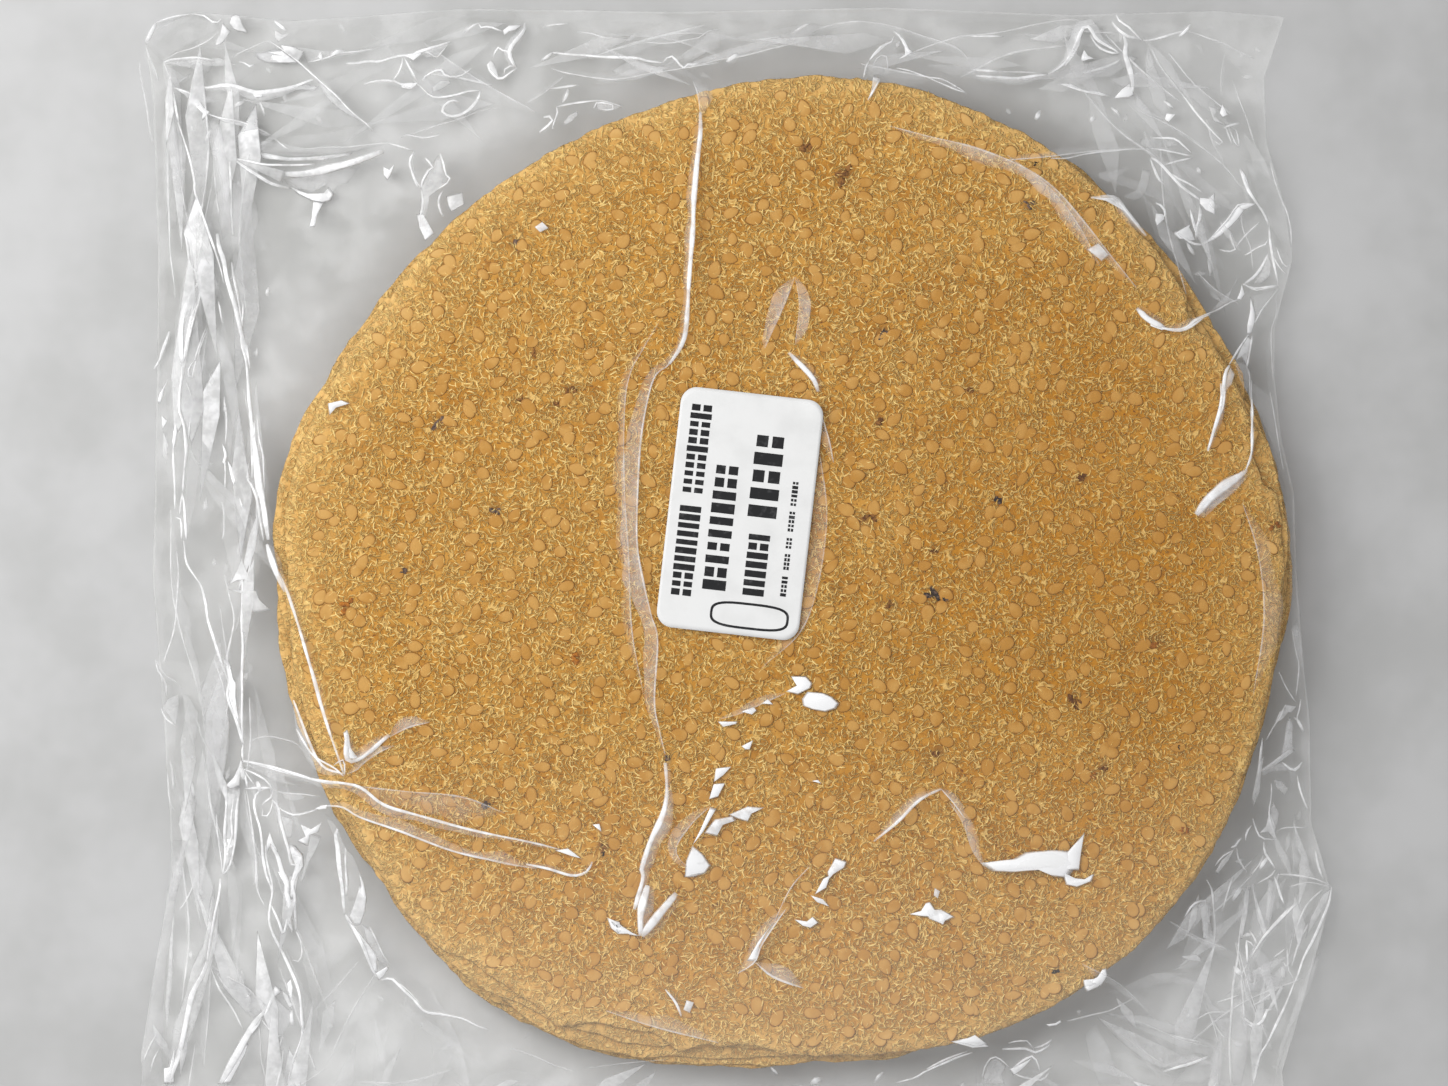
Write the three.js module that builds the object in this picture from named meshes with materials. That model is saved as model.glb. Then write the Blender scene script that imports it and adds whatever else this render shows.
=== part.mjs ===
// A round stack of thin sesame papadums sealed in a flat clear plastic bag, with a paper label on top.
// Millimetres. +Z is up and +Y runs towards the top end of the label. The origin is on the underside,
// below the middle of the stack. The bag is one solid out to its film: the flat-topped stack, the film
// that slopes down from it, and the thin crinkled margins round it.

import * as THREE from 'three';

// Driving dimensions of the stack
const STACK_HEIGHT = 12;
const STACK_RADIUS = 94.1;
const RIM_WAVES = [
  { turns: 1, size: 2.6, towards: -77 },
  { turns: 2, size: 0.7, towards: 18 },
  { turns: 3, size: 1.4, towards: -38 },
  { turns: 4, size: 0.8, towards: -31 },
  { turns: 5, size: 0.8, towards: 17 },
  { turns: 6, size: 0.6, towards: 1 },
  { turns: 9, size: 0.3, towards: 8 },
];
const FOOT_INSET = 3;

// Driving dimensions of the film round the stack
const SHOULDER_DROP = 1.1;
const SHOULDER_WIDTH = 3.2;
const TENT_RUN = 17;
const TENT_POWER = 1.9;
const LEAST_MARGIN = 1.4;
const WIDE_MARGIN = 14;
const EDGE_LIFT = 1.5;
const EDGE_THICKNESS = 0.9;
const LEAST_THICKNESS = 0.8;
const UNDERSIDE_SHARE = 0.4;
const UNDERSIDE_RISE = 1.8;

// The bag's edge, anticlockwise from the middle of the right side
const BAG_EDGE = [
  [96.4, 0], [96.0, 14], [93.6, 24], [92.4, 36], [92.6, 45], [95.9, 58], [94.4, 68],
  [91.0, 80], [90.6, 92], [94.3, 103.4], [82, 104.6], [55, 103.8], [20, 105.2], [-20, 104.4],
  [-60, 105.0], [-92, 102.6], [-111, 104.4], [-119.7, 100], [-118.2, 86], [-117.4, 60],
  [-117.6, 36], [-118.4, -2], [-116, -33], [-114.6, -58], [-117.4, -72], [-120.6, -92],
  [-119.4, -114], [-104, -119.2], [-70, -117.6], [-30, -119.4], [15, -118.2], [55, -119.6],
  [84, -118.4], [96.6, -116], [94.0, -95], [97.8, -82], [101.7, -68], [103.0, -60.4],
  [99.4, -48], [99.1, -30], [97.4, -14],
];

// Crinkles of the loose film: straight folds that cross, each a zigzag wave over the plane
const CRINKLES = [
  { turn: 14, length: 23, depth: 0.5, shift: 0.1, bend: 0.3, bendLength: 58 },
  { turn: 71, length: 17, depth: 0.45, shift: 0.4, bend: 0.35, bendLength: 47 },
  { turn: 118, length: 13, depth: 0.4, shift: 0.7, bend: 0.3, bendLength: 39 },
  { turn: 157, length: 19, depth: 0.45, shift: 0.2, bend: 0.4, bendLength: 63 },
];
const CRINKLE_START = 9;

// Gentle swells of the top papadum
const SWELLS = [
  { turn: 25, length: 88, depth: 0.16, shift: 0.15 },
  { turn: 100, length: 64, depth: 0.14, shift: 0.6 },
  { turn: 148, length: 51, depth: 0.1, shift: 0.35 },
];

// The film's main creases: each a ridge that runs through its points and dies out at both ends
const CREASES = [
  { height: 1.6, reach: 4.2, route: [[-16, 89], [-16, 63], [-19, 42], [-26, 30], [-27, 12], [-25, -10], [-22, -36]] },
  { height: 1.2, reach: 3.6, route: [[-21, -42], [-20, -57], [-28, -69]] },
  { height: 1.2, reach: 3.4, route: [[-4, 54], [-4, 41], [4, 40], [8, 28], [10, 19]] },
  { height: 1.5, reach: 4.0, route: [[-114, 92], [-110, 71], [-104, 54], [-100, 30], [-97, 8], [-92, -12]] },
  { height: 1.5, reach: 4.0, route: [[-92, -12], [-87, -24], [-82, -36], [-80, -42]] },
  { height: 1.2, reach: 3.4, route: [[-110, 54], [-113, 34], [-112, 12], [-107, -10], [-102, -24], [-101, -38]] },
  { height: 1.3, reach: 3.6, route: [[-101, -37], [-82, -40], [-64, -48], [-41, -53]] },
  { height: 1.1, reach: 3.4, route: [[-102, -40], [-105, -58], [-109, -74], [-115, -96]] },
  { height: 1.2, reach: 3.6, route: [[-96, -44], [-94, -64], [-90, -78], [-92, -98]] },
  { height: 1.2, reach: 3.6, route: [[-83, -50], [-79, -70], [-68, -83], [-55, -88]] },
  { height: 1.2, reach: 3.6, route: [[-95, 102], [-84, 92], [-77, 82]] },
  { height: 1.0, reach: 3.4, route: [[-103, 77], [-88, 74], [-74, 79], [-62, 73]] },
  { height: 1.2, reach: 3.6, route: [[20, 83], [46, 74], [60, 64], [66, 58]] },
  { height: 1.0, reach: 3.4, route: [[69, 77], [81, 69], [85, 62], [92, 57]] },
  { height: 1.1, reach: 3.6, route: [[28, -42], [20, -50], [16, -52]] },
  { height: 1.3, reach: 4.4, route: [[29, -42], [36, -50], [40, -56], [56, -54]] },
  { height: 1.1, reach: 3.4, route: [[3, -64], [-3, -71], [-6, -76], [4, -79]] },
  { height: 1.3, reach: 3.6, route: [[103, -60], [91, -69], [86, -86], [84, -104]] },
];
const CREASE_STEPS = 24;
const CREASE_FADE = 0.18;

// Driving dimensions of the label
const LABEL_WIDTH = 26.8;
const LABEL_LENGTH = 45.2;
const LABEL_CORNER = 3;
const LABEL_THICKNESS = 0.3;
const LABEL_CENTRE = [-8, 10];
const LABEL_TURN = -6.5;
const LABEL_GAP = 0.3;
const LABEL_CLEARANCE = 5.5;
const LABEL_EASE = 7;
const LABEL_CORNER_STEPS = 6;

// How finely the surfaces are divided
const EDGE_STEP = 5.6;
const STACK_RINGS = [0.14, 0.28, 0.4, 0.5, 0.59, 0.67, 0.75, 0.82, 0.88, 0.93, 0.965, 0.985, 1];
const MARGIN_RINGS = 11;
const UNDERSIDE_RINGS = 5;
const FOOT_TRIANGLE_RADIUS = 80;
const FOOT_TRIANGLE_CORNERS = 3;

const FULL_TURN = 2 * Math.PI;

// 0 below the first limit, 1 above the second and smooth between them
function ease(low, high, value) {
  return THREE.MathUtils.smoothstep(value, low, high);
}

// Zigzag between -1 and 1 with one period for each whole phase
function zigzag(phase) {
  return 4 * Math.abs(phase - Math.floor(phase + 0.5)) - 1;
}

// Radius of the stack's edge in the direction of an angle
function rimRadius(angle) {
  let radius = STACK_RADIUS;
  for (const wave of RIM_WAVES) {
    radius += wave.size * Math.cos(wave.turns * (angle - THREE.MathUtils.degToRad(wave.towards)));
  }
  return radius;
}

// Distance from a point to the label's rectangle, 0 inside it
function distanceToLabel(x, y) {
  const turn = THREE.MathUtils.degToRad(LABEL_TURN);
  const dx = x - LABEL_CENTRE[0];
  const dy = y - LABEL_CENTRE[1];
  const across = Math.abs(dx * Math.cos(turn) + dy * Math.sin(turn)) - LABEL_WIDTH / 2;
  const along = Math.abs(-dx * Math.sin(turn) + dy * Math.cos(turn)) - LABEL_LENGTH / 2;
  return Math.hypot(Math.max(across, 0), Math.max(along, 0));
}

// 0 on and just round the label, where the film lies flat, and 1 away from it
function awayFromLabel(x, y) {
  return ease(LABEL_CLEARANCE, LABEL_CLEARANCE + LABEL_EASE, distanceToLabel(x, y));
}

// Smooth line through a crease's points, as evenly spaced points with their share of its length
function creaseLine({ height, reach, route }) {
  const points = route.map(([x, y]) => new THREE.Vector3(x, y, 0));
  const curve = new THREE.CatmullRomCurve3(points, false, 'centripetal');
  return { height, reach, points: curve.getSpacedPoints(CREASE_STEPS) };
}

const creaseLines = CREASES.map(creaseLine);

// Height of one crease above the film at a point: a ridge with straight sides
function ridgeHeight({ height, reach, points }, x, y) {
  let best = Infinity;
  let share = 0;
  points.slice(1).forEach((end, index) => {
    const start = points[index];
    const runX = end.x - start.x;
    const runY = end.y - start.y;
    const along = ((x - start.x) * runX + (y - start.y) * runY) / (runX * runX + runY * runY);
    const part = THREE.MathUtils.clamp(along, 0, 1);
    const distance = Math.hypot(x - start.x - part * runX, y - start.y - part * runY);
    if (distance < best) {
      best = distance;
      share = (index + part) / CREASE_STEPS;
    }
  });
  const fade = ease(0, CREASE_FADE, share) * ease(0, CREASE_FADE, 1 - share);
  return height * fade * Math.max(0, 1 - best / reach);
}

function creaseRelief(x, y) {
  return Math.max(...creaseLines.map((line) => ridgeHeight(line, x, y)));
}

function crinkleRelief(x, y) {
  let relief = 0;
  for (const { turn, length, depth, shift, bend, bendLength } of CRINKLES) {
    const angle = THREE.MathUtils.degToRad(turn);
    const across = x * Math.cos(angle) + y * Math.sin(angle);
    const along = y * Math.cos(angle) - x * Math.sin(angle);
    relief += depth * zigzag(across / length + shift + bend * Math.sin(FULL_TURN * along / bendLength));
  }
  return relief;
}

function swellRelief(x, y) {
  let relief = 0;
  for (const { turn, length, depth, shift } of SWELLS) {
    const angle = THREE.MathUtils.degToRad(turn);
    relief += depth * Math.sin(FULL_TURN * ((x * Math.cos(angle) + y * Math.sin(angle)) / length + shift));
  }
  return relief;
}

// Height of the bag's edge at its mid-thickness: half the stack's where the bag is tight, low where loose
function edgeLevel(margin) {
  return THREE.MathUtils.lerp(STACK_HEIGHT / 2, EDGE_LIFT, ease(0, WIDE_MARGIN, margin));
}

// Top of the film at a point that lies a distance out from the rim, on a spoke with a margin that wide
function topHeight(x, y, outside, margin) {
  const loose = awayFromLabel(x, y);
  if (outside <= 0) {
    const droop = SHOULDER_DROP * Math.exp(outside / SHOULDER_WIDTH);
    return STACK_HEIGHT - droop + loose * (swellRelief(x, y) + creaseRelief(x, y));
  }
  const shoulder = STACK_HEIGHT - SHOULDER_DROP;
  const edge = edgeLevel(margin) + EDGE_THICKNESS / 2;
  const slope = Math.max(0, 1 - outside / Math.min(margin, TENT_RUN)) ** TENT_POWER;
  const crinkled = ease(0, CRINKLE_START, outside) * crinkleRelief(x, y);
  return edge + (shoulder - edge) * slope + crinkled + creaseRelief(x, y);
}

// Underside of the film at the same point: flat near the stack, and rising with the crinkles to the edge
function undersideHeight(x, y, share, margin, top) {
  const edge = edgeLevel(margin) - EDGE_THICKNESS / 2;
  const crinkled = UNDERSIDE_SHARE * crinkleRelief(x, y) * ease(0, WIDE_MARGIN, margin);
  const height = (edge + crinkled) * share ** UNDERSIDE_RISE;
  return THREE.MathUtils.clamp(height, 0, top - LEAST_THICKNESS);
}

// Points along the bag's edge, no further apart than the step, each with its spoke's rim and margin
function edgeSpokes() {
  const spokes = [];
  BAG_EDGE.forEach(([startX, startY], index) => {
    const [endX, endY] = BAG_EDGE[(index + 1) % BAG_EDGE.length];
    const count = Math.max(1, Math.round(Math.hypot(endX - startX, endY - startY) / EDGE_STEP));
    for (let step = 0; step < count; step += 1) {
      const x = THREE.MathUtils.lerp(startX, endX, step / count);
      const y = THREE.MathUtils.lerp(startY, endY, step / count);
      const angle = Math.atan2(y, x);
      const rim = rimRadius(angle);
      const margin = Math.max(Math.hypot(x, y) - rim, LEAST_MARGIN);
      spokes.push({ cos: Math.cos(angle), sin: Math.sin(angle), rim, margin });
    }
  });
  return spokes;
}

// Collects vertices and faces of a closed surface
class Surface {
  constructor() {
    this.positions = [];
    this.faces = [];
  }

  addVertex(x, y, z) {
    this.positions.push(x, y, z);
    return this.positions.length / 3 - 1;
  }

  addFace(a, b, c) {
    this.faces.push(a, b, c);
  }

  // Joins two closed rings of as many vertices with a band of cells, each of two triangles
  addBand(inner, outer) {
    inner.forEach((start, index) => {
      const next = (index + 1) % inner.length;
      this.addFace(start, outer[index], outer[next]);
      this.addFace(start, outer[next], inner[next]);
    });
  }

  geometry() {
    const geometry = new THREE.BufferGeometry();
    geometry.setAttribute('position', new THREE.Float32BufferAttribute(this.positions, 3));
    geometry.setIndex(this.faces);
    geometry.computeVertexNormals();
    return geometry;
  }
}

// One ring of film vertices, a share of the way from the middle to the rim
function stackRing(surface, spokes, share) {
  return spokes.map(({ cos, sin, rim, margin }) => {
    const x = cos * rim * share;
    const y = sin * rim * share;
    return surface.addVertex(x, y, topHeight(x, y, rim * (share - 1), margin));
  });
}

// One ring of film vertices, a share of the way from the rim to the bag's edge
function marginRing(surface, spokes, share) {
  return spokes.map(({ cos, sin, rim, margin }) => {
    const outside = margin * share;
    const x = cos * (rim + outside);
    const y = sin * (rim + outside);
    return surface.addVertex(x, y, topHeight(x, y, outside, margin));
  });
}

// One ring of underside vertices, a share of the way from the stack's foot to the bag's edge
function undersideRing(surface, spokes, share) {
  return spokes.map(({ cos, sin, rim, margin }) => {
    const radius = THREE.MathUtils.lerp(rim - FOOT_INSET, rim + margin, share);
    const outside = radius - rim;
    const x = cos * radius;
    const y = sin * radius;
    const top = topHeight(x, y, outside, margin);
    return surface.addVertex(x, y, undersideHeight(x, y, share, margin, top));
  });
}

// Flat foot: one large triangle in the middle, joined to the ring round it by fans from its corners
function closeFoot(surface, ring, spokes) {
  const corners = [];
  for (let corner = 0; corner < FOOT_TRIANGLE_CORNERS; corner += 1) {
    const angle = FULL_TURN * corner / FOOT_TRIANGLE_CORNERS;
    const x = FOOT_TRIANGLE_RADIUS * Math.cos(angle);
    const y = FOOT_TRIANGLE_RADIUS * Math.sin(angle);
    corners.push(surface.addVertex(x, y, 0));
  }
  const nearest = spokes.map(({ cos, sin }) => {
    const turns = Math.atan2(sin, cos) / FULL_TURN * FOOT_TRIANGLE_CORNERS;
    return (Math.round(turns) + FOOT_TRIANGLE_CORNERS) % FOOT_TRIANGLE_CORNERS;
  });
  ring.forEach((start, index) => {
    const next = (index + 1) % ring.length;
    surface.addFace(ring[next], start, corners[nearest[index]]);
    if (nearest[next] !== nearest[index]) {
      surface.addFace(corners[nearest[next]], ring[next], corners[nearest[index]]);
    }
  });
  surface.addFace(corners[2], corners[1], corners[0]);
}

function bagGeometry() {
  const spokes = edgeSpokes();
  const surface = new Surface();
  const middle = surface.addVertex(0, 0, topHeight(0, 0, -STACK_RADIUS, WIDE_MARGIN));
  let ring = stackRing(surface, spokes, STACK_RINGS[0]);
  ring.forEach((start, index) => surface.addFace(middle, start, ring[(index + 1) % ring.length]));
  for (const share of STACK_RINGS.slice(1)) {
    const outer = stackRing(surface, spokes, share);
    surface.addBand(ring, outer);
    ring = outer;
  }
  for (let step = 1; step <= MARGIN_RINGS; step += 1) {
    const outer = marginRing(surface, spokes, step / MARGIN_RINGS);
    surface.addBand(ring, outer);
    ring = outer;
  }
  for (let step = UNDERSIDE_RINGS; step >= 0; step -= 1) {
    const inner = undersideRing(surface, spokes, step / UNDERSIDE_RINGS);
    surface.addBand(ring, inner);
    ring = inner;
  }
  closeFoot(surface, ring, spokes);
  return surface.geometry();
}

// Flat plate with rounded corners
function labelGeometry() {
  const halfWidth = LABEL_WIDTH / 2;
  const halfLength = LABEL_LENGTH / 2;
  const outline = new THREE.Shape();
  outline.moveTo(-halfWidth + LABEL_CORNER, -halfLength);
  outline.lineTo(halfWidth - LABEL_CORNER, -halfLength);
  outline.absarc(halfWidth - LABEL_CORNER, -halfLength + LABEL_CORNER, LABEL_CORNER, -FULL_TURN / 4, 0);
  outline.lineTo(halfWidth, halfLength - LABEL_CORNER);
  outline.absarc(halfWidth - LABEL_CORNER, halfLength - LABEL_CORNER, LABEL_CORNER, 0, FULL_TURN / 4);
  outline.lineTo(-halfWidth + LABEL_CORNER, halfLength);
  outline.absarc(-halfWidth + LABEL_CORNER, halfLength - LABEL_CORNER, LABEL_CORNER, FULL_TURN / 4, FULL_TURN / 2);
  outline.lineTo(-halfWidth, -halfLength + LABEL_CORNER);
  outline.absarc(-halfWidth + LABEL_CORNER, -halfLength + LABEL_CORNER, LABEL_CORNER, FULL_TURN / 2, FULL_TURN * 0.75);
  return new THREE.ExtrudeGeometry(outline, {
    depth: LABEL_THICKNESS,
    bevelEnabled: false,
    curveSegments: LABEL_CORNER_STEPS,
  });
}

const group = new THREE.Group();

const bagFinish = new THREE.MeshStandardMaterial({ color: 0xb98b48, roughness: 0.3, metalness: 0 });
const bag = new THREE.Mesh(bagGeometry(), bagFinish);
bag.name = 'bag';
group.add(bag);

const labelFinish = new THREE.MeshStandardMaterial({ color: 0xf2f2ef, roughness: 0.6, metalness: 0 });
const label = new THREE.Mesh(labelGeometry(), labelFinish);
label.name = 'label';
label.position.set(LABEL_CENTRE[0], LABEL_CENTRE[1], STACK_HEIGHT + LABEL_GAP);
label.rotation.z = THREE.MathUtils.degToRad(LABEL_TURN);
group.add(label);

export default group;
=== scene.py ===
"""Dresses a bagged stack of sesame papadums: the sheets of dough, the seeds, the clear film, the label.

Shapes are worked out in millimetres from the middle of the stack's underside, +Y towards the label's top
end and +Z up, and go into the meshes in metres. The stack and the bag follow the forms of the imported
solids: the same rim, edge, slopes and main creases, from the same named values.
"""

import logging
import math
from dataclasses import dataclass, field
from enum import Enum

import bpy
import numpy as np
from mathutils.geometry import tessellate_polygon
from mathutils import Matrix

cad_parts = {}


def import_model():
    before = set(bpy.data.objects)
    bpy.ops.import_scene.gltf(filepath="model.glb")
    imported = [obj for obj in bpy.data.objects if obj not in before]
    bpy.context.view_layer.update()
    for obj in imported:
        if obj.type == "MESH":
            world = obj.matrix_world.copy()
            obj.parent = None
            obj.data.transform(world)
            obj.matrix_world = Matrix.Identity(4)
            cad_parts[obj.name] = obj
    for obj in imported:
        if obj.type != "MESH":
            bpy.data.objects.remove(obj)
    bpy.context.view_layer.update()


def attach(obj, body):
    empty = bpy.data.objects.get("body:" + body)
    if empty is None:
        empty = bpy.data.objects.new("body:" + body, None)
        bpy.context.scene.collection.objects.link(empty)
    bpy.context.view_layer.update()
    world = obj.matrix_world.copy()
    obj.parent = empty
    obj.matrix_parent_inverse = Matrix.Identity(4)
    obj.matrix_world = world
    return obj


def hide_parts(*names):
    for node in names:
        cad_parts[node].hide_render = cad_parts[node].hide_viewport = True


LOG = logging.getLogger("papadums")
MM = 0.001
FULL_TURN = 2 * math.pi
BODY = "root"
TINY = 1e-9
Place = tuple[float, float]
Range = tuple[float, float]
Route = tuple[Place, ...]
Colour = tuple[float, float, float]
Places = tuple[np.ndarray, np.ndarray]


# Plain mathematics on arrays


def ease(low: float, high: float, value: np.ndarray) -> np.ndarray:
    """Rise smoothly from 0 below the first limit to 1 above the second.

    Args:
        low: value at which the rise starts.
        high: value at which it ends.
        value: values to ease.

    Returns:
        Shares between 0 and 1, by the cubic 3t^2 - 2t^3.
    """
    share = np.clip((value - low) / (high - low), 0.0, 1.0)
    return share * share * (3 - 2 * share)


def zigzag(phase: np.ndarray) -> np.ndarray:
    """Straight-sided wave between -1 and 1 with one period for each whole phase."""
    return 4 * np.abs(phase - np.floor(phase + 0.5)) - 1


def lattice_noise(x: np.ndarray, y: np.ndarray, cell: float, seed: int) -> np.ndarray:
    """Smooth noise: random heights at the corners of square cells, blended across each cell by eased shares.

    Args:
        x: places across.
        y: places up.
        cell: side of a cell, in the places' own unit.
        seed: seed of the random heights.

    Returns:
        Heights between -1 and 1.
    """
    table_size = 256
    table = np.random.default_rng(seed).uniform(-1, 1, (table_size, table_size))
    column = np.floor(x / cell).astype(int)
    row = np.floor(y / cell).astype(int)
    across = ease(0, 1, x / cell - column)
    up = ease(0, 1, y / cell - row)

    def corner(right: int, above: int) -> np.ndarray:
        """Heights at one corner of each place's cell."""
        return table[(column + right) % table_size, (row + above) % table_size]

    low = corner(0, 0) * (1 - across) + corner(1, 0) * across
    high = corner(0, 1) * (1 - across) + corner(1, 1) * across
    return low * (1 - up) + high * up


def smooth_path(route: Route, step: float) -> np.ndarray:
    """Evenly spaced points along the Catmull-Rom curve through a route's points.

    Args:
        route: points to pass through, in millimetres.
        step: distance between the points that come back.

    Returns:
        An array of places, two numbers each.
    """
    spans = 12
    points = np.array(route, float)
    padded = np.vstack([2 * points[0] - points[1], points, 2 * points[-1] - points[-2]])
    share = np.linspace(0, 1, spans, endpoint=False)[None, :, None]
    before, start, end, after = (padded[k:len(padded) - 3 + k, None, :] for k in range(4))
    curve = 0.5 * (
        2 * start
        + (end - before) * share
        + (2 * before - 5 * start + 4 * end - after) * share**2
        + (3 * start - before - 3 * end + after) * share**3
    )
    line = np.vstack([curve.reshape(-1, 2), points[-1]])
    travelled = np.concatenate([[0], np.cumsum(np.hypot(*np.diff(line, axis=0).T))])
    count = max(3, int(round(travelled[-1] / step)) + 1)
    marks = np.linspace(0, travelled[-1], count)
    return np.stack([np.interp(marks, travelled, line[:, k]) for k in range(2)], axis=1)


def nearest_on_path(x: np.ndarray, y: np.ndarray, path: np.ndarray) -> Places:
    """Distance from each place to a path, and how far along the path its nearest point lies.

    Args:
        x: places across.
        y: places up.
        path: the path's points.

    Returns:
        The distances, and the shares of the path's length.
    """
    best = np.full(x.shape, np.inf)
    share = np.zeros(x.shape)
    for index, (start, end) in enumerate(zip(path[:-1], path[1:])):
        run = end - start
        along = ((x - start[0]) * run[0] + (y - start[1]) * run[1]) / max(run @ run, TINY)
        part = np.clip(along, 0, 1)
        distance = np.hypot(x - start[0] - part * run[0], y - start[1] - part * run[1])
        closer = distance < best
        best[closer] = distance[closer]
        share[closer] = (index + part[closer]) / (len(path) - 1)
    return best, share


@dataclass(frozen=True)
class Grain:
    """Uneven relief or edge: noise of one size.

    Attributes:
        depth: its height to either side.
        cell: size of its lumps.
        seed: seed of its random heights.
    """

    depth: float
    cell: float
    seed: int

    def at(self, x: np.ndarray, y: np.ndarray, number: int = 0) -> np.ndarray:
        """Its height at places, for the sheet or thing with that number."""
        return self.depth * lattice_noise(x, y, self.cell, self.seed + number)


@dataclass(frozen=True)
class Wave:
    """One wave over the plane.

    Attributes:
        turn: direction in which it travels, in degrees from +X.
        length: its period.
        depth: its height to either side.
        shift: its phase, in periods.
        bend: how far its lines swing to and fro, in periods.
        bend_length: period of that swing along the lines.
    """

    turn: float
    length: float
    depth: float
    shift: float
    bend: float = 0.0
    bend_length: float = 1.0

    def phase(self, x: np.ndarray, y: np.ndarray) -> np.ndarray:
        """Distance along the wave in periods, plus its shift and its swing.

        Args:
            x: places across.
            y: places up.

        Returns:
            The phase at each place, in periods.
        """
        angle = math.radians(self.turn)
        across = x * math.cos(angle) + y * math.sin(angle)
        along = y * math.cos(angle) - x * math.sin(angle)
        return across / self.length + self.shift + self.bend * np.sin(FULL_TURN * along / self.bend_length)

    def fold(self, x: np.ndarray, y: np.ndarray) -> np.ndarray:
        """Height of the wave as straight-sided folds."""
        return self.depth * zigzag(self.phase(x, y))

    def swell(self, x: np.ndarray, y: np.ndarray) -> np.ndarray:
        """Height of the wave as a smooth swell."""
        return self.depth * np.sin(FULL_TURN * self.phase(x, y))


@dataclass(frozen=True)
class Crease:
    """A ridge in the film.

    Attributes:
        height: height of its crest above the film.
        reach: distance from the crest to the foot of each straight side.
        route: the points that the crest runs through.
    """

    height: float
    reach: float
    route: Route


# The forms that the stack and the bag share with their solids


@dataclass
class StackForm:
    """Outline and top of the whole stack, as the film over it shows them.

    Attributes:
        height: height of the stack under the film.
        radius: mean radius of its rim.
        rim_waves: waves of the rim, each its turns round the stack, its height and its crest in degrees.
        shoulder_drop: how far the film has sunk at the rim.
        shoulder_width: how fast that dies out towards the middle.
        swells: gentle waves of the top.
    """

    height: float = 12.0
    radius: float = 94.1
    rim_waves: tuple[tuple[int, float, float], ...] = (
        (1, 2.6, -77), (2, 0.7, 18), (3, 1.4, -38), (4, 0.8, -31), (5, 0.8, 17), (6, 0.6, 1), (9, 0.3, 8),
    )
    shoulder_drop: float = 1.1
    shoulder_width: float = 3.2
    swells: tuple[Wave, ...] = (
        Wave(25, 88, 0.16, 0.15), Wave(100, 64, 0.14, 0.6), Wave(148, 51, 0.1, 0.35),
    )

    def rim(self, angle: np.ndarray) -> np.ndarray:
        """Radius of the stack's edge: a circle plus a few waves round it, each with its own crest angle.

        Args:
            angle: directions from the middle.

        Returns:
            The radii.
        """
        return self.radius + sum(
            size * np.cos(turns * (angle - math.radians(crest))) for turns, size, crest in self.rim_waves
        )

    def swell(self, x: np.ndarray, y: np.ndarray) -> np.ndarray:
        """Gentle swells of the top sheet."""
        return sum(wave.swell(x, y) for wave in self.swells)

    def droop(self, outside: np.ndarray) -> np.ndarray:
        """How far the top has sunk near the rim: an exponential that ends at the rim."""
        return self.shoulder_drop * np.exp(np.minimum(outside, 0) / self.shoulder_width)


@dataclass
class LabelForm:
    """Place and size of the paper label.

    Attributes:
        width: its width.
        length: its length.
        corner: radius of its corners.
        thickness: thickness of its solid.
        gap: gap between that solid and the film.
        centre: place of its middle.
        turn: its turn in degrees, anticlockwise.
        clearance: how far round it the film lies flat.
        easing: width of the band in which the film becomes uneven again.
    """

    width: float = 26.8
    length: float = 45.2
    corner: float = 3.0
    thickness: float = 0.3
    gap: float = 0.3
    centre: Place = (-8.0, 10.0)
    turn: float = -6.5
    clearance: float = 5.5
    easing: float = 7.0

    def own_place(self, x: np.ndarray, y: np.ndarray) -> Places:
        """Turn places in the plane into the label's own.

        Args:
            x: places across.
            y: places up.

        Returns:
            The places across and up the label, from its middle.
        """
        turn = math.radians(self.turn)
        dx, dy = x - self.centre[0], y - self.centre[1]
        return dx * math.cos(turn) + dy * math.sin(turn), dy * math.cos(turn) - dx * math.sin(turn)

    def plane_place(self, across: np.ndarray, up: np.ndarray) -> Places:
        """Turn the label's own places into places in the plane.

        Args:
            across: places across the label.
            up: places up it.

        Returns:
            The places across and up.
        """
        turn = math.radians(self.turn)
        x = self.centre[0] + across * math.cos(turn) - up * math.sin(turn)
        y = self.centre[1] + across * math.sin(turn) + up * math.cos(turn)
        return x, y

    def away(self, x: np.ndarray, y: np.ndarray) -> np.ndarray:
        """How uneven the film may be near the label.

        Args:
            x: places across.
            y: places up.

        Returns:
            0 on and just round the label, where the film lies flat, and 1 away from it.
        """
        across, up = self.own_place(x, y)
        beside = np.maximum(np.abs(across) - self.width / 2, 0)
        beyond = np.maximum(np.abs(up) - self.length / 2, 0)
        return ease(self.clearance, self.clearance + self.easing, np.hypot(beside, beyond))


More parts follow.
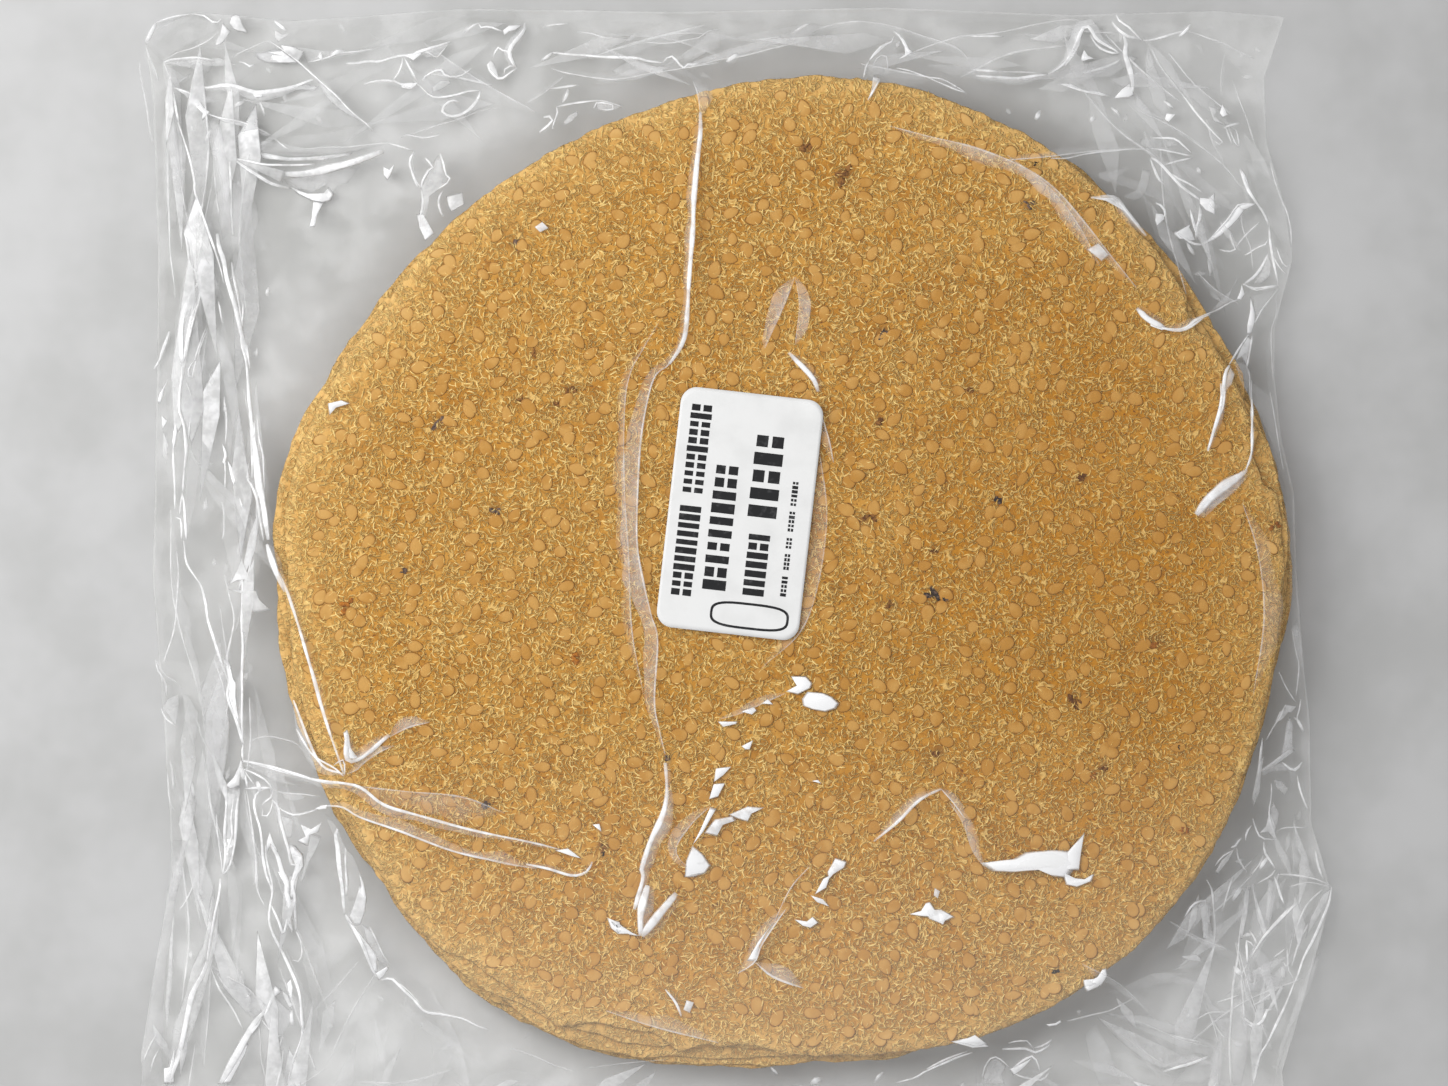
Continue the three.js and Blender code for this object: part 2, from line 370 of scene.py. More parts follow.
# Creases that stand up in the solid too
MAIN_CREASES = (
    Crease(1.6, 4.2, ((-16, 89), (-16, 63), (-19, 42), (-26, 30), (-27, 12), (-25, -10), (-22, -36))),
    Crease(1.2, 3.6, ((-21, -42), (-20, -57), (-28, -69))),
    Crease(1.2, 3.4, ((-4, 54), (-4, 41), (4, 40), (8, 28), (10, 19))),
    Crease(1.5, 4.0, ((-114, 92), (-110, 71), (-104, 54), (-100, 30), (-97, 8), (-92, -12))),
    Crease(1.5, 4.0, ((-92, -12), (-87, -24), (-82, -36), (-80, -42))),
    Crease(1.2, 3.4, ((-110, 54), (-113, 34), (-112, 12), (-107, -10), (-102, -24), (-101, -38))),
    Crease(1.3, 3.6, ((-101, -37), (-82, -40), (-64, -48), (-41, -53))),
    Crease(1.1, 3.4, ((-102, -40), (-105, -58), (-109, -74), (-115, -96))),
    Crease(1.2, 3.6, ((-96, -44), (-94, -64), (-90, -78), (-92, -98))),
    Crease(1.2, 3.6, ((-83, -50), (-79, -70), (-68, -83), (-55, -88))),
    Crease(1.2, 3.6, ((-95, 102), (-84, 92), (-77, 82))),
    Crease(1.0, 3.4, ((-103, 77), (-88, 74), (-74, 79), (-62, 73))),
    Crease(1.2, 3.6, ((20, 83), (46, 74), (60, 64), (66, 58))),
    Crease(1.0, 3.4, ((69, 77), (81, 69), (85, 62), (92, 57))),
    Crease(1.1, 3.6, ((28, -42), (20, -50), (16, -52))),
    Crease(1.3, 4.4, ((29, -42), (36, -50), (40, -56), (56, -54))),
    Crease(1.1, 3.4, ((3, -64), (-3, -71), (-6, -76), (4, -79))),
    Crease(1.3, 3.6, ((103, -60), (91, -69), (86, -86), (84, -104))),
)


@dataclass
class BagForm:
    """Outline and heights of the film, over the stack and in the loose margins round it.

    Attributes:
        stack: the stack that it lies on.
        label: the label, under which it lies flat.
        tent_run: how far out the film reaches the margin's level.
        tent_power: how fast it falls beside the rim.
        least_margin: least width of the margin.
        wide_margin: width from which the margin counts as loose.
        edge_lift: height of the edge where the margin is loose.
        edge_thickness: thickness of the bag at its edge.
        least_thickness: least thickness anywhere.
        underside_share: depth of the crinkles below, as a share of those above.
        underside_rise: how late the underside rises towards the edge.
        crinkle_start: how far out the crinkles reach their full depth.
        crease_step: distance between points of a crease.
        crease_fade: share of a crease's length in which it dies out, at each end.
        right_side: points of the bag's edge on the right, upwards.
        top_side: those at the top, to the left.
        left_side: those on the left, downwards.
        bottom_side: those at the bottom, to the right.
        crinkles: crossing folds that the solid has too.
        fine_crinkles: smaller ones that it hasn't.
        creases: the main creases.
        edge_samples: samples of each side in the table of the edge.
        edge_table: directions from the middle, and the edge's radius in each.
    """

    stack: StackForm
    label: LabelForm
    tent_run: float = 17.0
    tent_power: float = 1.9
    least_margin: float = 1.4
    wide_margin: float = 14.0
    edge_lift: float = 1.5
    edge_thickness: float = 0.9
    least_thickness: float = 0.8
    underside_share: float = 0.4
    underside_rise: float = 1.8
    crinkle_start: float = 9.0
    crease_step: float = 3.0
    crease_fade: float = 0.18
    right_side: Route = (
        (96.6, -116), (94.0, -95), (97.8, -82), (101.7, -68), (103.0, -60.4), (99.4, -48), (99.1, -30),
        (97.4, -14), (96.4, 0), (96.0, 14), (93.6, 24), (92.4, 36), (92.6, 45), (95.9, 58), (94.4, 68),
        (91.0, 80), (90.6, 92), (94.3, 103.4),
    )
    top_side: Route = (
        (94.3, 103.4), (82, 104.6), (55, 103.8), (20, 105.2), (-20, 104.4), (-60, 105.0), (-92, 102.6),
        (-111, 104.4), (-119.7, 100),
    )
    left_side: Route = (
        (-119.7, 100), (-118.2, 86), (-117.4, 60), (-117.6, 36), (-118.4, -2), (-116, -33), (-114.6, -58),
        (-117.4, -72), (-120.6, -92), (-119.4, -114),
    )
    bottom_side: Route = (
        (-119.4, -114), (-104, -119.2), (-70, -117.6), (-30, -119.4), (15, -118.2), (55, -119.6),
        (84, -118.4), (96.6, -116),
    )
    crinkles: tuple[Wave, ...] = (
        Wave(14, 23, 0.5, 0.1, 0.3, 58), Wave(71, 17, 0.45, 0.4, 0.35, 47),
        Wave(118, 13, 0.4, 0.7, 0.3, 39), Wave(157, 19, 0.45, 0.2, 0.4, 63),
    )
    fine_crinkles: tuple[Wave, ...] = (
        Wave(38, 9.5, 0.2, 0.35, 0.4, 31), Wave(93, 7.5, 0.17, 0.15, 0.45, 27),
        Wave(141, 6.5, 0.15, 0.8, 0.4, 23), Wave(4, 8.5, 0.17, 0.55, 0.5, 29),
    )
    creases: tuple[Crease, ...] = MAIN_CREASES
    edge_samples: int = 200
    edge_table: Places = field(init=False)

    def __post_init__(self) -> None:
        """Tabulate the edge's radius by direction from the middle."""
        share = np.linspace(0, 4, 4 * self.edge_samples, endpoint=False)
        x, y = self.edge_point(share)
        angle = np.arctan2(y, x)
        order = np.argsort(angle)
        self.edge_table = (angle[order], np.hypot(x, y)[order])

    def edge_point(self, share: np.ndarray) -> Places:
        """Point on the bag's edge, anticlockwise from its lower right corner.

        Args:
            share: 0 to 4, a whole number for each side, and its fraction the part of that side's length.

        Returns:
            The places across and up, on the straight lines between the side's points.
        """
        share = np.mod(share, 4)
        x = np.zeros(share.shape)
        y = np.zeros(share.shape)
        for number, side in enumerate((self.right_side, self.top_side, self.left_side, self.bottom_side)):
            points = np.array(side)
            travelled = np.concatenate([[0], np.cumsum(np.hypot(*np.diff(points, axis=0).T))])
            here = np.floor(share).astype(int) == number
            place = (share[here] - number) * travelled[-1]
            x[here] = np.interp(place, travelled, points[:, 0])
            y[here] = np.interp(place, travelled, points[:, 1])
        return x, y

    def margin(self, angle: np.ndarray) -> np.ndarray:
        """Width of the loose film between the rim and the bag's edge in a direction."""
        radius = np.interp(angle, *self.edge_table, period=FULL_TURN)
        return np.maximum(radius - self.stack.rim(angle), self.least_margin)

    def edge_level(self, margin: np.ndarray) -> np.ndarray:
        """Height of the edge: half the stack's where the bag is tight, low where it is loose."""
        loose = ease(0, self.wide_margin, margin)
        return self.stack.height / 2 + (self.edge_lift - self.stack.height / 2) * loose

    def crinkle(self, x: np.ndarray, y: np.ndarray) -> np.ndarray:
        """Crossing straight folds of the loose film."""
        return sum(wave.fold(x, y) for wave in self.crinkles)

    def fine_crinkle(self, x: np.ndarray, y: np.ndarray) -> np.ndarray:
        """Smaller crossing folds, of which the solid has none."""
        return sum(wave.fold(x, y) for wave in self.fine_crinkles)

    def crease_relief(self, x: np.ndarray, y: np.ndarray) -> np.ndarray:
        """Highest of the main creases at each place: straight sides that die out at both ends.

        Args:
            x: places across.
            y: places up.

        Returns:
            Its height above the film.
        """
        relief = np.zeros(x.shape)
        for crease in self.creases:
            path = smooth_path(crease.route, self.crease_step)
            low, high = path.min(axis=0) - crease.reach, path.max(axis=0) + crease.reach
            near = (x > low[0]) & (x < high[0]) & (y > low[1]) & (y < high[1])
            distance, share = nearest_on_path(x[near], y[near], path)
            fade = ease(0, self.crease_fade, share) * ease(0, self.crease_fade, 1 - share)
            ridge = crease.height * fade * np.maximum(0, 1 - distance / crease.reach)
            relief[near] = np.maximum(relief[near], ridge)
        return relief

    def looseness(self, outside: np.ndarray) -> np.ndarray:
        """0 over the stack, where the film lies on it, and 1 out in the loose margin."""
        return ease(0, self.crinkle_start, outside)

    def top(self, x: np.ndarray, y: np.ndarray) -> np.ndarray:
        """Height of the upper film: the stack's top, and beyond the rim a tent down to the edge.

        Args:
            x: places across.
            y: places up.

        Returns:
            The heights.
        """
        angle = np.arctan2(y, x)
        outside = np.hypot(x, y) - self.stack.rim(angle)
        margin = self.margin(angle)
        creased = self.crease_relief(x, y)
        over = self.stack.height - self.stack.droop(outside)
        over = over + self.label.away(x, y) * (self.stack.swell(x, y) + creased)
        edge = self.edge_level(margin) + self.edge_thickness / 2
        shoulder = self.stack.height - self.stack.shoulder_drop
        slope = np.clip(1 - outside / np.minimum(margin, self.tent_run), 0, 1) ** self.tent_power
        crinkled = self.crinkle(x, y) + self.fine_crinkle(x, y)
        beside = edge + (shoulder - edge) * slope + self.looseness(outside) * crinkled + creased
        return np.where(outside <= 0, over, np.maximum(beside, self.least_thickness))

    def underside(self, x: np.ndarray, y: np.ndarray, foot: float) -> np.ndarray:
        """Height of the lower film: flat under the stack, rising with the crinkles towards the edge.

        Args:
            x: places across.
            y: places up.
            foot: how far inside the rim it leaves the ground.

        Returns:
            The heights, no nearer the upper film than the least thickness.
        """
        angle = np.arctan2(y, x)
        rim = self.stack.rim(angle)
        margin = self.margin(angle)
        share = np.clip((np.hypot(x, y) - rim + foot) / (margin + foot), 0, 1)
        edge = self.edge_level(margin) - self.edge_thickness / 2
        crinkled = self.underside_share * self.crinkle(x, y) * ease(0, self.wide_margin, margin)
        height = (edge + crinkled) * share**self.underside_rise
        return np.maximum(0, np.minimum(height, self.top(x, y) - self.least_thickness))


# Meshes


@dataclass
class Shell:
    """Vertices and faces of a surface, gathered part by part.

    Attributes:
        points: arrays of vertices, three numbers each, in millimetres.
        faces: arrays of faces, as vertex numbers.
        marks: named values, one for each vertex.
        size: number of vertices so far.
    """

    points: list[np.ndarray] = field(default_factory=list)
    faces: list[np.ndarray] = field(default_factory=list)
    marks: dict[str, np.ndarray] = field(default_factory=dict)
    size: int = 0

    def add(self, points: np.ndarray) -> np.ndarray:
        """Add vertices.

        Args:
            points: the vertices, three numbers each.

        Returns:
            Their numbers.
        """
        numbers = np.arange(self.size, self.size + len(points))
        self.points.append(points)
        self.size += len(points)
        return numbers

    def quads(self, *corners: np.ndarray) -> None:
        """Add four-sided faces from four arrays of vertex numbers, or triangles from three."""
        self.faces.append(np.stack([corner.ravel() for corner in corners], axis=1))

    def band(self, inner: np.ndarray, outer: np.ndarray) -> None:
        """Join two closed rings of as many vertices."""
        self.quads(inner, outer, np.roll(outer, -1), np.roll(inner, -1))

    def fan(self, ring: np.ndarray, tip: np.ndarray) -> None:
        """Close a ring with triangles to one vertex."""
        self.quads(ring, np.roll(ring, -1), np.broadcast_to(tip, ring.shape))

    def build(self, name: str, finish: bpy.types.Material, smooth: bool = True) -> bpy.types.Object:
        """Make the mesh object.

        Args:
            name: the piece's name.
            finish: its material.
            smooth: whether its faces are shaded smooth.

        Returns:
            The object, at the origin, its vertices in metres.
        """
        mesh = bpy.data.meshes.new(name)
        points = np.concatenate(self.points) * MM
        corners = np.concatenate([face.ravel() for face in self.faces])
        sizes = np.concatenate([np.full(len(face), face.shape[1]) for face in self.faces])
        starts = np.concatenate([[0], np.cumsum(sizes)[:-1]])
        mesh.vertices.add(len(points))
        mesh.vertices.foreach_set("co", points.astype(np.float32).ravel())
        mesh.loops.add(len(corners))
        mesh.loops.foreach_set("vertex_index", corners.astype(np.int32))
        mesh.polygons.add(len(sizes))
        mesh.polygons.foreach_set("loop_start", starts.astype(np.int32))
        mesh.polygons.foreach_set("loop_total", sizes.astype(np.int32))
        mesh.polygons.foreach_set("use_smooth", np.full(len(sizes), smooth))
        for mark, values in self.marks.items():
            attribute = mesh.attributes.new(mark, "FLOAT", "POINT")
            attribute.data.foreach_set("value", values.astype(np.float32))
        mesh.update(calc_edges=True)
        mesh.materials.append(finish)
        piece = bpy.data.objects.new(name, mesh)
        bpy.context.scene.collection.objects.link(piece)
        return piece


def square_grid(count: int) -> tuple[np.ndarray, np.ndarray, np.ndarray]:
    """Square grid seen as rings round its middle.

    Args:
        count: cells along each side, an even number.

    Returns:
        Each vertex's share of the way out, its place round the ring from 0 to 4, anticlockwise from the
        lower right corner, and the square array of vertex numbers.
    """
    line = np.linspace(-1, 1, count + 1)
    up, across = np.meshgrid(line, line, indexing="ij")
    out = np.maximum(np.abs(across), np.abs(up))
    safe = np.maximum(out, TINY)
    right = across >= np.abs(up)
    top = (up >= np.abs(across)) & ~right
    left = (-across >= np.abs(up)) & ~right & ~top
    around = np.where(right, (up / safe + 1) / 2, (across / safe + 1) / 2 + 3)
    around = np.where(top, (1 - across / safe) / 2 + 1, around)
    around = np.where(left, (1 - up / safe) / 2 + 2, around)
    numbers = np.arange((count + 1) ** 2).reshape(count + 1, count + 1)
    return out.ravel(), around.ravel(), numbers


def square_border(numbers: np.ndarray) -> np.ndarray:
    """Vertex numbers round a square grid's border, anticlockwise from its lower right corner."""
    return np.concatenate([numbers[:-1, -1], numbers[-1, :0:-1], numbers[:0:-1, 0], numbers[0, :-1]])


def ride(piece: bpy.types.Object) -> bpy.types.Object:
    """Put a piece on the pack's only body and log its number of faces.

    Args:
        piece: the piece.

    Returns:
        The piece.
    """
    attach(piece, BODY)
    LOG.info("%s: %d faces", piece.name, len(piece.data.polygons))
    return piece


# Finishes


@dataclass(frozen=True)
class Patches:
    """Noise stretched to a share, in patches.

    Attributes:
        size: size of the patches.
        detail: how many finer noises are added.
        source: noise values between which the share changes.
        target: shares at both ends of that range.
        roughness: how strong the finer noises are.
    """

    size: float
    detail: float
    source: Range
    target: Range = (0.0, 1.0)
    roughness: float = 0.5


class Nodes:
    """A material's node tree, built by short calls."""

    def __init__(self, name: str) -> None:
        """Start an empty material.

        Args:
            name: its name.
        """
        self.material = bpy.data.materials.new(name)
        self.material.use_nodes = True
        self.tree = self.material.node_tree
        self.tree.nodes.clear()
        self.place = self.add("ShaderNodeTexCoord").outputs["Object"]

    def add(self, kind: str, settings: dict | None = None, inputs: dict | None = None) -> bpy.types.Node:
        """Add a node.

        Args:
            kind: Blender's name of the node type.
            settings: properties of the node.
            inputs: values or links for its sockets, by name or number.

        Returns:
            The node.
        """
        node = self.tree.nodes.new(kind)
        for key, value in (settings or {}).items():
            setattr(node, key, value)
        for key, value in (inputs or {}).items():
            self.feed(node.inputs[key], value)
        return node

    def feed(self, socket: bpy.types.NodeSocket, value: object) -> None:
        """Link a socket to another, or set its value.

        Args:
            socket: the socket.
            value: another socket or a value; a bare colour gets full alpha.
        """
        if isinstance(value, bpy.types.NodeSocket):
            self.tree.links.new(value, socket)
        elif isinstance(value, tuple) and socket.type == "RGBA":
            socket.default_value = (*value, 1.0)
        else:
            socket.default_value = value

    def noise(self, size: float, detail: float = 2.0, roughness: float = 0.5) -> bpy.types.NodeSocket:
        """Noise with features of a size in millimetres, by Object coordinates."""
        inputs = {"Vector": self.place, "Scale": 1 / (size * MM), "Detail": detail, "Roughness": roughness}
        return self.add("ShaderNodeTexNoise", inputs=inputs).outputs["Fac"]

    def mark(self, name: str) -> bpy.types.NodeSocket:
        """A value that the mesh holds for each vertex."""
        return self.add("ShaderNodeAttribute", {"attribute_name": name}).outputs["Fac"]

    def remap(self, value: object, source: Range, target: Range = (0.0, 1.0)) -> bpy.types.NodeSocket:
        """Stretch a range of values to another, clamped and eased at both ends.

        Args:
            value: the value or its socket.
            source: where the range starts and ends.
            target: what these become.

        Returns:
            The stretched value.
        """
        inputs = dict(zip(("From Min", "From Max", "To Min", "To Max"), (*source, *target)))
        inputs["Value"] = value
        return self.add("ShaderNodeMapRange", {"interpolation_type": "SMOOTHSTEP"}, inputs).outputs["Result"]

    def patches(self, patches: Patches) -> bpy.types.NodeSocket:
        """Noise stretched to a share."""
        noise = self.noise(patches.size, patches.detail, patches.roughness)
        return self.remap(noise, patches.source, patches.target)

    def near(self, x: float, y: float, across: float, up: float) -> bpy.types.NodeSocket:
        """Nearness to a point, by Object coordinates.

        Args:
            x: the point's place across.
            y: its place up.
            across: half width of an oval round it.
            up: half height of that oval.

        Returns:
            1 at the point, easing to 0 at the oval.
        """
        inputs = {
            "Vector": self.place, "Location": (-x / across, -y / up, 0.0),
            "Scale": (1 / (across * MM), 1 / (up * MM), 0.0),
        }
        offset = self.add("ShaderNodeMapping", inputs=inputs).outputs[0]
        away = self.add("ShaderNodeVectorMath", {"operation": "LENGTH"}, {0: offset}).outputs["Value"]
        return self.remap(away, (1.0, 0.0))

    def maths(self, operation: str, first: object, second: object) -> bpy.types.NodeSocket:
        """Result of one mathematical step."""
        return self.add("ShaderNodeMath", {"operation": operation}, {0: first, 1: second}).outputs[0]

    def times(self, first: object, second: object) -> bpy.types.NodeSocket:
        """Product of two values."""
        return self.maths("MULTIPLY", first, second)

    def plus(self, first: object, second: object) -> bpy.types.NodeSocket:
        """Sum of two values."""
        return self.maths("ADD", first, second)

    def clear(self, colour: Colour = (1.0, 1.0, 1.0)) -> bpy.types.NodeSocket:
        """A shader that lets the light straight through, tinted."""
        return self.add("ShaderNodeBsdfTransparent", inputs={"Color": colour}).outputs[0]

    def white(self, colour: Colour) -> bpy.types.NodeSocket:
        """A dull shader."""
        return self.add("ShaderNodeBsdfDiffuse", inputs={"Color": colour}).outputs[0]

    def gloss(self, **inputs: object) -> bpy.types.NodeSocket:
        """A white reflection."""
        named = {"Color": (1.0, 1.0, 1.0), **inputs}
        return self.add("ShaderNodeBsdfAnisotropic", inputs=named).outputs[0]

    def mixed(self, share: object, first: object, second: object) -> bpy.types.NodeSocket:
        """Mix two shaders by a share."""
        return self.add("ShaderNodeMixShader", inputs={0: share, 1: first, 2: second}).outputs[0]

    def blend(self, share: object, first: object, second: object) -> bpy.types.NodeSocket:
        """Mix two colours.

        Args:
            share: how much of the second there is.
            first: the first colour.
            second: the second.

        Returns:
            The mixed colour.
        """
        node = self.add("ShaderNodeMix", {"data_type": "RGBA"})
        self.feed(node.inputs["Factor"], share)
        self.feed(node.inputs[6], first)
        self.feed(node.inputs[7], second)
        return node.outputs[2]

    def bump(self, height: object, distance: float) -> bpy.types.NodeSocket:
        """Shading normal of a relief, its distance in millimetres."""
        inputs = {"Height": height, "Distance": distance * MM, "Strength": 1.0}
        return self.add("ShaderNodeBump", inputs=inputs).outputs["Normal"]

    def surface(self, shader: bpy.types.NodeSocket) -> bpy.types.Material:
        """Finish the material with its surface shader."""
        self.add("ShaderNodeOutputMaterial", inputs={"Surface": shader})
        return self.material

    def principled(self, **inputs: object) -> bpy.types.Material:
        """Finish the material with a Principled shader; underscores in names stand for spaces."""
        named = {key.replace("_", " "): value for key, value in inputs.items()}
        return self.surface(self.add("ShaderNodeBsdfPrincipled", inputs=named).outputs["BSDF"])


@dataclass(frozen=True)
class FilmFinish:
    """Thin clear film: it lets the light through and reflects more of it at a slant.

    Attributes:
        name: the material's name.
        tint: what passes straight through.
        milk: colour of milky film.
        facing_share: share reflected where the film faces the eye, from both of its faces.
        slant_share: share reflected at the flattest slant.
        slant_power: how late the reflection rises with the slant.
        roughness: roughness of the reflection.
        wrinkle: size of the finest wrinkles.
        wrinkle_depth: their depth where the film is loose.
        tight_share: share of that depth where it is tight.
        low_sheen_haze: white painted at the pack's lower end, a painted reflection of the film's sheen
            there.
        low_range: places up between which that haze sets in.
        patches: milky patches where the film is loose, partly its own haze and partly painted reflection.
    """

    name: str = "clear_film"
    tint: Colour = (0.985, 0.985, 0.98)
    milk: Colour = (0.95, 0.95, 0.95)
    facing_share: float = 0.03
    slant_share: float = 0.25
    slant_power: float = 5.0
    roughness: float = 0.1
    wrinkle: float = 6.0
    wrinkle_depth: float = 0.12
    tight_share: float = 0.12
    low_sheen_haze: float = 0.075
    low_range: Range = (-20.0, -100.0)
    patches: Patches = Patches(9.0, 2.0, (0.4, 0.62), (0.0, 0.08))

    def material(self) -> bpy.types.Material:
        """Mix of clear, milky and glossy: the facing share, and the rest times a power of the slant.

        Light on its way to a lamp passes the film unbent and unchanged.

        Returns:
            The material.
        """
        nodes = Nodes(self.name)
        slant = nodes.add("ShaderNodeLayerWeight", inputs={"Blend": 0.5}).outputs["Facing"]
        slanting = nodes.maths("POWER", slant, self.slant_power)
        rest = nodes.times(slanting, self.slant_share - self.facing_share)
        loose = nodes.mark("loose")
        depth = nodes.remap(loose, (0.0, 1.0), (self.tight_share, 1.0))
        wrinkles = nodes.times(nodes.noise(self.wrinkle), depth)
        up = nodes.add("ShaderNodeSeparateXYZ", inputs={"Vector": nodes.place}).outputs["Y"]
        start, end = self.low_range
        low = nodes.remap(up, (start * MM, end * MM), (0.0, self.low_sheen_haze))
        # Painted reflection: white haze towards the pack's lower end and in patches of the loose film.
        haze = nodes.plus(low, nodes.times(nodes.patches(self.patches), loose))
        milky = nodes.mixed(haze, nodes.clear(self.tint), nodes.white(self.milk))
        gloss = nodes.gloss(Roughness=self.roughness, Normal=nodes.bump(wrinkles, self.wrinkle_depth))
        seen = nodes.mixed(nodes.plus(rest, self.facing_share), milky, gloss)
        shadow = nodes.add("ShaderNodeLightPath").outputs["Is Shadow Ray"]
        return nodes.surface(nodes.mixed(shadow, seen, nodes.clear()))


@dataclass(frozen=True)
class CreaseAndHighlightFinish:
    """Film whitened along its creases and on its glinting facets, and clear elsewhere, as its mark says; the
    white is partly the crease's own whitening and partly painted highlight.

    Attributes:
        name: the material's name.
        colour: colour of the whitened film and of the painted highlights.
        gloss_share: share of the light that it reflects like gloss.
        roughness: roughness of that reflection.
        patches: small patches, whiter or less white.
    """

    name: str = "whitened_film_and_highlights"
    colour: Colour = (0.95, 0.95, 0.95)
    gloss_share: float = 0.3
    roughness: float = 0.3
    patches: Patches = Patches(2.2, 2.0, (0.3, 0.7), (0.72, 1.2))

    def material(self) -> bpy.types.Material:
        """Clear film mixed with white by the mark times the patches, no more than 1.

        Returns:
            The material.
        """
        nodes = Nodes(self.name)
        factors = {0: nodes.mark("white"), 1: nodes.patches(self.patches)}
        share = nodes.add("ShaderNodeMath", {"operation": "MULTIPLY", "use_clamp": True}, factors).outputs[0]
        body = nodes.mixed(self.gloss_share, nodes.white(self.colour), nodes.gloss(Roughness=self.roughness))
        return nodes.surface(nodes.mixed(share, nodes.clear(), body))


# Where the dough is deepest in colour, and how far that reaches across and up
DEEP_SPOT = (64, 4, 80, 92)


@dataclass(frozen=True)
class DoughFinish:
    """Dried golden dough: mottled, crossed by pale curled threads, with painted shade in gaps and pits,
    paler at a sheet's edge.

    Attributes:
        name: the material's name.
        pale: colour of the pale parts.
        deep: colour of the deep parts.
        patch: colour of the small darker patches.
        thread: colour of the threads.
        gap: painted shadow colour in the gaps beside the threads.
        edge: colour at a sheet's edge, by the mesh's mark: partly the pale edge, partly painted light on the
            lamp's side.
        stain: colour round the flakes, by the mesh's mark.
        pit_shade: painted shade colour of the pits.
        mottle: large patches between pale and deep.
        spot_share: how much deeper the deep spot is.
        darker: the small darker patches.
        grain: size of the grain, its detail and its roughness.
        grain_share: height of the grain beside that of the threads.
        pit_shade_range: values of the grain between which the painted shade of the pits sets in.
        coarse: size of the coarse curls, their number of lines, and size of their broken stretches.
        fine: the same of the fine curls.
        curl_roughness: roughness of the curls' noise.
        stretches: values of the breaking noise between which the threads set in.
        thread_range: values of the wave between which a thread sets in.
        gap_shadow_range: the same of the painted shadow in a gap.
        thread_share: how strong the threads' colour is.
        gap_shadow_share: how strong the painted shadow in the gaps is.
        relief: height of the threads.
        roughness: roughness of the surface.
        sheen: its specular level.
    """

    name: str = "papadum_dough"
    pale: Colour = (0.515, 0.257, 0.043)
    deep: Colour = (0.435, 0.184, 0.011)
    patch: Colour = (0.37, 0.15, 0.01)
    thread: Colour = (0.78, 0.55, 0.2)
    gap: Colour = (0.27, 0.105, 0.008)
    edge: Colour = (0.68, 0.43, 0.15)
    stain: Colour = (0.13, 0.06, 0.018)
    pit_shade: Colour = (0.17, 0.06, 0.008)
    mottle: Patches = Patches(15.0, 3.0, (0.3, 0.7), (-0.45, 0.55), 0.6)
    spot_share: float = 1.1
    darker: Patches = Patches(3.2, 1.0, (0.48, 0.7), (0.0, 0.7))
    grain: tuple[float, float, float] = (0.6, 2.0, 0.6)
    grain_share: float = 0.5
    pit_shade_range: Range = (0.42, 0.3)
    coarse: tuple[float, float, float] = (2.7, 7.0, 2.2)
    fine: tuple[float, float, float] = (1.3, 5.0, 1.5)
    curl_roughness: float = 0.45
    stretches: Range = (0.4, 0.54)
    thread_range: Range = (0.5, 0.95)
    gap_shadow_range: Range = (0.4, 0.05)
    thread_share: float = 0.6
    gap_shadow_share: float = 0.58
    relief: float = 0.28
    roughness: float = 0.5
    sheen: float = 0.35

    def threads(
        self, nodes: Nodes, size: float, lines: float, broken: float
    ) -> tuple[bpy.types.NodeSocket, bpy.types.NodeSocket]:
        """Curled threads: lines at equal steps of a noise, like contour lines, broken up by another noise.

        Args:
            nodes: the material's nodes.
            size: size of the curls in millimetres.
            lines: how many lines the noise's full range has.
            broken: size of the stretches with and without threads.

        Returns:
            1 on a thread, and 1 in the gap between two threads, where shadow is painted.
        """
        curls = nodes.times(nodes.noise(size, 1.0, self.curl_roughness), lines)
        wave = nodes.times(nodes.maths("PINGPONG", curls, 0.5), 2.0)
        there = nodes.remap(nodes.noise(broken, 1.0), self.stretches)
        thread = nodes.times(nodes.remap(wave, self.thread_range), there)
        gap = nodes.times(nodes.remap(wave, self.gap_shadow_range), there)
        return thread, gap

    def material(self) -> bpy.types.Material:
        """Colour by place, threads, pits and marks, and a grainy relief with raised threads.

        Returns:
            The material.
        """
        nodes = Nodes(self.name)
        mottle = nodes.plus(nodes.patches(self.mottle), nodes.times(nodes.near(*DEEP_SPOT), self.spot_share))
        colour = nodes.blend(mottle, self.pale, self.deep)
        colour = nodes.blend(nodes.patches(self.darker), colour, self.patch)
        grain = nodes.noise(*self.grain)
        # Painted shade: dark spots where the grain is lowest stand for pits.
        colour = nodes.blend(nodes.remap(grain, self.pit_shade_range), colour, self.pit_shade)
        coarse, coarse_gap_shadow = self.threads(nodes, *self.coarse)
        fine, fine_gap_shadow = self.threads(nodes, *self.fine)
        threads = nodes.maths("MAXIMUM", coarse, fine)
        gap_shadows = nodes.maths("MAXIMUM", coarse_gap_shadow, fine_gap_shadow)
        colour = nodes.blend(nodes.mark("edge"), colour, self.edge)
        colour = nodes.blend(nodes.mark("stain"), colour, self.stain)
        # Painted shadow in the gaps beside the threads.
        colour = nodes.blend(nodes.times(gap_shadows, self.gap_shadow_share), colour, self.gap)
        colour = nodes.blend(nodes.times(threads, self.thread_share), colour, self.thread)
        normal = nodes.bump(nodes.plus(nodes.times(grain, self.grain_share), threads), self.relief)
        return nodes.principled(
            Base_Color=colour, Roughness=self.roughness, Specular_IOR_Level=self.sheen, Normal=normal,
        )


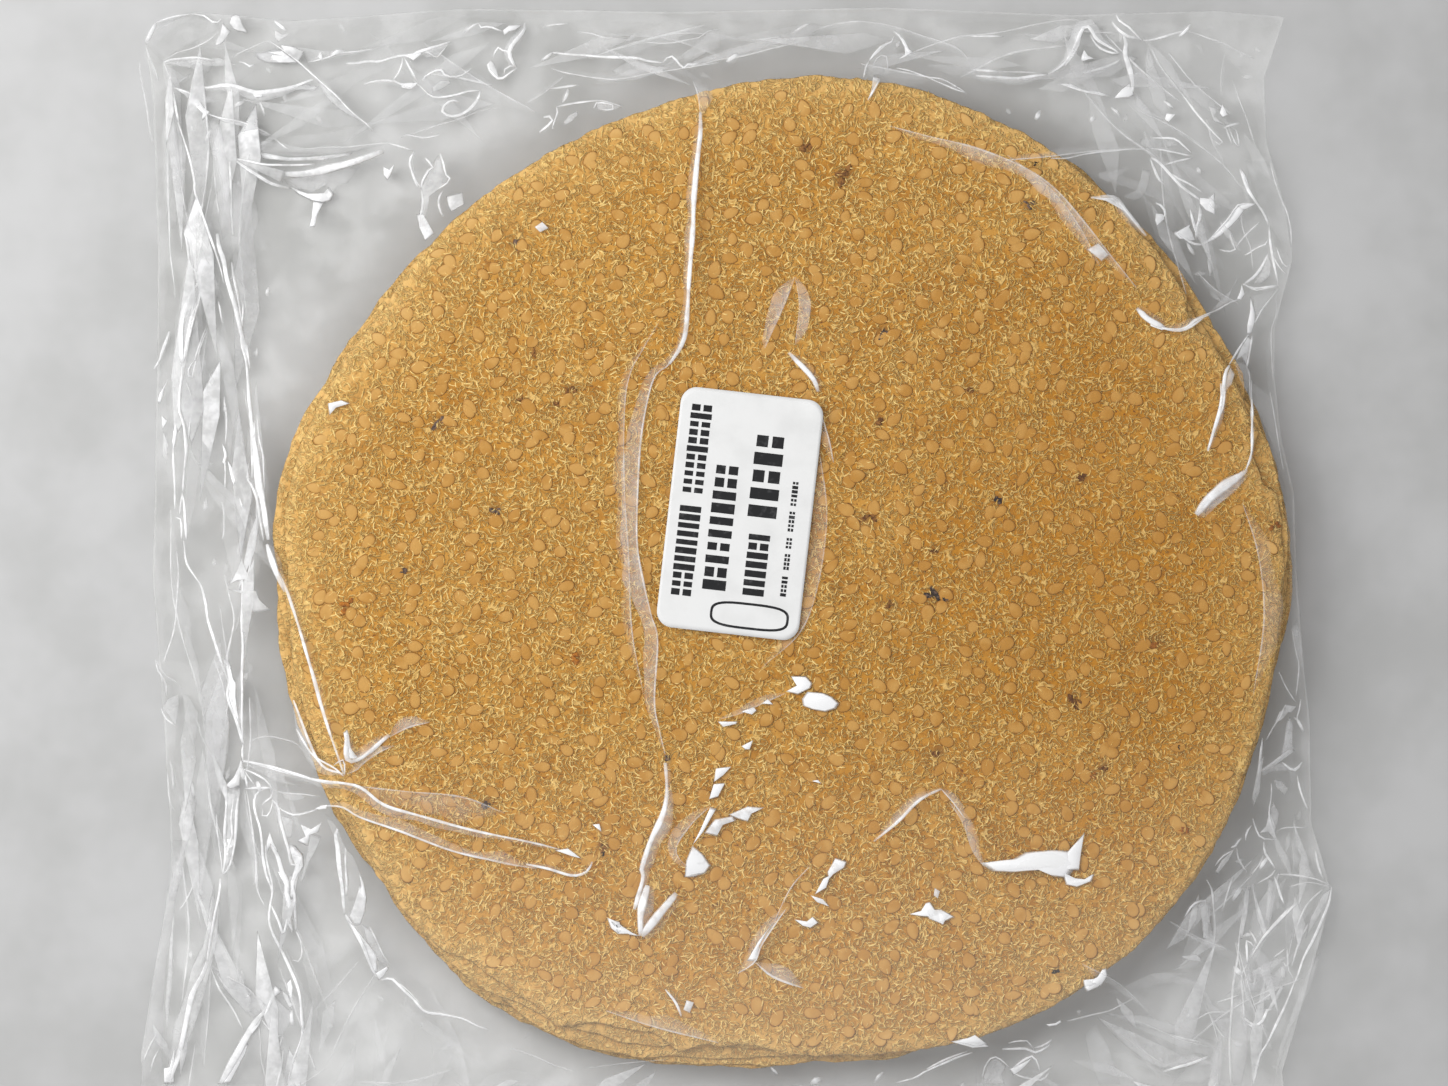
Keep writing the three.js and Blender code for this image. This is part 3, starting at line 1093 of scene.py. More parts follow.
@dataclass(frozen=True)
class GrainFinish:
    """Small things on the dough: seeds, shreds or flakes, each a little different in colour.

    Attributes:
        name: the material's name.
        light: its lightest colour.
        dark: its darkest.
        rim: painted shade where the thing sinks into the dough, by the mesh's mark.
        patch: size of the patches.
        roughness: roughness of the surface.
        relief: depth of the finest grain.
        grain: size of that grain.
        edge: colour near the top sheet's edge, by the mesh's mark: partly the pale edge, partly painted
            light on the lamp's side.
        noise_range: values of the patches' noise between which light turns to dark.
        shares: how dark they are at both ends of that range.
        spot_share: how much darker they are in the deep spot.
    """

    name: str
    light: Colour
    dark: Colour
    rim: Colour
    patch: float = 2.6
    roughness: float = 0.45
    relief: float = 0.05
    grain: float = 0.5
    edge: Colour = (0.66, 0.41, 0.14)
    noise_range: Range = (0.35, 0.65)
    shares: Range = (-0.25, 0.8)
    spot_share: float = 0.8

    def material(self) -> bpy.types.Material:
        """Two colours mixed by patches about as large as the things, and the colours of the marks.

        Returns:
            The material.
        """
        nodes = Nodes(self.name)
        patches = nodes.patches(Patches(self.patch, 1.0, self.noise_range, self.shares))
        share = nodes.plus(patches, nodes.times(nodes.near(*DEEP_SPOT), self.spot_share))
        colour = nodes.blend(share, self.light, self.dark)
        colour = nodes.blend(nodes.mark("edge"), colour, self.edge)
        # Painted shade where the thing sinks into the dough.
        colour = nodes.blend(nodes.mark("rim"), colour, self.rim)
        normal = nodes.bump(nodes.noise(self.grain, 1.0), self.relief)
        return nodes.principled(Base_Color=colour, Roughness=self.roughness, Normal=normal)


@dataclass(frozen=True)
class PlainFinish:
    """A plain surface with faint clouds of a second colour.

    Attributes:
        name: the material's name.
        colour: its colour.
        shade: colour of the clouds.
        clouds: the clouds.
        roughness: roughness of the surface.
        fibre: size and depth of its fibres, if it has any.
    """

    name: str
    colour: Colour
    shade: Colour
    clouds: Patches
    roughness: float = 0.5
    fibre: Range | None = None

    def material(self) -> bpy.types.Material:
        """Two colours mixed by the clouds, with a relief of fibres if there are any.

        Returns:
            The material.
        """
        nodes = Nodes(self.name)
        colour = nodes.blend(nodes.patches(self.clouds), self.colour, self.shade)
        if self.fibre is None:
            return nodes.principled(Base_Color=colour, Roughness=self.roughness)
        size, depth = self.fibre
        normal = nodes.bump(nodes.noise(size, 3.0), depth)
        return nodes.principled(Base_Color=colour, Roughness=self.roughness, Normal=normal)


PAPER = PlainFinish(
    "label_paper", (0.7, 0.7, 0.69), (0.64, 0.64, 0.63), Patches(6.0, 3.0, (0.4, 0.8)), fibre=(0.4, 0.02),
)
INK = PlainFinish("label_ink", (0.012, 0.012, 0.013), (0.05, 0.05, 0.052), Patches(1.2, 3.0, (0.55, 0.8)))
PALE_FLOOR = PlainFinish(
    "pale_floor", (0.47, 0.47, 0.467), (0.4, 0.4, 0.393), Patches(38.0, 4.0, (0.35, 0.68), roughness=0.6),
    roughness=0.6,
)


# The stack


@dataclass
class PapadumStack:
    """Thin round sheets of dough, one on another, each with its own ragged edge.

    Attributes:
        count: number of sheets.
        thickness: thickness of one sheet.
        clearance: how far the top sheet lies below the film.
        bites: where the top sheet falls short of the others, as direction, half width and depth.
        stray_sides: directions near which each lower sheet sticks out a little, and their spread.
        form: the whole stack's form.
        ground: height of the lowest sheet above the floor.
        inset: how far a sheet's edge lies inside the rim.
        lobes: waves of each sheet's own edge, as turns round it and height.
        top_lobes: share of them that the top sheet has.
        lobe_seed: seed of their phases.
        ragged: its ragged line.
        ragged_radius: radius at which that line is worked out.
        stray_width: least and greatest half width of a stray part, in degrees.
        stray_depth: least and greatest distance that it sticks out.
        bump_core: share of a bump's half width over which it is full.
        ripple: ripples of a sheet near its edge.
        ripple_start: how far inside the rim they set in.
        lumps: lumps of the top sheet's face.
        edge_width: width of the pale edge.
        edge_depth: how pale it is.
        edge_grain: its unevenness.
        pale_depth: how pale the wider band inside the edge is.
        pale_width: width of that band.
        shaded_side: direction away from the key lamp, in which the band is least pale, in radians.
        pale_mean: mean strength of the band round the sheet.
        lit_side_swing: how much paler the band is on the lamp's side and less pale on the far side, painted
            light.
        sectors: points round a lower sheet.
        top_cells: cells along each side of the top sheet's grid.
        ring_shares: the lower sheets' rings, as shares of the way out.
        under_rows: the top sheet's rings below, as share of the way out and depth.
        rounding: how fast a lower sheet's edge becomes thick, and its least share of the thickness.
    """

    form: StackForm
    count: int = 16
    thickness: float = 0.5
    clearance: float = 0.5
    ground: float = 0.3
    inset: float = 1.2
    lobes: tuple[tuple[int, float], ...] = ((1, 0.9), (2, 0.5), (3, 0.4), (5, 0.25), (8, 0.2))
    top_lobes: float = 0.25
    lobe_seed: int = 100
    ragged: tuple[Grain, ...] = (Grain(0.3, 1.6, 200), Grain(0.18, 0.5, 300))
    ragged_radius: float = 40.0
    stray_width: Range = (4.0, 15.0)
    stray_depth: Range = (0.6, 2.3)
    bump_core: float = 0.4
    ripple: Grain = Grain(0.16, 9.0, 400)
    ripple_start: float = -12.0
    lumps: tuple[Grain, ...] = (Grain(0.07, 3.4, 11), Grain(0.05, 1.6, 12), Grain(0.03, 0.8, 13))
    edge_width: float = 4.5
    edge_depth: float = 0.5
    edge_grain: Grain = Grain(0.5, 7.0, 500)
    pale_depth: float = 0.42
    pale_width: float = 17.0
    shaded_side: float = -0.35
    pale_mean: float = 0.8
    lit_side_swing: float = 0.2
    sectors: int = 300
    top_cells: int = 260
    ring_shares: tuple[float, ...] = (0.35, 0.7, 0.88, 0.95, 0.975, 0.99, 0.998)
    under_rows: tuple[Range, ...] = ((1.002, 0.25), (0.998, 0.5), (0.95, 0.5), (0.6, 0.5))
    rounding: Range = (60.0, 0.35)
    bites: tuple[tuple[float, float, float], ...] = (
        (236, 9, 2.6), (251, 8, 3.4), (264, 7, 2.0), (214, 8, 1.6), (12, 4, 2.2), (31, 3, 1.6),
        (150, 12, 0.8), (182, 9, 0.7),
    )
    stray_sides: tuple[Range, ...] = ((228, 14), (256, 12), (272, 9), (190, 25), (20, 18))

    def pitch(self) -> float:
        """Height from one sheet to the next."""
        return (self.form.height - self.clearance - self.thickness - self.ground) / (self.count - 1)

    def edge_radius(self, angle: np.ndarray, number: int) -> np.ndarray:
        """Radius of a sheet's edge: the stack's rim, less an inset, lobes of its own and a ragged line.

        Args:
            angle: directions from the middle.
            number: the sheet's place in the stack, from 0 at the bottom.

        Returns:
            The radii. Lobes only take away from a lower sheet, and its stray parts stick out.
        """
        rng = np.random.default_rng(self.lobe_seed + number)
        lobes = sum(size * np.cos(turns * angle + rng.uniform(0, FULL_TURN)) for turns, size in self.lobes)
        x, y = self.ragged_radius * np.cos(angle), self.ragged_radius * np.sin(angle)
        ragged = sum(grain.at(x, y, number) for grain in self.ragged)
        edge = self.form.rim(angle) - self.inset
        if number == self.count - 1:
            return edge + self.top_lobes * lobes + ragged - self.bumps(angle, self.bites)
        strays = tuple(
            (rng.normal(middle, spread), rng.uniform(*self.stray_width), rng.uniform(*self.stray_depth))
            for middle, spread in self.stray_sides
        )
        low = (lobes - np.abs(lobes)) / 2
        return edge + low + ragged + self.bumps(angle, strays)

    def bumps(self, angle: np.ndarray, stretches: tuple[tuple[float, float, float], ...]) -> np.ndarray:
        """Largest of several smooth bumps.

        Args:
            angle: directions from the middle.
            stretches: each bump's direction and half width in degrees, and its height.

        Returns:
            The height in each direction.
        """
        height = np.zeros(angle.shape)
        for direction, half_width, size in stretches:
            away = np.degrees(np.abs(np.angle(np.exp(1j * (angle - math.radians(direction))))))
            height = np.maximum(height, size * ease(half_width, self.bump_core * half_width, away))
        return height

    def level(self, x: np.ndarray, y: np.ndarray, number: int) -> np.ndarray:
        """Height of a sheet's upper face: its share of the stack's top form, with ripples at the edge.

        Args:
            x: places across.
            y: places up.
            number: the sheet's place in the stack, from 0 at the bottom.

        Returns:
            The heights.
        """
        angle = np.arctan2(y, x)
        outside = np.hypot(x, y) - self.form.rim(angle)
        share = number / (self.count - 1)
        flat = self.ground + self.thickness + number * self.pitch()
        form = self.form.swell(x, y) - self.form.droop(outside + self.inset)
        ripple = self.ripple.at(x, y, number) * ease(self.ripple_start, 0, outside)
        return flat + share * form + ripple

    def relief(self, x: np.ndarray, y: np.ndarray) -> np.ndarray:
        """Lumpy surface of the dough: noise of three sizes."""
        return sum(grain.at(x, y) for grain in self.lumps)

    def top_height(self, x: np.ndarray, y: np.ndarray) -> np.ndarray:
        """Height of the top sheet's upper face with its lumps."""
        return self.level(x, y, self.count - 1) + self.relief(x, y)

    def pale_edge_and_light_mark(self, x: np.ndarray, y: np.ndarray, number: int) -> np.ndarray:
        """How pale a sheet is near its edge, easing to 0 further in; the wider band is paler towards the
        lamp, which is painted light.

        Args:
            x: places across.
            y: places up.
            number: the sheet's place in the stack, from 0 at the bottom.

        Returns:
            Shares between 0 and 1.
        """
        angle = np.arctan2(y, x)
        inside = self.edge_radius(angle, number) - np.hypot(x, y)
        uneven = self.edge_width * (1 + self.edge_grain.at(x, y, number))
        # Painted light: the wider pale band is stronger on the key lamp's side.
        side = self.pale_mean - self.lit_side_swing * np.cos(angle - self.shaded_side)
        paler = self.pale_depth * ease(self.pale_width, 0, inside) * side
        return np.clip(self.edge_depth * ease(1, 0, inside / uneven) + paler, 0, 1)

    def plain_sheet(self, number: int, finish: bpy.types.Material) -> bpy.types.Object:
        """One sheet under the top one.

        Args:
            number: its place in the stack, from 0 at the bottom.
            finish: the dough's material.

        Returns:
            A closed disc: rings from the middle out over the upper face and back under the lower one.
        """
        shell = Shell()
        angle = np.linspace(0, FULL_TURN, self.sectors, endpoint=False)
        radius = self.edge_radius(angle, number)
        half = self.thickness / 2
        rows = [(share, half) for share in self.ring_shares] + [(1.0, 0.0)]
        rows += [(share, -half) for share in reversed(self.ring_shares)]
        slope, least = self.rounding
        rings = []
        for share, rise in rows:
            x, y = radius * share * np.cos(angle), radius * share * np.sin(angle)
            height = self.level(x, y, number) - half + rise * min(1.0, (1 - share) * slope + least)
            rings.append(shell.add(np.stack([x, y, height], axis=1)))
        for inner, outer in zip(rings[:-1], rings[1:]):
            shell.band(inner, outer)
        middle = self.level(np.zeros(1), np.zeros(1), number)[0]
        tips = shell.add(np.array([[0, 0, middle], [0, 0, middle - self.thickness]]))
        shell.fan(rings[0], tips[0])
        shell.fan(rings[-1][::-1], tips[1])
        points = np.concatenate(shell.points)
        shell.marks["edge"] = self.pale_edge_and_light_mark(points[:, 0], points[:, 1], number)
        return shell.build(f"papadum_{number + 1:02d}", finish)

    def top_sheet(self, finish: bpy.types.Material, toppings: "Toppings") -> bpy.types.Object:
        """The sheet on top, its upper face a fine grid with lumps, seed beds and stains.

        Args:
            finish: the dough's material.
            toppings: what lies on it, for the marks round seeds and flakes.

        Returns:
            A closed disc.
        """
        shell = Shell()
        out, around, numbers = square_grid(self.top_cells)
        angle = (around - 0.5) * FULL_TURN / 4
        radius = self.edge_radius(angle, self.count - 1) * out
        x, y = radius * np.cos(angle), radius * np.sin(angle)
        shell.add(np.stack([x, y, self.top_height(x, y)], axis=1))
        shell.quads(numbers[:-1, :-1], numbers[:-1, 1:], numbers[1:, 1:], numbers[1:, :-1])
        ring = square_border(numbers)
        angle = angle[ring]
        radius = self.edge_radius(angle, self.count - 1)
        for share, drop in self.under_rows:
            x, y = radius * share * np.cos(angle), radius * share * np.sin(angle)
            height = self.level(x, y, self.count - 1) - drop
            below = shell.add(np.stack([x, y, height], axis=1))
            shell.band(ring, below)
            ring = below
        middle = self.level(np.zeros(1), np.zeros(1), self.count - 1)[0] - self.thickness
        shell.fan(ring[::-1], shell.add(np.array([[0, 0, middle]])))
        points = np.concatenate(shell.points)
        x, y = points[:, 0], points[:, 1]
        shell.marks["edge"] = self.pale_edge_and_light_mark(x, y, self.count - 1)
        shell.marks["stain"] = toppings.stain(x, y)
        return shell.build(f"papadum_{self.count:02d}", finish)

    def build(self, finish: bpy.types.Material, toppings: "Toppings") -> list[bpy.types.Object]:
        """All the sheets, from the bottom up.

        Args:
            finish: the dough's material.
            toppings: what lies on the top sheet.

        Returns:
            The pieces.
        """
        sheets = [self.plain_sheet(number, finish) for number in range(self.count - 1)]
        sheets.append(self.top_sheet(finish, toppings))
        return [ride(sheet) for sheet in sheets]


class FlakeKind(Enum):
    """Kinds of spice flake in the dough."""

    DARK = "dark"
    BROWN = "brown"
    ORANGE = "orange"
    BLACK = "black"


@dataclass(frozen=True)
class Flake:
    """One flake.

    Attributes:
        kind: its kind.
        x: its place across.
        y: its place up.
        length: half its length.
        width: half its width.
        turn: its turn in degrees.
    """

    kind: FlakeKind
    x: float
    y: float
    length: float
    width: float
    turn: float = 0.0


FLAKES = (
    Flake(FlakeKind.DARK, 28.6, -5.6, 2.2, 1.1, -35), Flake(FlakeKind.DARK, 18.9, 43.4, 1.9, 0.7, 20),
    Flake(FlakeKind.DARK, -49.6, 60.2, 1.3, 0.9, -60), Flake(FlakeKind.DARK, -64.3, 26.9, 1.5, 0.9, 40),
    Flake(FlakeKind.DARK, -53.9, 10.8, 1.1, 0.8, -20), Flake(FlakeKind.DARK, -55.5, -43.8, 1.2, 1.3, 80),
    Flake(FlakeKind.DARK, -71.2, -0.6, 1.0, 0.6, 10), Flake(FlakeKind.DARK, 46.2, 67.9, 1.1, 0.8, -30),
    Flake(FlakeKind.DARK, 40.2, 12.5, 1.0, 0.8, 15), Flake(FlakeKind.DARK, -21.7, -35.7, 0.8, 0.5, 0),
    Flake(FlakeKind.BROWN, 11.6, 73.3, 1.8, 1.3, 30), Flake(FlakeKind.BROWN, 4.5, 78.4, 1.4, 0.9, -20),
    Flake(FlakeKind.BROWN, 56.1, 16.8, 1.2, 0.9, 60), Flake(FlakeKind.BROWN, 15.9, 9.0, 1.5, 1.0, 10),
    Flake(FlakeKind.BROWN, 54.6, -24.7, 1.6, 1.1, -50), Flake(FlakeKind.BROWN, 29.2, -34.6, 1.2, 1.0, 30),
    Flake(FlakeKind.BROWN, 59.8, -37.4, 1.1, 0.6, 0), Flake(FlakeKind.BROWN, -33.7, -52.4, 1.1, 0.8, 70),
    Flake(FlakeKind.BROWN, 35.0, 33.1, 0.9, 0.6, 20), Flake(FlakeKind.BROWN, 18.0, 27.3, 0.9, 0.7, -40),
    Flake(FlakeKind.BROWN, 28.2, 3.0, 0.8, 0.6, 0), Flake(FlakeKind.BROWN, 20.0, -7.0, 0.9, 0.6, 50),
    Flake(FlakeKind.BROWN, -39.8, 33.3, 1.1, 0.8, 10), Flake(FlakeKind.BROWN, -42.1, 30.5, 0.8, 0.6, 0),
    Flake(FlakeKind.BROWN, -46.4, 40.2, 0.9, 0.5, 70), Flake(FlakeKind.BROWN, -49.4, 31.4, 0.8, 0.6, 30),
    Flake(FlakeKind.ORANGE, -81.5, -7.3, 1.4, 1.1, 20), Flake(FlakeKind.ORANGE, -38.7, -17.0, 1.3, 0.9, 60),
    Flake(FlakeKind.ORANGE, 75.0, -49.2, 1.2, 0.9, 0), Flake(FlakeKind.ORANGE, 92.0, 7.5, 1.1, 0.8, 30),
    Flake(FlakeKind.ORANGE, 57.6, -38.7, 1.0, 0.8, -20), Flake(FlakeKind.ORANGE, 70.0, -14.0, 1.5, 1.0, 45),
    Flake(FlakeKind.BLACK, 47.5, 75.5, 0.5, 0.4, 0), Flake(FlakeKind.BLACK, 74.2, -33.7, 0.5, 0.4, 40),
    Flake(FlakeKind.BLACK, 51.1, -75.7, 0.9, 0.5, 20), Flake(FlakeKind.BLACK, -84.3, -5.4, 0.4, 0.3, 0),
    Flake(FlakeKind.BLACK, -33.7, -53.7, 0.5, 0.35, 80),
)


@dataclass
class Toppings:
    """What lies in the top sheet's face: sesame seeds, curled shreds of dough and spice flakes.

    Attributes:
        stack: the stack that they lie on.
        past_rim: how far past the mean rim the grid of places reaches.
        lump_seed: seed of the lumps' roughness.
        seed_draw: seed of the sesame's places and sizes.
        seed_spacing: distance from seed to seed.
        seed_inset: how far inside the sheet's edge they stay.
        seed_length: length of a seed.
        seed_width: its width.
        seed_lengths: least and greatest length, as shares of it.
        seed_widths: the same of the width.
        seed_heights: the same of the height that shows.
        seed_showing: that height.
        seed_lift: height of a seed's foot above the dough's middle level.
        seed_sectors: points round a seed.
        seed_fullness: how full its sides are.
        seed_taper: how pointed its tip is.
        seed_rows: its rings, as share of the way out, share of the height, and mark of the painted shade at
            the foot.
        clear_share: share of a seed's half width that stays free of shreds.
        shred_draw: seed of the shreds' places and sizes.
        shred_spacing: distance from shred to shred.
        shred_inset: how far inside the sheet's edge they stay.
        shred_length: length of a shred.
        shred_width: its width.
        shred_height: its height.
        shred_lengths: least and greatest length, as shares of it.
        shred_sides: the same of the width.
        shred_heights: the same of the height.
        shred_curl: greatest angle that it bends through, in radians.
        shred_steps: places of its sections, as shares of its length.
        shred_bow: what centres the bent shred on its place.
        shred_foot: height of its lower edges.
        shred_tip: height of its tips.
        stain_reach: how far a stain reaches past its flake.
        stain_strength: strength of the stain round a black flake, and round any other.
        stain_core: share of a flake's half length over which its stain is full.
        crumbs: crumbs of a flake.
        crumb_draw: seed of the crumbs' places and sizes.
        crumb_spread: how far out their middles lie, as a share of the flake's half sizes.
        crumb_lengths: least and greatest half length, as shares of the flake's.
        crumb_widths: the same of the half width.
        crumb_heights: least and greatest half height.
        crumb_turn: how far they turn from the flake's own direction, in radians.
        crumb_grid: steps along a crumb and round it.
        crumb_roughness: how rough they are.
    """

    stack: PapadumStack
    past_rim: float = 9.0
    lump_seed: int = 77
    seed_draw: int = 21
    seed_spacing: float = 5.2
    seed_inset: float = 1.9
    seed_length: float = 3.2
    seed_width: float = 2.4
    seed_lengths: Range = (0.75, 1.15)
    seed_widths: Range = (0.75, 1.1)
    seed_heights: Range = (0.5, 1.25)
    seed_showing: float = 0.11
    seed_lift: float = 0.03
    seed_sectors: int = 14
    seed_fullness: float = 1.12
    seed_taper: float = 0.4
    seed_rows: tuple[tuple[float, float, float], ...] = (
        (0.0, 1.0, 0.0), (0.5, 0.95, 0.0), (0.82, 0.72, 0.12), (0.94, 0.4, 0.75), (1.04, 0.0, 1.0),
        (0.0, -2.0, 1.0),
    )
    clear_share: float = 0.55
    shred_draw: int = 31
    shred_spacing: float = 1.32
    shred_inset: float = 0.6
    shred_length: float = 1.8
    shred_width: float = 0.36
    shred_height: float = 0.22
    shred_lengths: Range = (0.5, 1.5)
    shred_sides: Range = (0.7, 1.3)
    shred_heights: Range = (0.5, 1.3)
    shred_curl: float = 1.7
    shred_steps: tuple[float, ...] = (-0.5, -0.17, 0.17, 0.5)
    shred_bow: float = 0.08
    shred_foot: float = -0.12
    shred_tip: float = -0.05
    # haze: how much whiter than usual its facets are, as painted highlight.
    stain_reach: float = 0.9
    stain_strength: Range = (0.3, 0.6)
    stain_core: float = 0.3
    crumbs: int = 5
    crumb_draw: int = 61
    crumb_spread: float = 0.75
    crumb_lengths: Range = (0.3, 0.6)
    crumb_widths: Range = (0.25, 0.5)
    crumb_heights: Range = (0.08, 0.17)
    crumb_turn: float = 0.7
    crumb_grid: tuple[int, int] = (7, 12)
    crumb_roughness: float = 0.3

    def scatter(self, spacing: float, inset: float, seed: int) -> tuple[np.ndarray, np.random.Generator]:
        """Places all over the top sheet: a square grid, each point shaken within its cell.

        Args:
            spacing: side of a cell.
            inset: how far inside the sheet's edge the places stay.
            seed: seed of the shaking.

        Returns:
            The places, and the generator for further draws.
        """
        rng = np.random.default_rng(seed)
        half = self.stack.form.radius + self.past_rim
        line = np.arange(-half, half, spacing)
        x, y = (side.ravel() for side in np.meshgrid(line, line))
        x = x + rng.uniform(-0.5, 0.5, x.shape) * spacing
        y = y + rng.uniform(-0.5, 0.5, y.shape) * spacing
        edge = self.stack.edge_radius(np.arctan2(y, x), self.stack.count - 1)
        kept = np.hypot(x, y) < edge - inset
        return np.stack([x[kept], y[kept]], axis=1), rng

    def lumps(self, places: np.ndarray, sizes: np.ndarray, turns: np.ndarray, grid: tuple[int, int],
              rough: float) -> Shell:
        """Rough lumps, all in one shell.

        A lump is an ellipsoid about its length: at angle u from its tip and v round its length the point
        is (cos u, sin u cos v, sin u sin v) times the half sizes, each pushed in or out a little.

        Args:
            places: middle of each lump, on the sheet's face.
            sizes: half length, half width and half height of each.
            turns: turn of each, in radians.
            grid: steps along the length and round it.
            rough: share by which each vertex is pushed in or out.

        Returns:
            The closed surfaces.
        """
        along_count, round_count = grid
        along = np.linspace(0, math.pi, along_count + 1)[1:-1, None]
        around = np.linspace(0, FULL_TURN, round_count, endpoint=False)[None, :]
        a = np.broadcast_to(np.cos(along), (along_count - 1, round_count)).ravel()
        b = (np.sin(along) * np.cos(around)).ravel()
        c = (np.sin(along) * np.sin(around)).ravel()
        a, b, c = (np.concatenate([axis, ends]) for axis, ends in ((a, [1, -1]), (b, [0, 0]), (c, [0, 0])))
        push = 1 + rough * np.random.default_rng(self.lump_seed).uniform(-1, 1, (len(places), len(a)))
        local_x = sizes[:, :1] * a * push
        local_y = sizes[:, 1:2] * b * push
        cos, sin = np.cos(turns)[:, None], np.sin(turns)[:, None]
        x = places[:, :1] + local_x * cos - local_y * sin
        y = places[:, 1:] + local_x * sin + local_y * cos
        ground = self.stack.top_height(places[:, 0], places[:, 1])
        z = ground[:, None] + sizes[:, 2:3] * c * push
        shell = Shell()
        numbers = shell.add(np.stack([x, y, z], axis=2).reshape(-1, 3)).reshape(len(places), -1)
        rings = numbers[:, :-2].reshape(len(places), along_count - 1, round_count)
        following = np.roll(rings, -1, axis=2)
        shell.quads(rings[:, :-1], following[:, :-1], following[:, 1:], rings[:, 1:])
        tip = np.broadcast_to(numbers[:, -2:-1], (len(places), round_count))
        tail = np.broadcast_to(numbers[:, -1:], (len(places), round_count))
        shell.quads(tip, following[:, 0], rings[:, 0])
        shell.quads(rings[:, -1], following[:, -1], tail)
        return shell

    def seed_beds(self) -> tuple[np.ndarray, np.ndarray, np.ndarray, np.random.Generator]:
        """Where the seeds lie.

        Returns:
            Their places, half sizes and turns, and the generator for further draws.
        """
        places, rng = self.scatter(self.seed_spacing, self.seed_inset, self.seed_draw)
        count = len(places)
        length = self.seed_length / 2 * rng.uniform(*self.seed_lengths, count)
        width = self.seed_width / 2 * rng.uniform(*self.seed_widths, count)
        return places, np.stack([length, width], axis=1), rng.uniform(0, FULL_TURN, count), rng

    def seeds(self, finish: bpy.types.Material) -> bpy.types.Object:
        """Sesame seeds sunk in the dough: low flat-topped teardrops with a foot darkened by painted shade.

        Round a seed, at angle t from its tip, the outline is cos t along it and, across it, sin t times a
        power of sin t/2, times its half sizes. Rings of that outline step down from the top to the foot.

        Args:
            finish: the seeds' material.

        Returns:
            The seeds in one mesh, with marks for the painted shade at their foot and for the sheet's edge.
        """
        places, sizes, turns, rng = self.seed_beds()
        angle = np.linspace(0, FULL_TURN, self.seed_sectors, endpoint=False)
        out_x = np.cos(angle)
        out_y = self.seed_fullness * np.sin(angle) * np.sin(angle / 2) ** self.seed_taper
        showing = self.seed_showing * rng.uniform(*self.seed_heights, len(places))
        ground = self.stack.top_height(places[:, 0], places[:, 1])
        cos, sin = np.cos(turns)[:, None], np.sin(turns)[:, None]
        shell = Shell()
        marks = []
        rings = []
        for share, rise, rim in self.seed_rows:
            local_x = sizes[:, :1] * out_x * share
            local_y = sizes[:, 1:] * out_y * share
            x = places[:, :1] + local_x * cos - local_y * sin
            y = places[:, 1:] + local_x * sin + local_y * cos
            z = np.broadcast_to((ground + showing * rise + self.seed_lift)[:, None], x.shape)
            if share == 0.0:
                x, y, z = x[:, :1], y[:, :1], z[:, :1]
            rings.append(shell.add(np.stack([x, y, z], axis=2).reshape(-1, 3)).reshape(len(places), -1))
            marks.append(np.full(x.size, rim))
        top, *between, bottom = rings
        for inner, outer in zip(between[:-1], between[1:]):
            shell.quads(inner, outer, np.roll(outer, -1, axis=1), np.roll(inner, -1, axis=1))
        first, last = between[0], between[-1]
        shell.quads(first, np.roll(first, -1, axis=1), np.broadcast_to(top, first.shape))
        shell.quads(np.roll(last, -1, axis=1), last, np.broadcast_to(bottom, last.shape))
        # The rim mark paints shade at each seed's foot.
        shell.marks["rim"] = np.concatenate(marks)
        points = np.concatenate(shell.points)
        shell.marks["edge"] = self.stack.pale_edge_and_light_mark(points[:, 0], points[:, 1], self.stack.count - 1)
        return ride(shell.build("sesame_seeds", finish))

    def clear_of_seeds(self, places: np.ndarray) -> np.ndarray:
        """Whether each place lies off the seeds' middles, worked out in several parts to save memory.

        Args:
            places: the places.

        Returns:
            True for a place that is free.
        """
        parts = 8
        beds, sizes, _, _ = self.seed_beds()
        reach = (self.clear_share * sizes[:, 1]).astype(np.float32) ** 2
        clear = np.ones(len(places), bool)
        for part in np.array_split(np.arange(len(places)), parts):
            away = places[part, None, :].astype(np.float32) - beds[None, :, :].astype(np.float32)
            clear[part] = np.all((away**2).sum(axis=2) > reach, axis=1)
        return clear

    def shreds(self, finish: bpy.types.Material) -> bpy.types.Object:
        """Curled shreds of dough: three-sided prisms bent along an arc, pointed at both ends.

        Args:
            finish: the shreds' material.

        Returns:
            The shreds in one mesh.
        """
        places, rng = self.scatter(self.shred_spacing, self.shred_inset, self.shred_draw)
        places = places[self.clear_of_seeds(places)]
        count = len(places)
        length = self.shred_length * rng.uniform(*self.shred_lengths, count)
        curl = rng.uniform(-self.shred_curl, self.shred_curl, count)
        width = self.shred_width / 2 * rng.uniform(*self.shred_sides, count)
        height = self.shred_height * rng.uniform(*self.shred_heights, count)
        heading = rng.uniform(0, FULL_TURN, count)
        steps = np.array(self.shred_steps)
        bend = steps[None, :] * curl[:, None]
        sideways = length[:, None] * curl[:, None] * (steps[None, :] ** 2 - self.shred_bow)
        forward = length[:, None] * steps[None, :]
        cos, sin = np.cos(heading)[:, None], np.sin(heading)[:, None]
        line_x = places[:, :1] + forward * cos - sideways * sin
        line_y = places[:, 1:] + forward * sin + sideways * cos
        across_x, across_y = -np.sin(heading[:, None] + 2 * bend), np.cos(heading[:, None] + 2 * bend)
        ground = self.stack.top_height(places[:, 0], places[:, 1])[:, None]
        full = np.array([0.0, 1.0, 1.0, 0.0])[None, :]
        shell = Shell()
        rows = []
        for side, lift in ((-1, self.shred_foot), (0, 1.0), (1, self.shred_foot)):
            x = line_x + side * width[:, None] * across_x * full
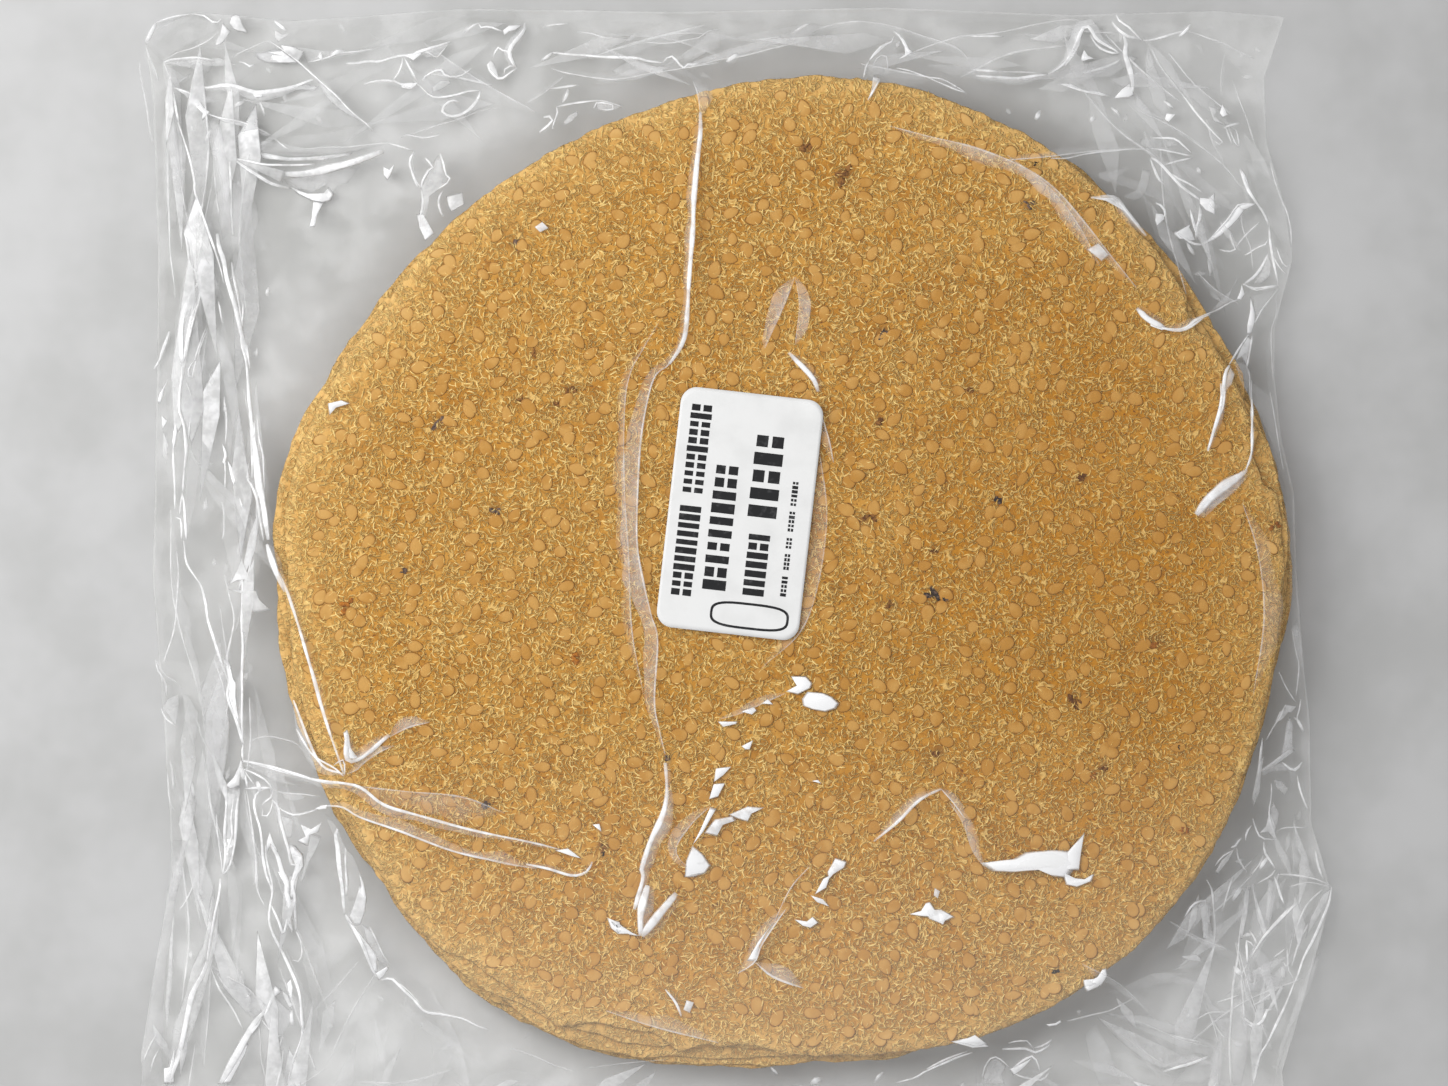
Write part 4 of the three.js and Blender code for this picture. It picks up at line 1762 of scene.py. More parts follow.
            y = line_y + side * width[:, None] * across_y * full
            z = ground + np.where(full > 0, lift * height[:, None] if lift > 0 else lift, self.shred_tip)
            rows.append(np.stack([x, y, z], axis=2))
        left, crest, right = rows
        inner = [row[:, 1:3].reshape(-1, 3) for row in (left, crest, right)]
        rings = np.stack([shell.add(points).reshape(count, 2) for points in inner], axis=2)
        start, end = (shell.add(points) for points in (left[:, 0], left[:, 3]))
        following = np.roll(rings, -1, axis=2)
        shell.quads(rings[:, 0], rings[:, 1], following[:, 1], following[:, 0])
        shell.quads(np.repeat(start, 3), rings[:, 0].ravel(), following[:, 0].ravel())
        shell.quads(np.repeat(end, 3), following[:, 1].ravel(), rings[:, 1].ravel())
        return ride(shell.build("dough_shreds", finish))

    def flakes(self, kind: FlakeKind, finish: bpy.types.Material) -> bpy.types.Object:
        """Flakes of one kind, each a few rough crumbs close together.

        Args:
            kind: the kind.
            finish: its material.

        Returns:
            The flakes in one mesh.
        """
        rng = np.random.default_rng(self.crumb_draw)
        crumbs = []
        for flake in (flake for flake in FLAKES if flake.kind is kind):
            cos, sin = math.cos(math.radians(flake.turn)), math.sin(math.radians(flake.turn))
            for _ in range(self.crumbs):
                spread = rng.uniform(-self.crumb_spread, self.crumb_spread, 2)
                along, aside = spread * (flake.length, flake.width)
                place = (flake.x + along * cos - aside * sin, flake.y + along * sin + aside * cos)
                length = rng.uniform(*self.crumb_lengths) * flake.length
                width = rng.uniform(*self.crumb_widths) * flake.width
                turn = math.radians(flake.turn) + rng.uniform(-self.crumb_turn, self.crumb_turn)
                crumbs.append((*place, length, width, rng.uniform(*self.crumb_heights), turn))
        crumb = np.array(crumbs)
        places, sizes, turns = crumb[:, :2], crumb[:, 2:5], crumb[:, 5]
        shell = self.lumps(places, sizes, turns, self.crumb_grid, self.crumb_roughness)
        return ride(shell.build(f"{kind.value}_flakes", finish))

    def stain(self, x: np.ndarray, y: np.ndarray) -> np.ndarray:
        """Brown that has spread into the dough round the flakes: full at a flake, gone at its reach.

        Args:
            x: places across.
            y: places up.

        Returns:
            How strong the stain is at each place.
        """
        weak, strong = self.stain_strength
        depth = np.zeros(x.shape)
        for flake in FLAKES:
            strength = weak if flake.kind is FlakeKind.BLACK else strong
            reach = flake.length + self.stain_reach
            distance = np.hypot(x - flake.x, y - flake.y)
            depth = np.maximum(depth, strength * ease(reach, self.stain_core * flake.length, distance))
        return depth

    def build(self) -> list[bpy.types.Object]:
        """Every topping, each kind in its own finish.

        Returns:
            The pieces.
        """
        # The seeds' third colour is the painted shade at their foot.
        seed_finish = GrainFinish(
            "sesame_seed", (0.52, 0.278, 0.064), (0.435, 0.205, 0.03), (0.31, 0.132, 0.018), 3.4, 0.36,
        )
        shred_finish = GrainFinish(
            "dough_shred", (0.82, 0.6, 0.23), (0.58, 0.34, 0.07), (0.4, 0.2, 0.05), 1.1,
        )
        flake_finishes = {
            kind: GrainFinish(f"{kind.value}_flake", light, dark, dark, 0.6, 0.6, 0.12)
            for kind, light, dark in (
                (FlakeKind.DARK, (0.16, 0.1, 0.07), (0.03, 0.02, 0.016)),
                (FlakeKind.BROWN, (0.26, 0.11, 0.022), (0.1, 0.035, 0.006)),
                (FlakeKind.ORANGE, (0.4, 0.14, 0.012), (0.22, 0.07, 0.008)),
                (FlakeKind.BLACK, (0.03, 0.018, 0.01), (0.008, 0.006, 0.005)),
            )
        }
        pieces = [self.seeds(seed_finish.material()), self.shreds(shred_finish.material())]
        pieces += [self.flakes(kind, finish.material()) for kind, finish in flake_finishes.items()]
        return pieces


# The bag


@dataclass(frozen=True)
class Fold:
    """A sharp fold of the film: a white crest and milky film on one side, partly the crease's own whitening
    and partly painted highlight and reflection.

    Attributes:
        route: the points that the crest runs through.
        core: width of the white crest.
        strength: how white the crest is, from 0 to 1.
        veil: width of the milky film, to the left of the route or, if negative, to its right.
        veil_strength: how white that film is beside the crest.
    """

    route: Route
    core: float
    strength: float
    veil: float = 0.0
    veil_strength: float = 0.0


@dataclass(frozen=True)
class Glint:
    """A facet where the film lies just so and catches the light: a painted highlight.

    Attributes:
        outline: the points round it.
        strength: how white it is at the outline's first point.
        fade: share of that strength at the point furthest from the first.
    """

    outline: Route
    strength: float
    fade: float = 1.0


@dataclass(frozen=True)
class Sketch:
    """Folds and facets of one stretch of the film, as drawn.

    Each is written as its numbers in the order of its fields, a colon, and the points of its route or
    outline as steps across and up from the stretch's corner. A semicolon ends it.

    Attributes:
        left: place of the corner across.
        top: place of the corner up.
        across: length of a step across.
        up: length of a step up.
        fold_lines: the folds.
        facet_lines: the facets.
    """

    left: float
    top: float
    across: float
    up: float
    fold_lines: str
    facet_lines: str

    def read(self, lines: str) -> list[tuple[Route, list[float]]]:
        """Points and numbers of each fold or facet.

        Args:
            lines: the stretch's folds or facets as written.

        Returns:
            Each one's points in the plane, and its numbers.
        """
        entries = []
        for entry in lines.split(";")[:-1]:
            numbers, points = entry.split(":")
            steps = np.array([point.split(",") for point in points.split()], float)
            places = tuple((self.left + self.across * x, self.top + self.up * y) for x, y in steps.tolist())
            entries.append((places, [float(number) for number in numbers.split()]))
        return entries

    def folds(self) -> list[Fold]:
        """The stretch's folds."""
        return [Fold(route, *numbers) for route, numbers in self.read(self.fold_lines)]

    def facets(self) -> list[Glint]:
        """The stretch's facets."""
        return [Glint(outline, *numbers) for outline, numbers in self.read(self.facet_lines)]


# Length of a step in the stretches of the margin
FINE_STEP = 0.187

SKETCHES = (
    # Over the stack
    Sketch(0, 0, 1, 1, """
1.05 1 -1.6 .3: -15.4,85.1 -15.4,81 -16,75.7 -16.6,68.9 -16.8,63.2 -17.4,55.1 -17.8,48.2 -18.2,43.7
-19.2,40.9 -21.2,38;
.4 .6 -3.4 .26: -18.6,43 -21.2,38 -23.7,36 -25.3,31.2 -26.6,23 -27.2,12 -27.2,4 -26,-3 -24.6,-9
-23.4,-13.7 -24,-25.1 -23,-30.8 -22,-35;
.3 .35 -2 .16: -23,46 -26,41 -28.6,36 -29.6,29 -29.6,15 -28.8,2 -28.2,-12 -26,-24;
1 1 2.2 .4: -22,-36.6 -21.7,-42.3 -22.6,-46.5 -24.7,-51.1 -26.4,-56.4 -26.2,-58.3 -27.8,-64;
1.4 1 2.2 .35: -25.3,-59.5 -26.6,-64.4 -26.6,-69;
1.5 1: -19.9,-61 -23.4,-65.2 -26.4,-69;
.3 .4 2.6 .25: -17,91.5 -15.8,88 -15.4,84;
.4 .35 -3 .3: 2.3,54.3 -.1,48.2 -3.4,40.9;
.3 .4 3.2 .34: 2.3,54.3 3.1,49 2.3,41.5;
1 1: 1.1,40.1 2.7,38.4 4.3,36.8 5.9,34.8 6.6,32.8;
.35 .55 -1.6 .18: 7,29 8.6,24 9.5,19.5;
.3 .3 -4 .12: 6.5,24 8.2,8 4.5,-10 -4,-19;
.55 1 -1.4 .25: -101.5,-36.3 -88.6,-39.6 -82.1,-40.4 -78.7,-41.3 -74.4,-44.5 -67.3,-46.6 -57.8,-49.2
-47.3,-51.4 -41.7,-52.8;
.5 .9 2.2 .2: -86.6,-44.7 -82.5,-44.9 -79.1,-46.8 -71.6,-49.4 -62.1,-53 -54,-55;
.4 .5 1.8 .22: -60,-53.4 -52,-55.4 -46,-56.4;
.65 1: -48,-55.6 -44,-56.4 -39.4,-57.7 -36.7,-57 -35.6,-55.1;
.35 .4 -5 .16: -79,-41 -70,-42 -60,-43 -52,-46;
.9 .95 2.4 .35: -81.5,-30.5 -81.5,-35.9 -79.1,-35.9 -76,-33.4 -73.6,-31.4;
.3 .45 1.8 .25: -74,-32 -70,-30 -66,-29;
.5 .8 -1.6 .3: -91.6,-24.9 -86.8,-36.3 -82.1,-38.7;
.35 .45 -2.4 .28: 20,82.5 27,80.6 36,78.4 45,74.8 51,70.6 56,65 61.3,58.3 66.2,52.2;
.3 .3 -2.2 .22: 42,77 49.9,70.9 55.4,63.8 59.5,56;
.3 .5 1.6 .2: 41,76 49.9,76.8 58.9,78 66.2,78.4 69,78.5;
1.2 1: 66.2,48.4 68.2,46.4 71.4,44.7;
.45 .85 1.6 .2: 70,45 73,44.2 75.5,44.5 79.1,46.9;
.7 .75 -1.8 .4: 57.6,69.1 62.1,69.3 64.5,66.4 68,62;
.6 .85 1 .25: 82.3,35 82.1,30.8 81,26.6 79.4,21.9;
.4 .8: 87.6,29.8 87.8,22.4 86.3,17.2;
1.7 .95 1.8 .35: 86.8,18.2 83.5,15.6 80,13.2 77.3,9.8;
.3 .35 3 .14: 86,12 89,2 90,-10 88,-24;
.3 .3 2.2 .34: 31.2,-44.1 33.7,-47.9 35.5,-53.1 38,-56.5;
.6 .8 -1.6 .3: 29.6,-41.5 25.5,-43.6 21.5,-47.6 17,-51.3;
.35 .6 1.8 .25: 29.6,-41.5 32,-44.2 34,-47;
.3 .35 1.4 .2: -12,-28.5 -8,-27.4 -4,-25.6 .5,-23.6;
.3 .4 2 .2: -17,-57 -20,-53 -17,-48 -13.6,-44.8;
.3 .4: 5,-56 1.5,-60 -1.6,-66.3;
.35 .7 -2.6 .3: .6,-64 -1,-66.2 -4,-70.8 -5.2,-73.8 -8.4,-76;
.4 .7 2.2 .3: -5.2,-73.8 -2.5,-76.2 .5,-77.6 4,-78.8;
.6 .9: -22,-79 -20,-81.5 -19,-84;
.35 .5 2.5 .2: -33,-83 -24,-86 -12,-89;
    """, """
.95: 1.6,-20.5 4.3,-20.5 5.4,-21.7 5.1,-22.6 2.8,-23.8 .7,-23.2 2.6,-22.2;
.95: 3.7,-24.7 4.7,-23.4 7.5,-23.6 9.1,-24.3 10.4,-25.5 9.8,-26.4 7.9,-27 5.6,-26.6 3.9,-25.9;
.95: -7.7,-27 -5.4,-26.2 -4.9,-26.8 -5.8,-27.6;
.95: -3.9,-25.5 -2.8,-24.7 -1.8,-25.7;
.9: -12.1,-28.9 -8.5,-28.9 -8.7,-29.3 -11.2,-29.9;
.95: -7.7,-33.5 -5.6,-32.4 -6.2,-34.1 -7,-34.1;
.95: -12.5,-37.7 -9.6,-37.3 -11.2,-39 -12.9,-40.2;
.95: -12.9,-40.6 -10.8,-40.4 -12.1,-42.9 -13.8,-43.4;
.95: -13.6,-45 -12.5,-45.3 -15,-49.7 -16.9,-52 -15.4,-49.1;
.8: -10,-46.3 -6.6,-44.8 -3.5,-45 -5.8,-46.1 -6.6,-47.6 -8.5,-47;
.75: -9.4,-46.6 -8.8,-47.4 -11.2,-48.2 -12.3,-50.3 -14.6,-49.7 -12.7,-47.2;
.9: -16.9,-52.2 -15,-53.7 -13.6,-55.8 -14.6,-57.2 -16.7,-57.9 -18.3,-57.9 -18,-54.9;
.95: 5.4,-40 6.6,-39.8 7.2,-40.5;
.85: 9.8,-54.5 11.9,-55.1 11.5,-56.2 9.4,-57.5 8.6,-58.4 8.4,-57;
.85: 8.9,-57.6 8.1,-60 6,-61.2 7.6,-58.3;
.85: 5.2,-61.4 7.5,-62.1 8.7,-63.5 6.4,-62.7;
.9: 2.2,-65.9 4.5,-66.3 5.6,-65.4 6.6,-66.5 5.2,-67.5 3.7,-67.1;
.9: -1.6,-66.3 -2.8,-67.8 -4.5,-70.9 -4.9,-73.5 -6.6,-73.5 -4.6,-70;
.95: -32.7,-65.9 -30.6,-66.3 -30.1,-67.9 -27,-69 -28.7,-68.6 -30.8,-68.6;
.95: -35.6,-48.2 -34.3,-48 -33.9,-49.5;
.95: -42.5,-53 -40.2,-52.6 -37.7,-54.5 -39.4,-54.1;
1: 37.4,-55.3 43.2,-54.6 45.4,-53.4 50.3,-53 53.6,-53.2 54.8,-55.6 53,-58 50.5,-57.8 47.8,-56.6
43,-57 39.4,-56.8;
1: 53.2,-53.4 56.4,-49.8 55.8,-53.4 55.4,-56.6 53,-56.6;
.95: 52.6,-57.2 54.6,-58.2 56.6,-58.4 58.2,-57.4 57.6,-58.8 55,-59.8 53,-59.4;
.8: 26.4,-64.2 29.6,-64 32,-65.4 29.4,-66.6 27.4,-65.8;
.95: 56.5,-78.6 58,-77.6 60.4,-75 60.8,-76.4 59,-78.6 57,-79.4;
.95: 31.6,-88.8 36,-87.8 38.6,-89.8 35.6,-90;
.9: -85,30.6 -82.6,31.2 -81,30.6 -83.6,29.8 -84.8,28.4;
.6: 57,59.4 59,60.6 61,58.4 59.6,57.2;
.7: 28.4,-60 29.4,-60.6 29,-62 28.2,-61.4;
.7: -18,-81 -16.6,-81.4 -17.4,-83.4 -18.6,-82.8;
.7: -46.4,63.6 -45,64.6 -43.8,63.4 -45.4,62.6;
    """),
    # Left margin, outside the others
    Sketch(0, 0, 1, 1, """
2.3 .15: -108.3,15.9 -101.5,7.5 -94.9,-.5;
1.5 1: -93.4,73.8 -90.3,73.8 -87,74.4 -83.5,75.3 -80,76.2 -75,78.1;
.4 1: -103.3,76.8 -100.5,76.3 -97.4,75.6 -94.4,75.5 -91.3,75.5 -88,75.7;
.75 .9: -103.3,76.8 -101,75.1 -98.7,73.6 -96,72 -92.8,71.2;
.45 1: -113.6,83.6 -112.5,80.3 -111.3,76.3 -110.5,72.5 -110.4,70.4 -109.4,67.4 -108.1,63.7
-106.7,59.7 -105.6,56.1 -105,53.4;
1 1: -106.2,62.6 -105.8,59.9 -105,57.6 -104.4,54.2 -103.5,51.2 -102.7,48.5 -101.8,44.3 -101,41.2
-100.4,38.7;
.5 .8: -103.5,57.3 -103.1,54.6 -102.3,50.8 -101.8,47 -101.7,44.3;
.35 .8: -103.9,76.3 -103.7,71 -103.5,65.7 -103.3,62.2;
.3 .6: -115.5,83.6 -115.5,74.1 -115.3,66.4 -115.1,59.2 -114.4,53.4 -114.2,50.8;
.4 .7: -112.5,63.7 -111.9,60.7 -111.3,56.9 -109.4,54.6;
.8 1: -109.2,54.2 -110.9,51.9 -112.5,48.5 -113.2,45 -113.2,41.5 -113,38.7;
.5 .9 -1.2 .5: -109.2,54.2 -109.6,50.4 -110.9,45.4 -112.5,38.7;
.5 .8: -115.3,44.3 -116.3,41.2 -117.2,38.7;
.4 .7: -108.3,45 -109.4,42 -110.5,38.7;
.7 .95: -96.6,4.1 -94.9,0 -93.1,-3.6 -91.8,-7.3 -90.6,-11 -89.1,-16 -87.6,-21 -86.4,-25.5 -84.7,-31
-83.3,-35 -82.1,-38.7;
1.1 1: -96.6,4.3 -95.9,2 -94.6,-1.5 -93.1,-4.6;
.5 1: -112.5,4.9 -112,.9 -110.6,-1.5 -109.2,-3.6 -108.4,-7 -108,-9.9 -106.8,-13.6 -105.4,-18
-104,-22 -103.2,-26;
.35 .6: -113.9,3.2 -113.5,-1 -113.8,-6 -114.4,-12 -116.3,-18;
.45 .9: -101.5,1.6 -101.4,-4 -101.6,-9.9 -101.3,-15 -101.5,-20 -101.4,-24 -101.5,-33.5;
.4 .6: -104.9,-1.2 -103.9,-5.5 -103,-9.9 -104,-15.5 -105,-20;
    """, """
.8 .25: -102.5,-2.5 -104,-3.4 -102.5,-.9 -101.5,1.6 -100.8,-.1 -99.5,-2.8 -101,-2.4;
.45 .8: -104.1,-4.2 -101,-4.3 -98.7,-4.5 -98,-6.2 -96,-8 -99.5,-8.5 -100.4,-6.2 -101.4,-4.9;
.4 .9: -103.3,76.8 -98.7,74.4 -94.1,72.1 -93.4,74.4 -97.2,75.4;
.85 .9: -92.4,71.4 -91.1,70.2 -88.4,68.9 -86.4,68.5 -85,68.9 -84.4,70 -85.2,71.2 -86,70.3 -87.3,70.2
-89.6,70.2 -91.1,70.8;
.88 .9: -88.2,68.7 -86.3,68.5 -87.4,66.4 -87.9,64 -88.9,63.9 -88.5,65.6;
.3 .6: -93.4,72.9 -85,74.2 -81.5,75 -80,74.8 -81.9,72.1 -83.5,71.8 -84.6,70.2 -85.7,71.9 -88.4,70.4
-92.2,71.2;
.25 .8: -101,77.9 -96,77.3 -91.1,77.1 -85.7,77.7 -81.2,77.9 -75.1,79.4 -81.9,79.1 -89.6,78.7 -96,80
-99.5,80.2;
.7 .9: -98.7,77.9 -93.4,76.9 -88.8,77 -81.2,77.8 -81.5,77.4 -86.5,76.5 -93.4,76.3 -97.2,76.7;
.18 .8: -103.3,72.1 -101,70.2 -98.9,67.9 -98.5,64.9 -99.3,62.2 -99.7,59.2 -99.5,56.9 -100.6,53.4
-101.4,49.2 -101.8,45.4 -102.9,49.2 -103.3,56.9 -103.7,64.5;
.25 .8: -108.6,83.6 -105.8,83.6 -104.6,77.9 -103.9,72.1 -103.6,65.3 -104.8,65.7 -105.6,71
-106.9,76.7;
.22 .8: -115.1,83.6 -114,83.6 -113,72.1 -112.5,67.6 -107.9,56.9 -105.2,51.2 -106.4,51.2 -111.3,62.2
-114,67.6 -115.5,77.5;
    """),
    # Upper left corner
    Sketch(-127.72, 106.03, FINE_STEP, -FINE_STEP, """
.75 .95: 44,39 49,29 53,20;
.35 .75: 53,20 61,17 71,14 88,11;
.4 .9: 90,11 102,13 108,18 114,20 119,16;
.3 .4: 37,59 37,69 40,86 44,106 47,127 51,143;
.3 .5 -1.2 .2: 43,44 49,59 53,69 55,78;
.45 1 -2 .4: 61,60 70,57 80,56 94,55 112,58;
.25 .5: 61,59 76,50 90,46 106,38 117,28;
.3 .6: 61,60 65,71 70,85;
.35 .95: 70,85 80,88 88,91 94,93;
.3 .8: 106,112 118,116 131,118 143,121 157,127 169,133;
.7 1 -1.4 .55: 100,85 108,85 118,83 131,83 143,87 155,90 167,89 180,87 194,83 204,79 211,77;
.6 1: 172,18 178,23 184,28;
.35 .95: 166,38 173,42 184,50 196,59 206,68 216,77 227,87 235,94 245,105 255,114 265,122 271,129;
.4 .9: 137,59 143,61 147,64 153,62;
.3 .75: 206,60 216,58 227,55 237,51 255,49 273,46;
.25 .5: 131,54 147,46 166,38 173,41;
.5 1: 245,61 255,61 265,59 278,59 288,56 300,53 308,53 320,49;
.3 .9: 301,55 300,63 296,72 290,79;
.35 1: 303,56 308,65 315,77;
.5 .95 -1.2 .25: 263,82 273,79 286,78 294,79 302,83 310,86 315,82;
.35 .9: 288,142 296,144 306,147 313,150;
.45 .95 1 .3: 313,150 309,157 309,165 313,178 317,186;
.25 .5: 188,147 206,147 224,145 245,145 265,143 288,141;
.35 .8: 173,137 180,143 188,149;
.5 1: 70,88 73,104 76,120;
.3 .5 -1.2 .25: 67,94 65,114 63,133 64,153 65,184 65,214;
.3 .45: 71,153 77,176 81,196 84,214 90,227;
.3 .7: 134,156 128,159 129,176 129,194 129,214 131,235;
.3 .5: 111,155 112,173 114,194 117,214;
    """, """
.2 .6: 53,22 88,12 114,18 116,27 88,41 67,53 61,59 44,41;
.35 .4: 61,60 88,58 112,59 106,70 88,66;
.25 .5: 61,61 86,76 88,71 70,84;
.85 .9: 88,96 95,96 102,106 108,110 104,114 100,118 101,112 93,104 87,100;
.5 .7: 70,85 82,89 94,93 96,98 88,98 80,91;
.5 .5: 106,112 131,118 143,121 169,133 163,134 143,125 122,120;
.55 .9: 150,90 167,90 184,87 204,82 216,84 212,88 196,87 180,90 163,93 155,96;
.95: 146,88 161,91 160,95 153,95;
.38 .7: 216,79 227,88 237,98 247,107 263,120 249,114 235,105 224,94;
.85 .9: 154,51 163,49 173,46 180,48 188,54 196,60 184,60 173,60 163,59 156,56;
.65 .7: 178,42 190,44 202,49 197,59 188,53 181,48;
.3 .4: 178,42 204,46 227,49 255,49 286,42 271,48 245,53 224,57 206,60 202,49;
.5 .5: 172,27 180,32 188,31 176,39 173,35;
.7 .8: 133,12 137,13 141,24 145,30 135,28 131,26 127,20 129,14;
.7 .7: 120,20 128,29 123,37 118,42 113,43 114,38 118,31;
.95: 300,53 320,49 320,52 312,58 307,55;
.9: 292,79 302,81 312,80 311,87 306,86 300,83;
.95: 282,165 288,168 293,162 290,171 286,178 282,173;
.6 .6: 137,133 141,135 147,143 155,151 143,150 140,141;
.15 .6: 192,133 224,131 261,122 286,141 245,144 204,145 184,143;
.25 .5: 70,90 74,143 79,184 73,224 65,224 63,143;
.25 .7: 114,114 118,127 120,143 125,159 131,224 120,235 116,204 112,178 111,151 110,131 107,120;
    """),
    # Top, left of the middle
    Sketch(-71.62, 106.03, FINE_STEP, -FINE_STEP, """
.65 1 -1 .4: 0,53 9,53 15,50 24,47 37,43 49,39;
.3 .7: 46,42 40,50 34,56 31,52 23,49;
.4 .9: 63,30 70,24 77,20;
.45 1: 77,20 80,25 88,24 96,27 102,29;
.7 1 -.9 .5: 124,20 124,26 119,34 113,41 109,48 110,56 115,65;
.42 1: 92,55 95,48 98,45 103,49 108,49 110,53;
.5 1: 90,58 87,61 88,67 93,73 98,77 102,76 110,70 116,66;
.4 .9: 103,73 104,67 109,64 115,64;
.35 .95: 3,56 7,63 11,71 15,78;
.4 1: 21,79 24,74 31,70 39,67 42,71 47,74 57,74 65,70 70,66;
.4 .95: 13,79 19,84 27,92 35,95 47,94 57,92 67,89 79,88;
.55 1: 79,88 77,96 71,104 64,110 53,114 44,112 41,108 44,102 51,98 58,100;
.3 .55: 0,136 5,133 12,134 24,136 39,133;
.25 .35: 4,134 31,125 61,116 78,109 98,106;
.6 1: 141,58 148,53 152,50;
.5 1: 152,50 169,52 184,53 204,55 235,56 247,59 263,61;
.4 1: 263,61 267,56 271,54 276,58 283,67 286,63 294,63 300,62;
.4 .6: 148,87 163,85 178,83;
.3 .55 1.6 .15: 151,66 163,70 178,73 194,76 214,78 231,76 249,72 265,70 283,67 320,61;
.55 1: 143,116 150,115 152,119 147,125 139,131;
.4 .8: 156,105 157,112 154,120 152,128;
.35 .7: 157,105 173,102 192,100 204,100 216,104 223,106;
.35 .8: 194,107 196,102 204,102 214,105 212,109 202,109;
.4 .7: 143,24 153,22 167,21;
.3 .5: 176,29 190,31 206,36 214,34;
.3 .45: 233,39 265,41 286,38 300,35 308,29 320,27;
.42 .9: 12,151 8,159 11,171 17,183 20,186;
.55 1: 20,186 22,178 28,168 32,166 28,160 24,156;
.45 .95: 39,152 42,161 45,173 49,177 46,182 37,188;
.35 .7: 42,190 38,198 39,208 43,216;
.4 .6: 20,188 22,202 19,220 22,233;
    """, """
.35 .6: 15,51 49,40 41,49 34,56 31,53 22,49;
.95: 103,33 102,28 108,23 121,22 115,27 108,29;
.6 .9: 90,58 93,61 97,71 98,76 92,71 88,66 87,61;
.45 .7: 31,85 39,78 48,78 49,81 41,86 31,90;
.95: 0,81 10,81 16,80 15,83 9,87 0,85;
.25 .6: 212,69 224,61 235,59 251,63 263,67 245,71 224,75;
.4 .7: 163,122 169,114 177,110 178,114 172,120 166,124;
.3 .7: 195,101 222,106 212,110 198,109;
.2 .6: 284,51 302,37 312,27 320,29 320,47 306,51 292,59 284,61;
.35 .7: 20,185 29,168 36,155 40,154 43,170 48,177 45,182 37,189 28,196 25,222 19,216 20,200;
.6 .8: 46,196 62,192 64,204 51,211 48,205;
.7 .9: 16,214 22,212 29,224 34,233 25,240 19,227;
    """),
    # Top, right of the middle
    Sketch(-23.00, 106.03, FINE_STEP, -FINE_STEP, """
.35 .5 2.4 .2: 22,65 41,63 61,58 86,54 112,47 131,42 151,35;
.4 .75: 133,31 143,24 151,21;
.35 .5: 92,38 106,37 122,34;
.35 .4 -1.6 .12: 151,29 173,22 200,19 224,22 245,27 265,34 286,41 302,49 314,65;
.42 1: 235,34 232,40 223,44 216,51 210,59;
.3 .9: 234,39 228,42 220,49 213,56;
.55 1: 235,29 242,35 246,43 250,50 254,51;
.4 .9: 210,59 206,67 204,77;
.35 .5: 213,68 216,59 222,54 227,55 228,65 227,72;
.4 .9: 220,79 215,88 208,100;
.35 .85: 237,67 251,70 267,76 282,78 292,83 302,89 307,93;
.3 .8: 267,76 278,81 294,88 306,92;
.3 .4: 255,50 273,43 286,39 302,34 320,32;
    """, """
.25 .6: 43,56 71,47 102,38 127,31 143,24 151,21 161,23 151,33 122,41 86,51 51,60 27,64;
.95: 245,40 249,49 253,51 245,56 239,58 246,53;
.15 .7: 211,59 229,42 235,37 240,57 227,55 224,73 207,76;
.5 .6: 213,76 220,78 216,88 210,96 208,100 212,88;
    """),
    # Upper right corner
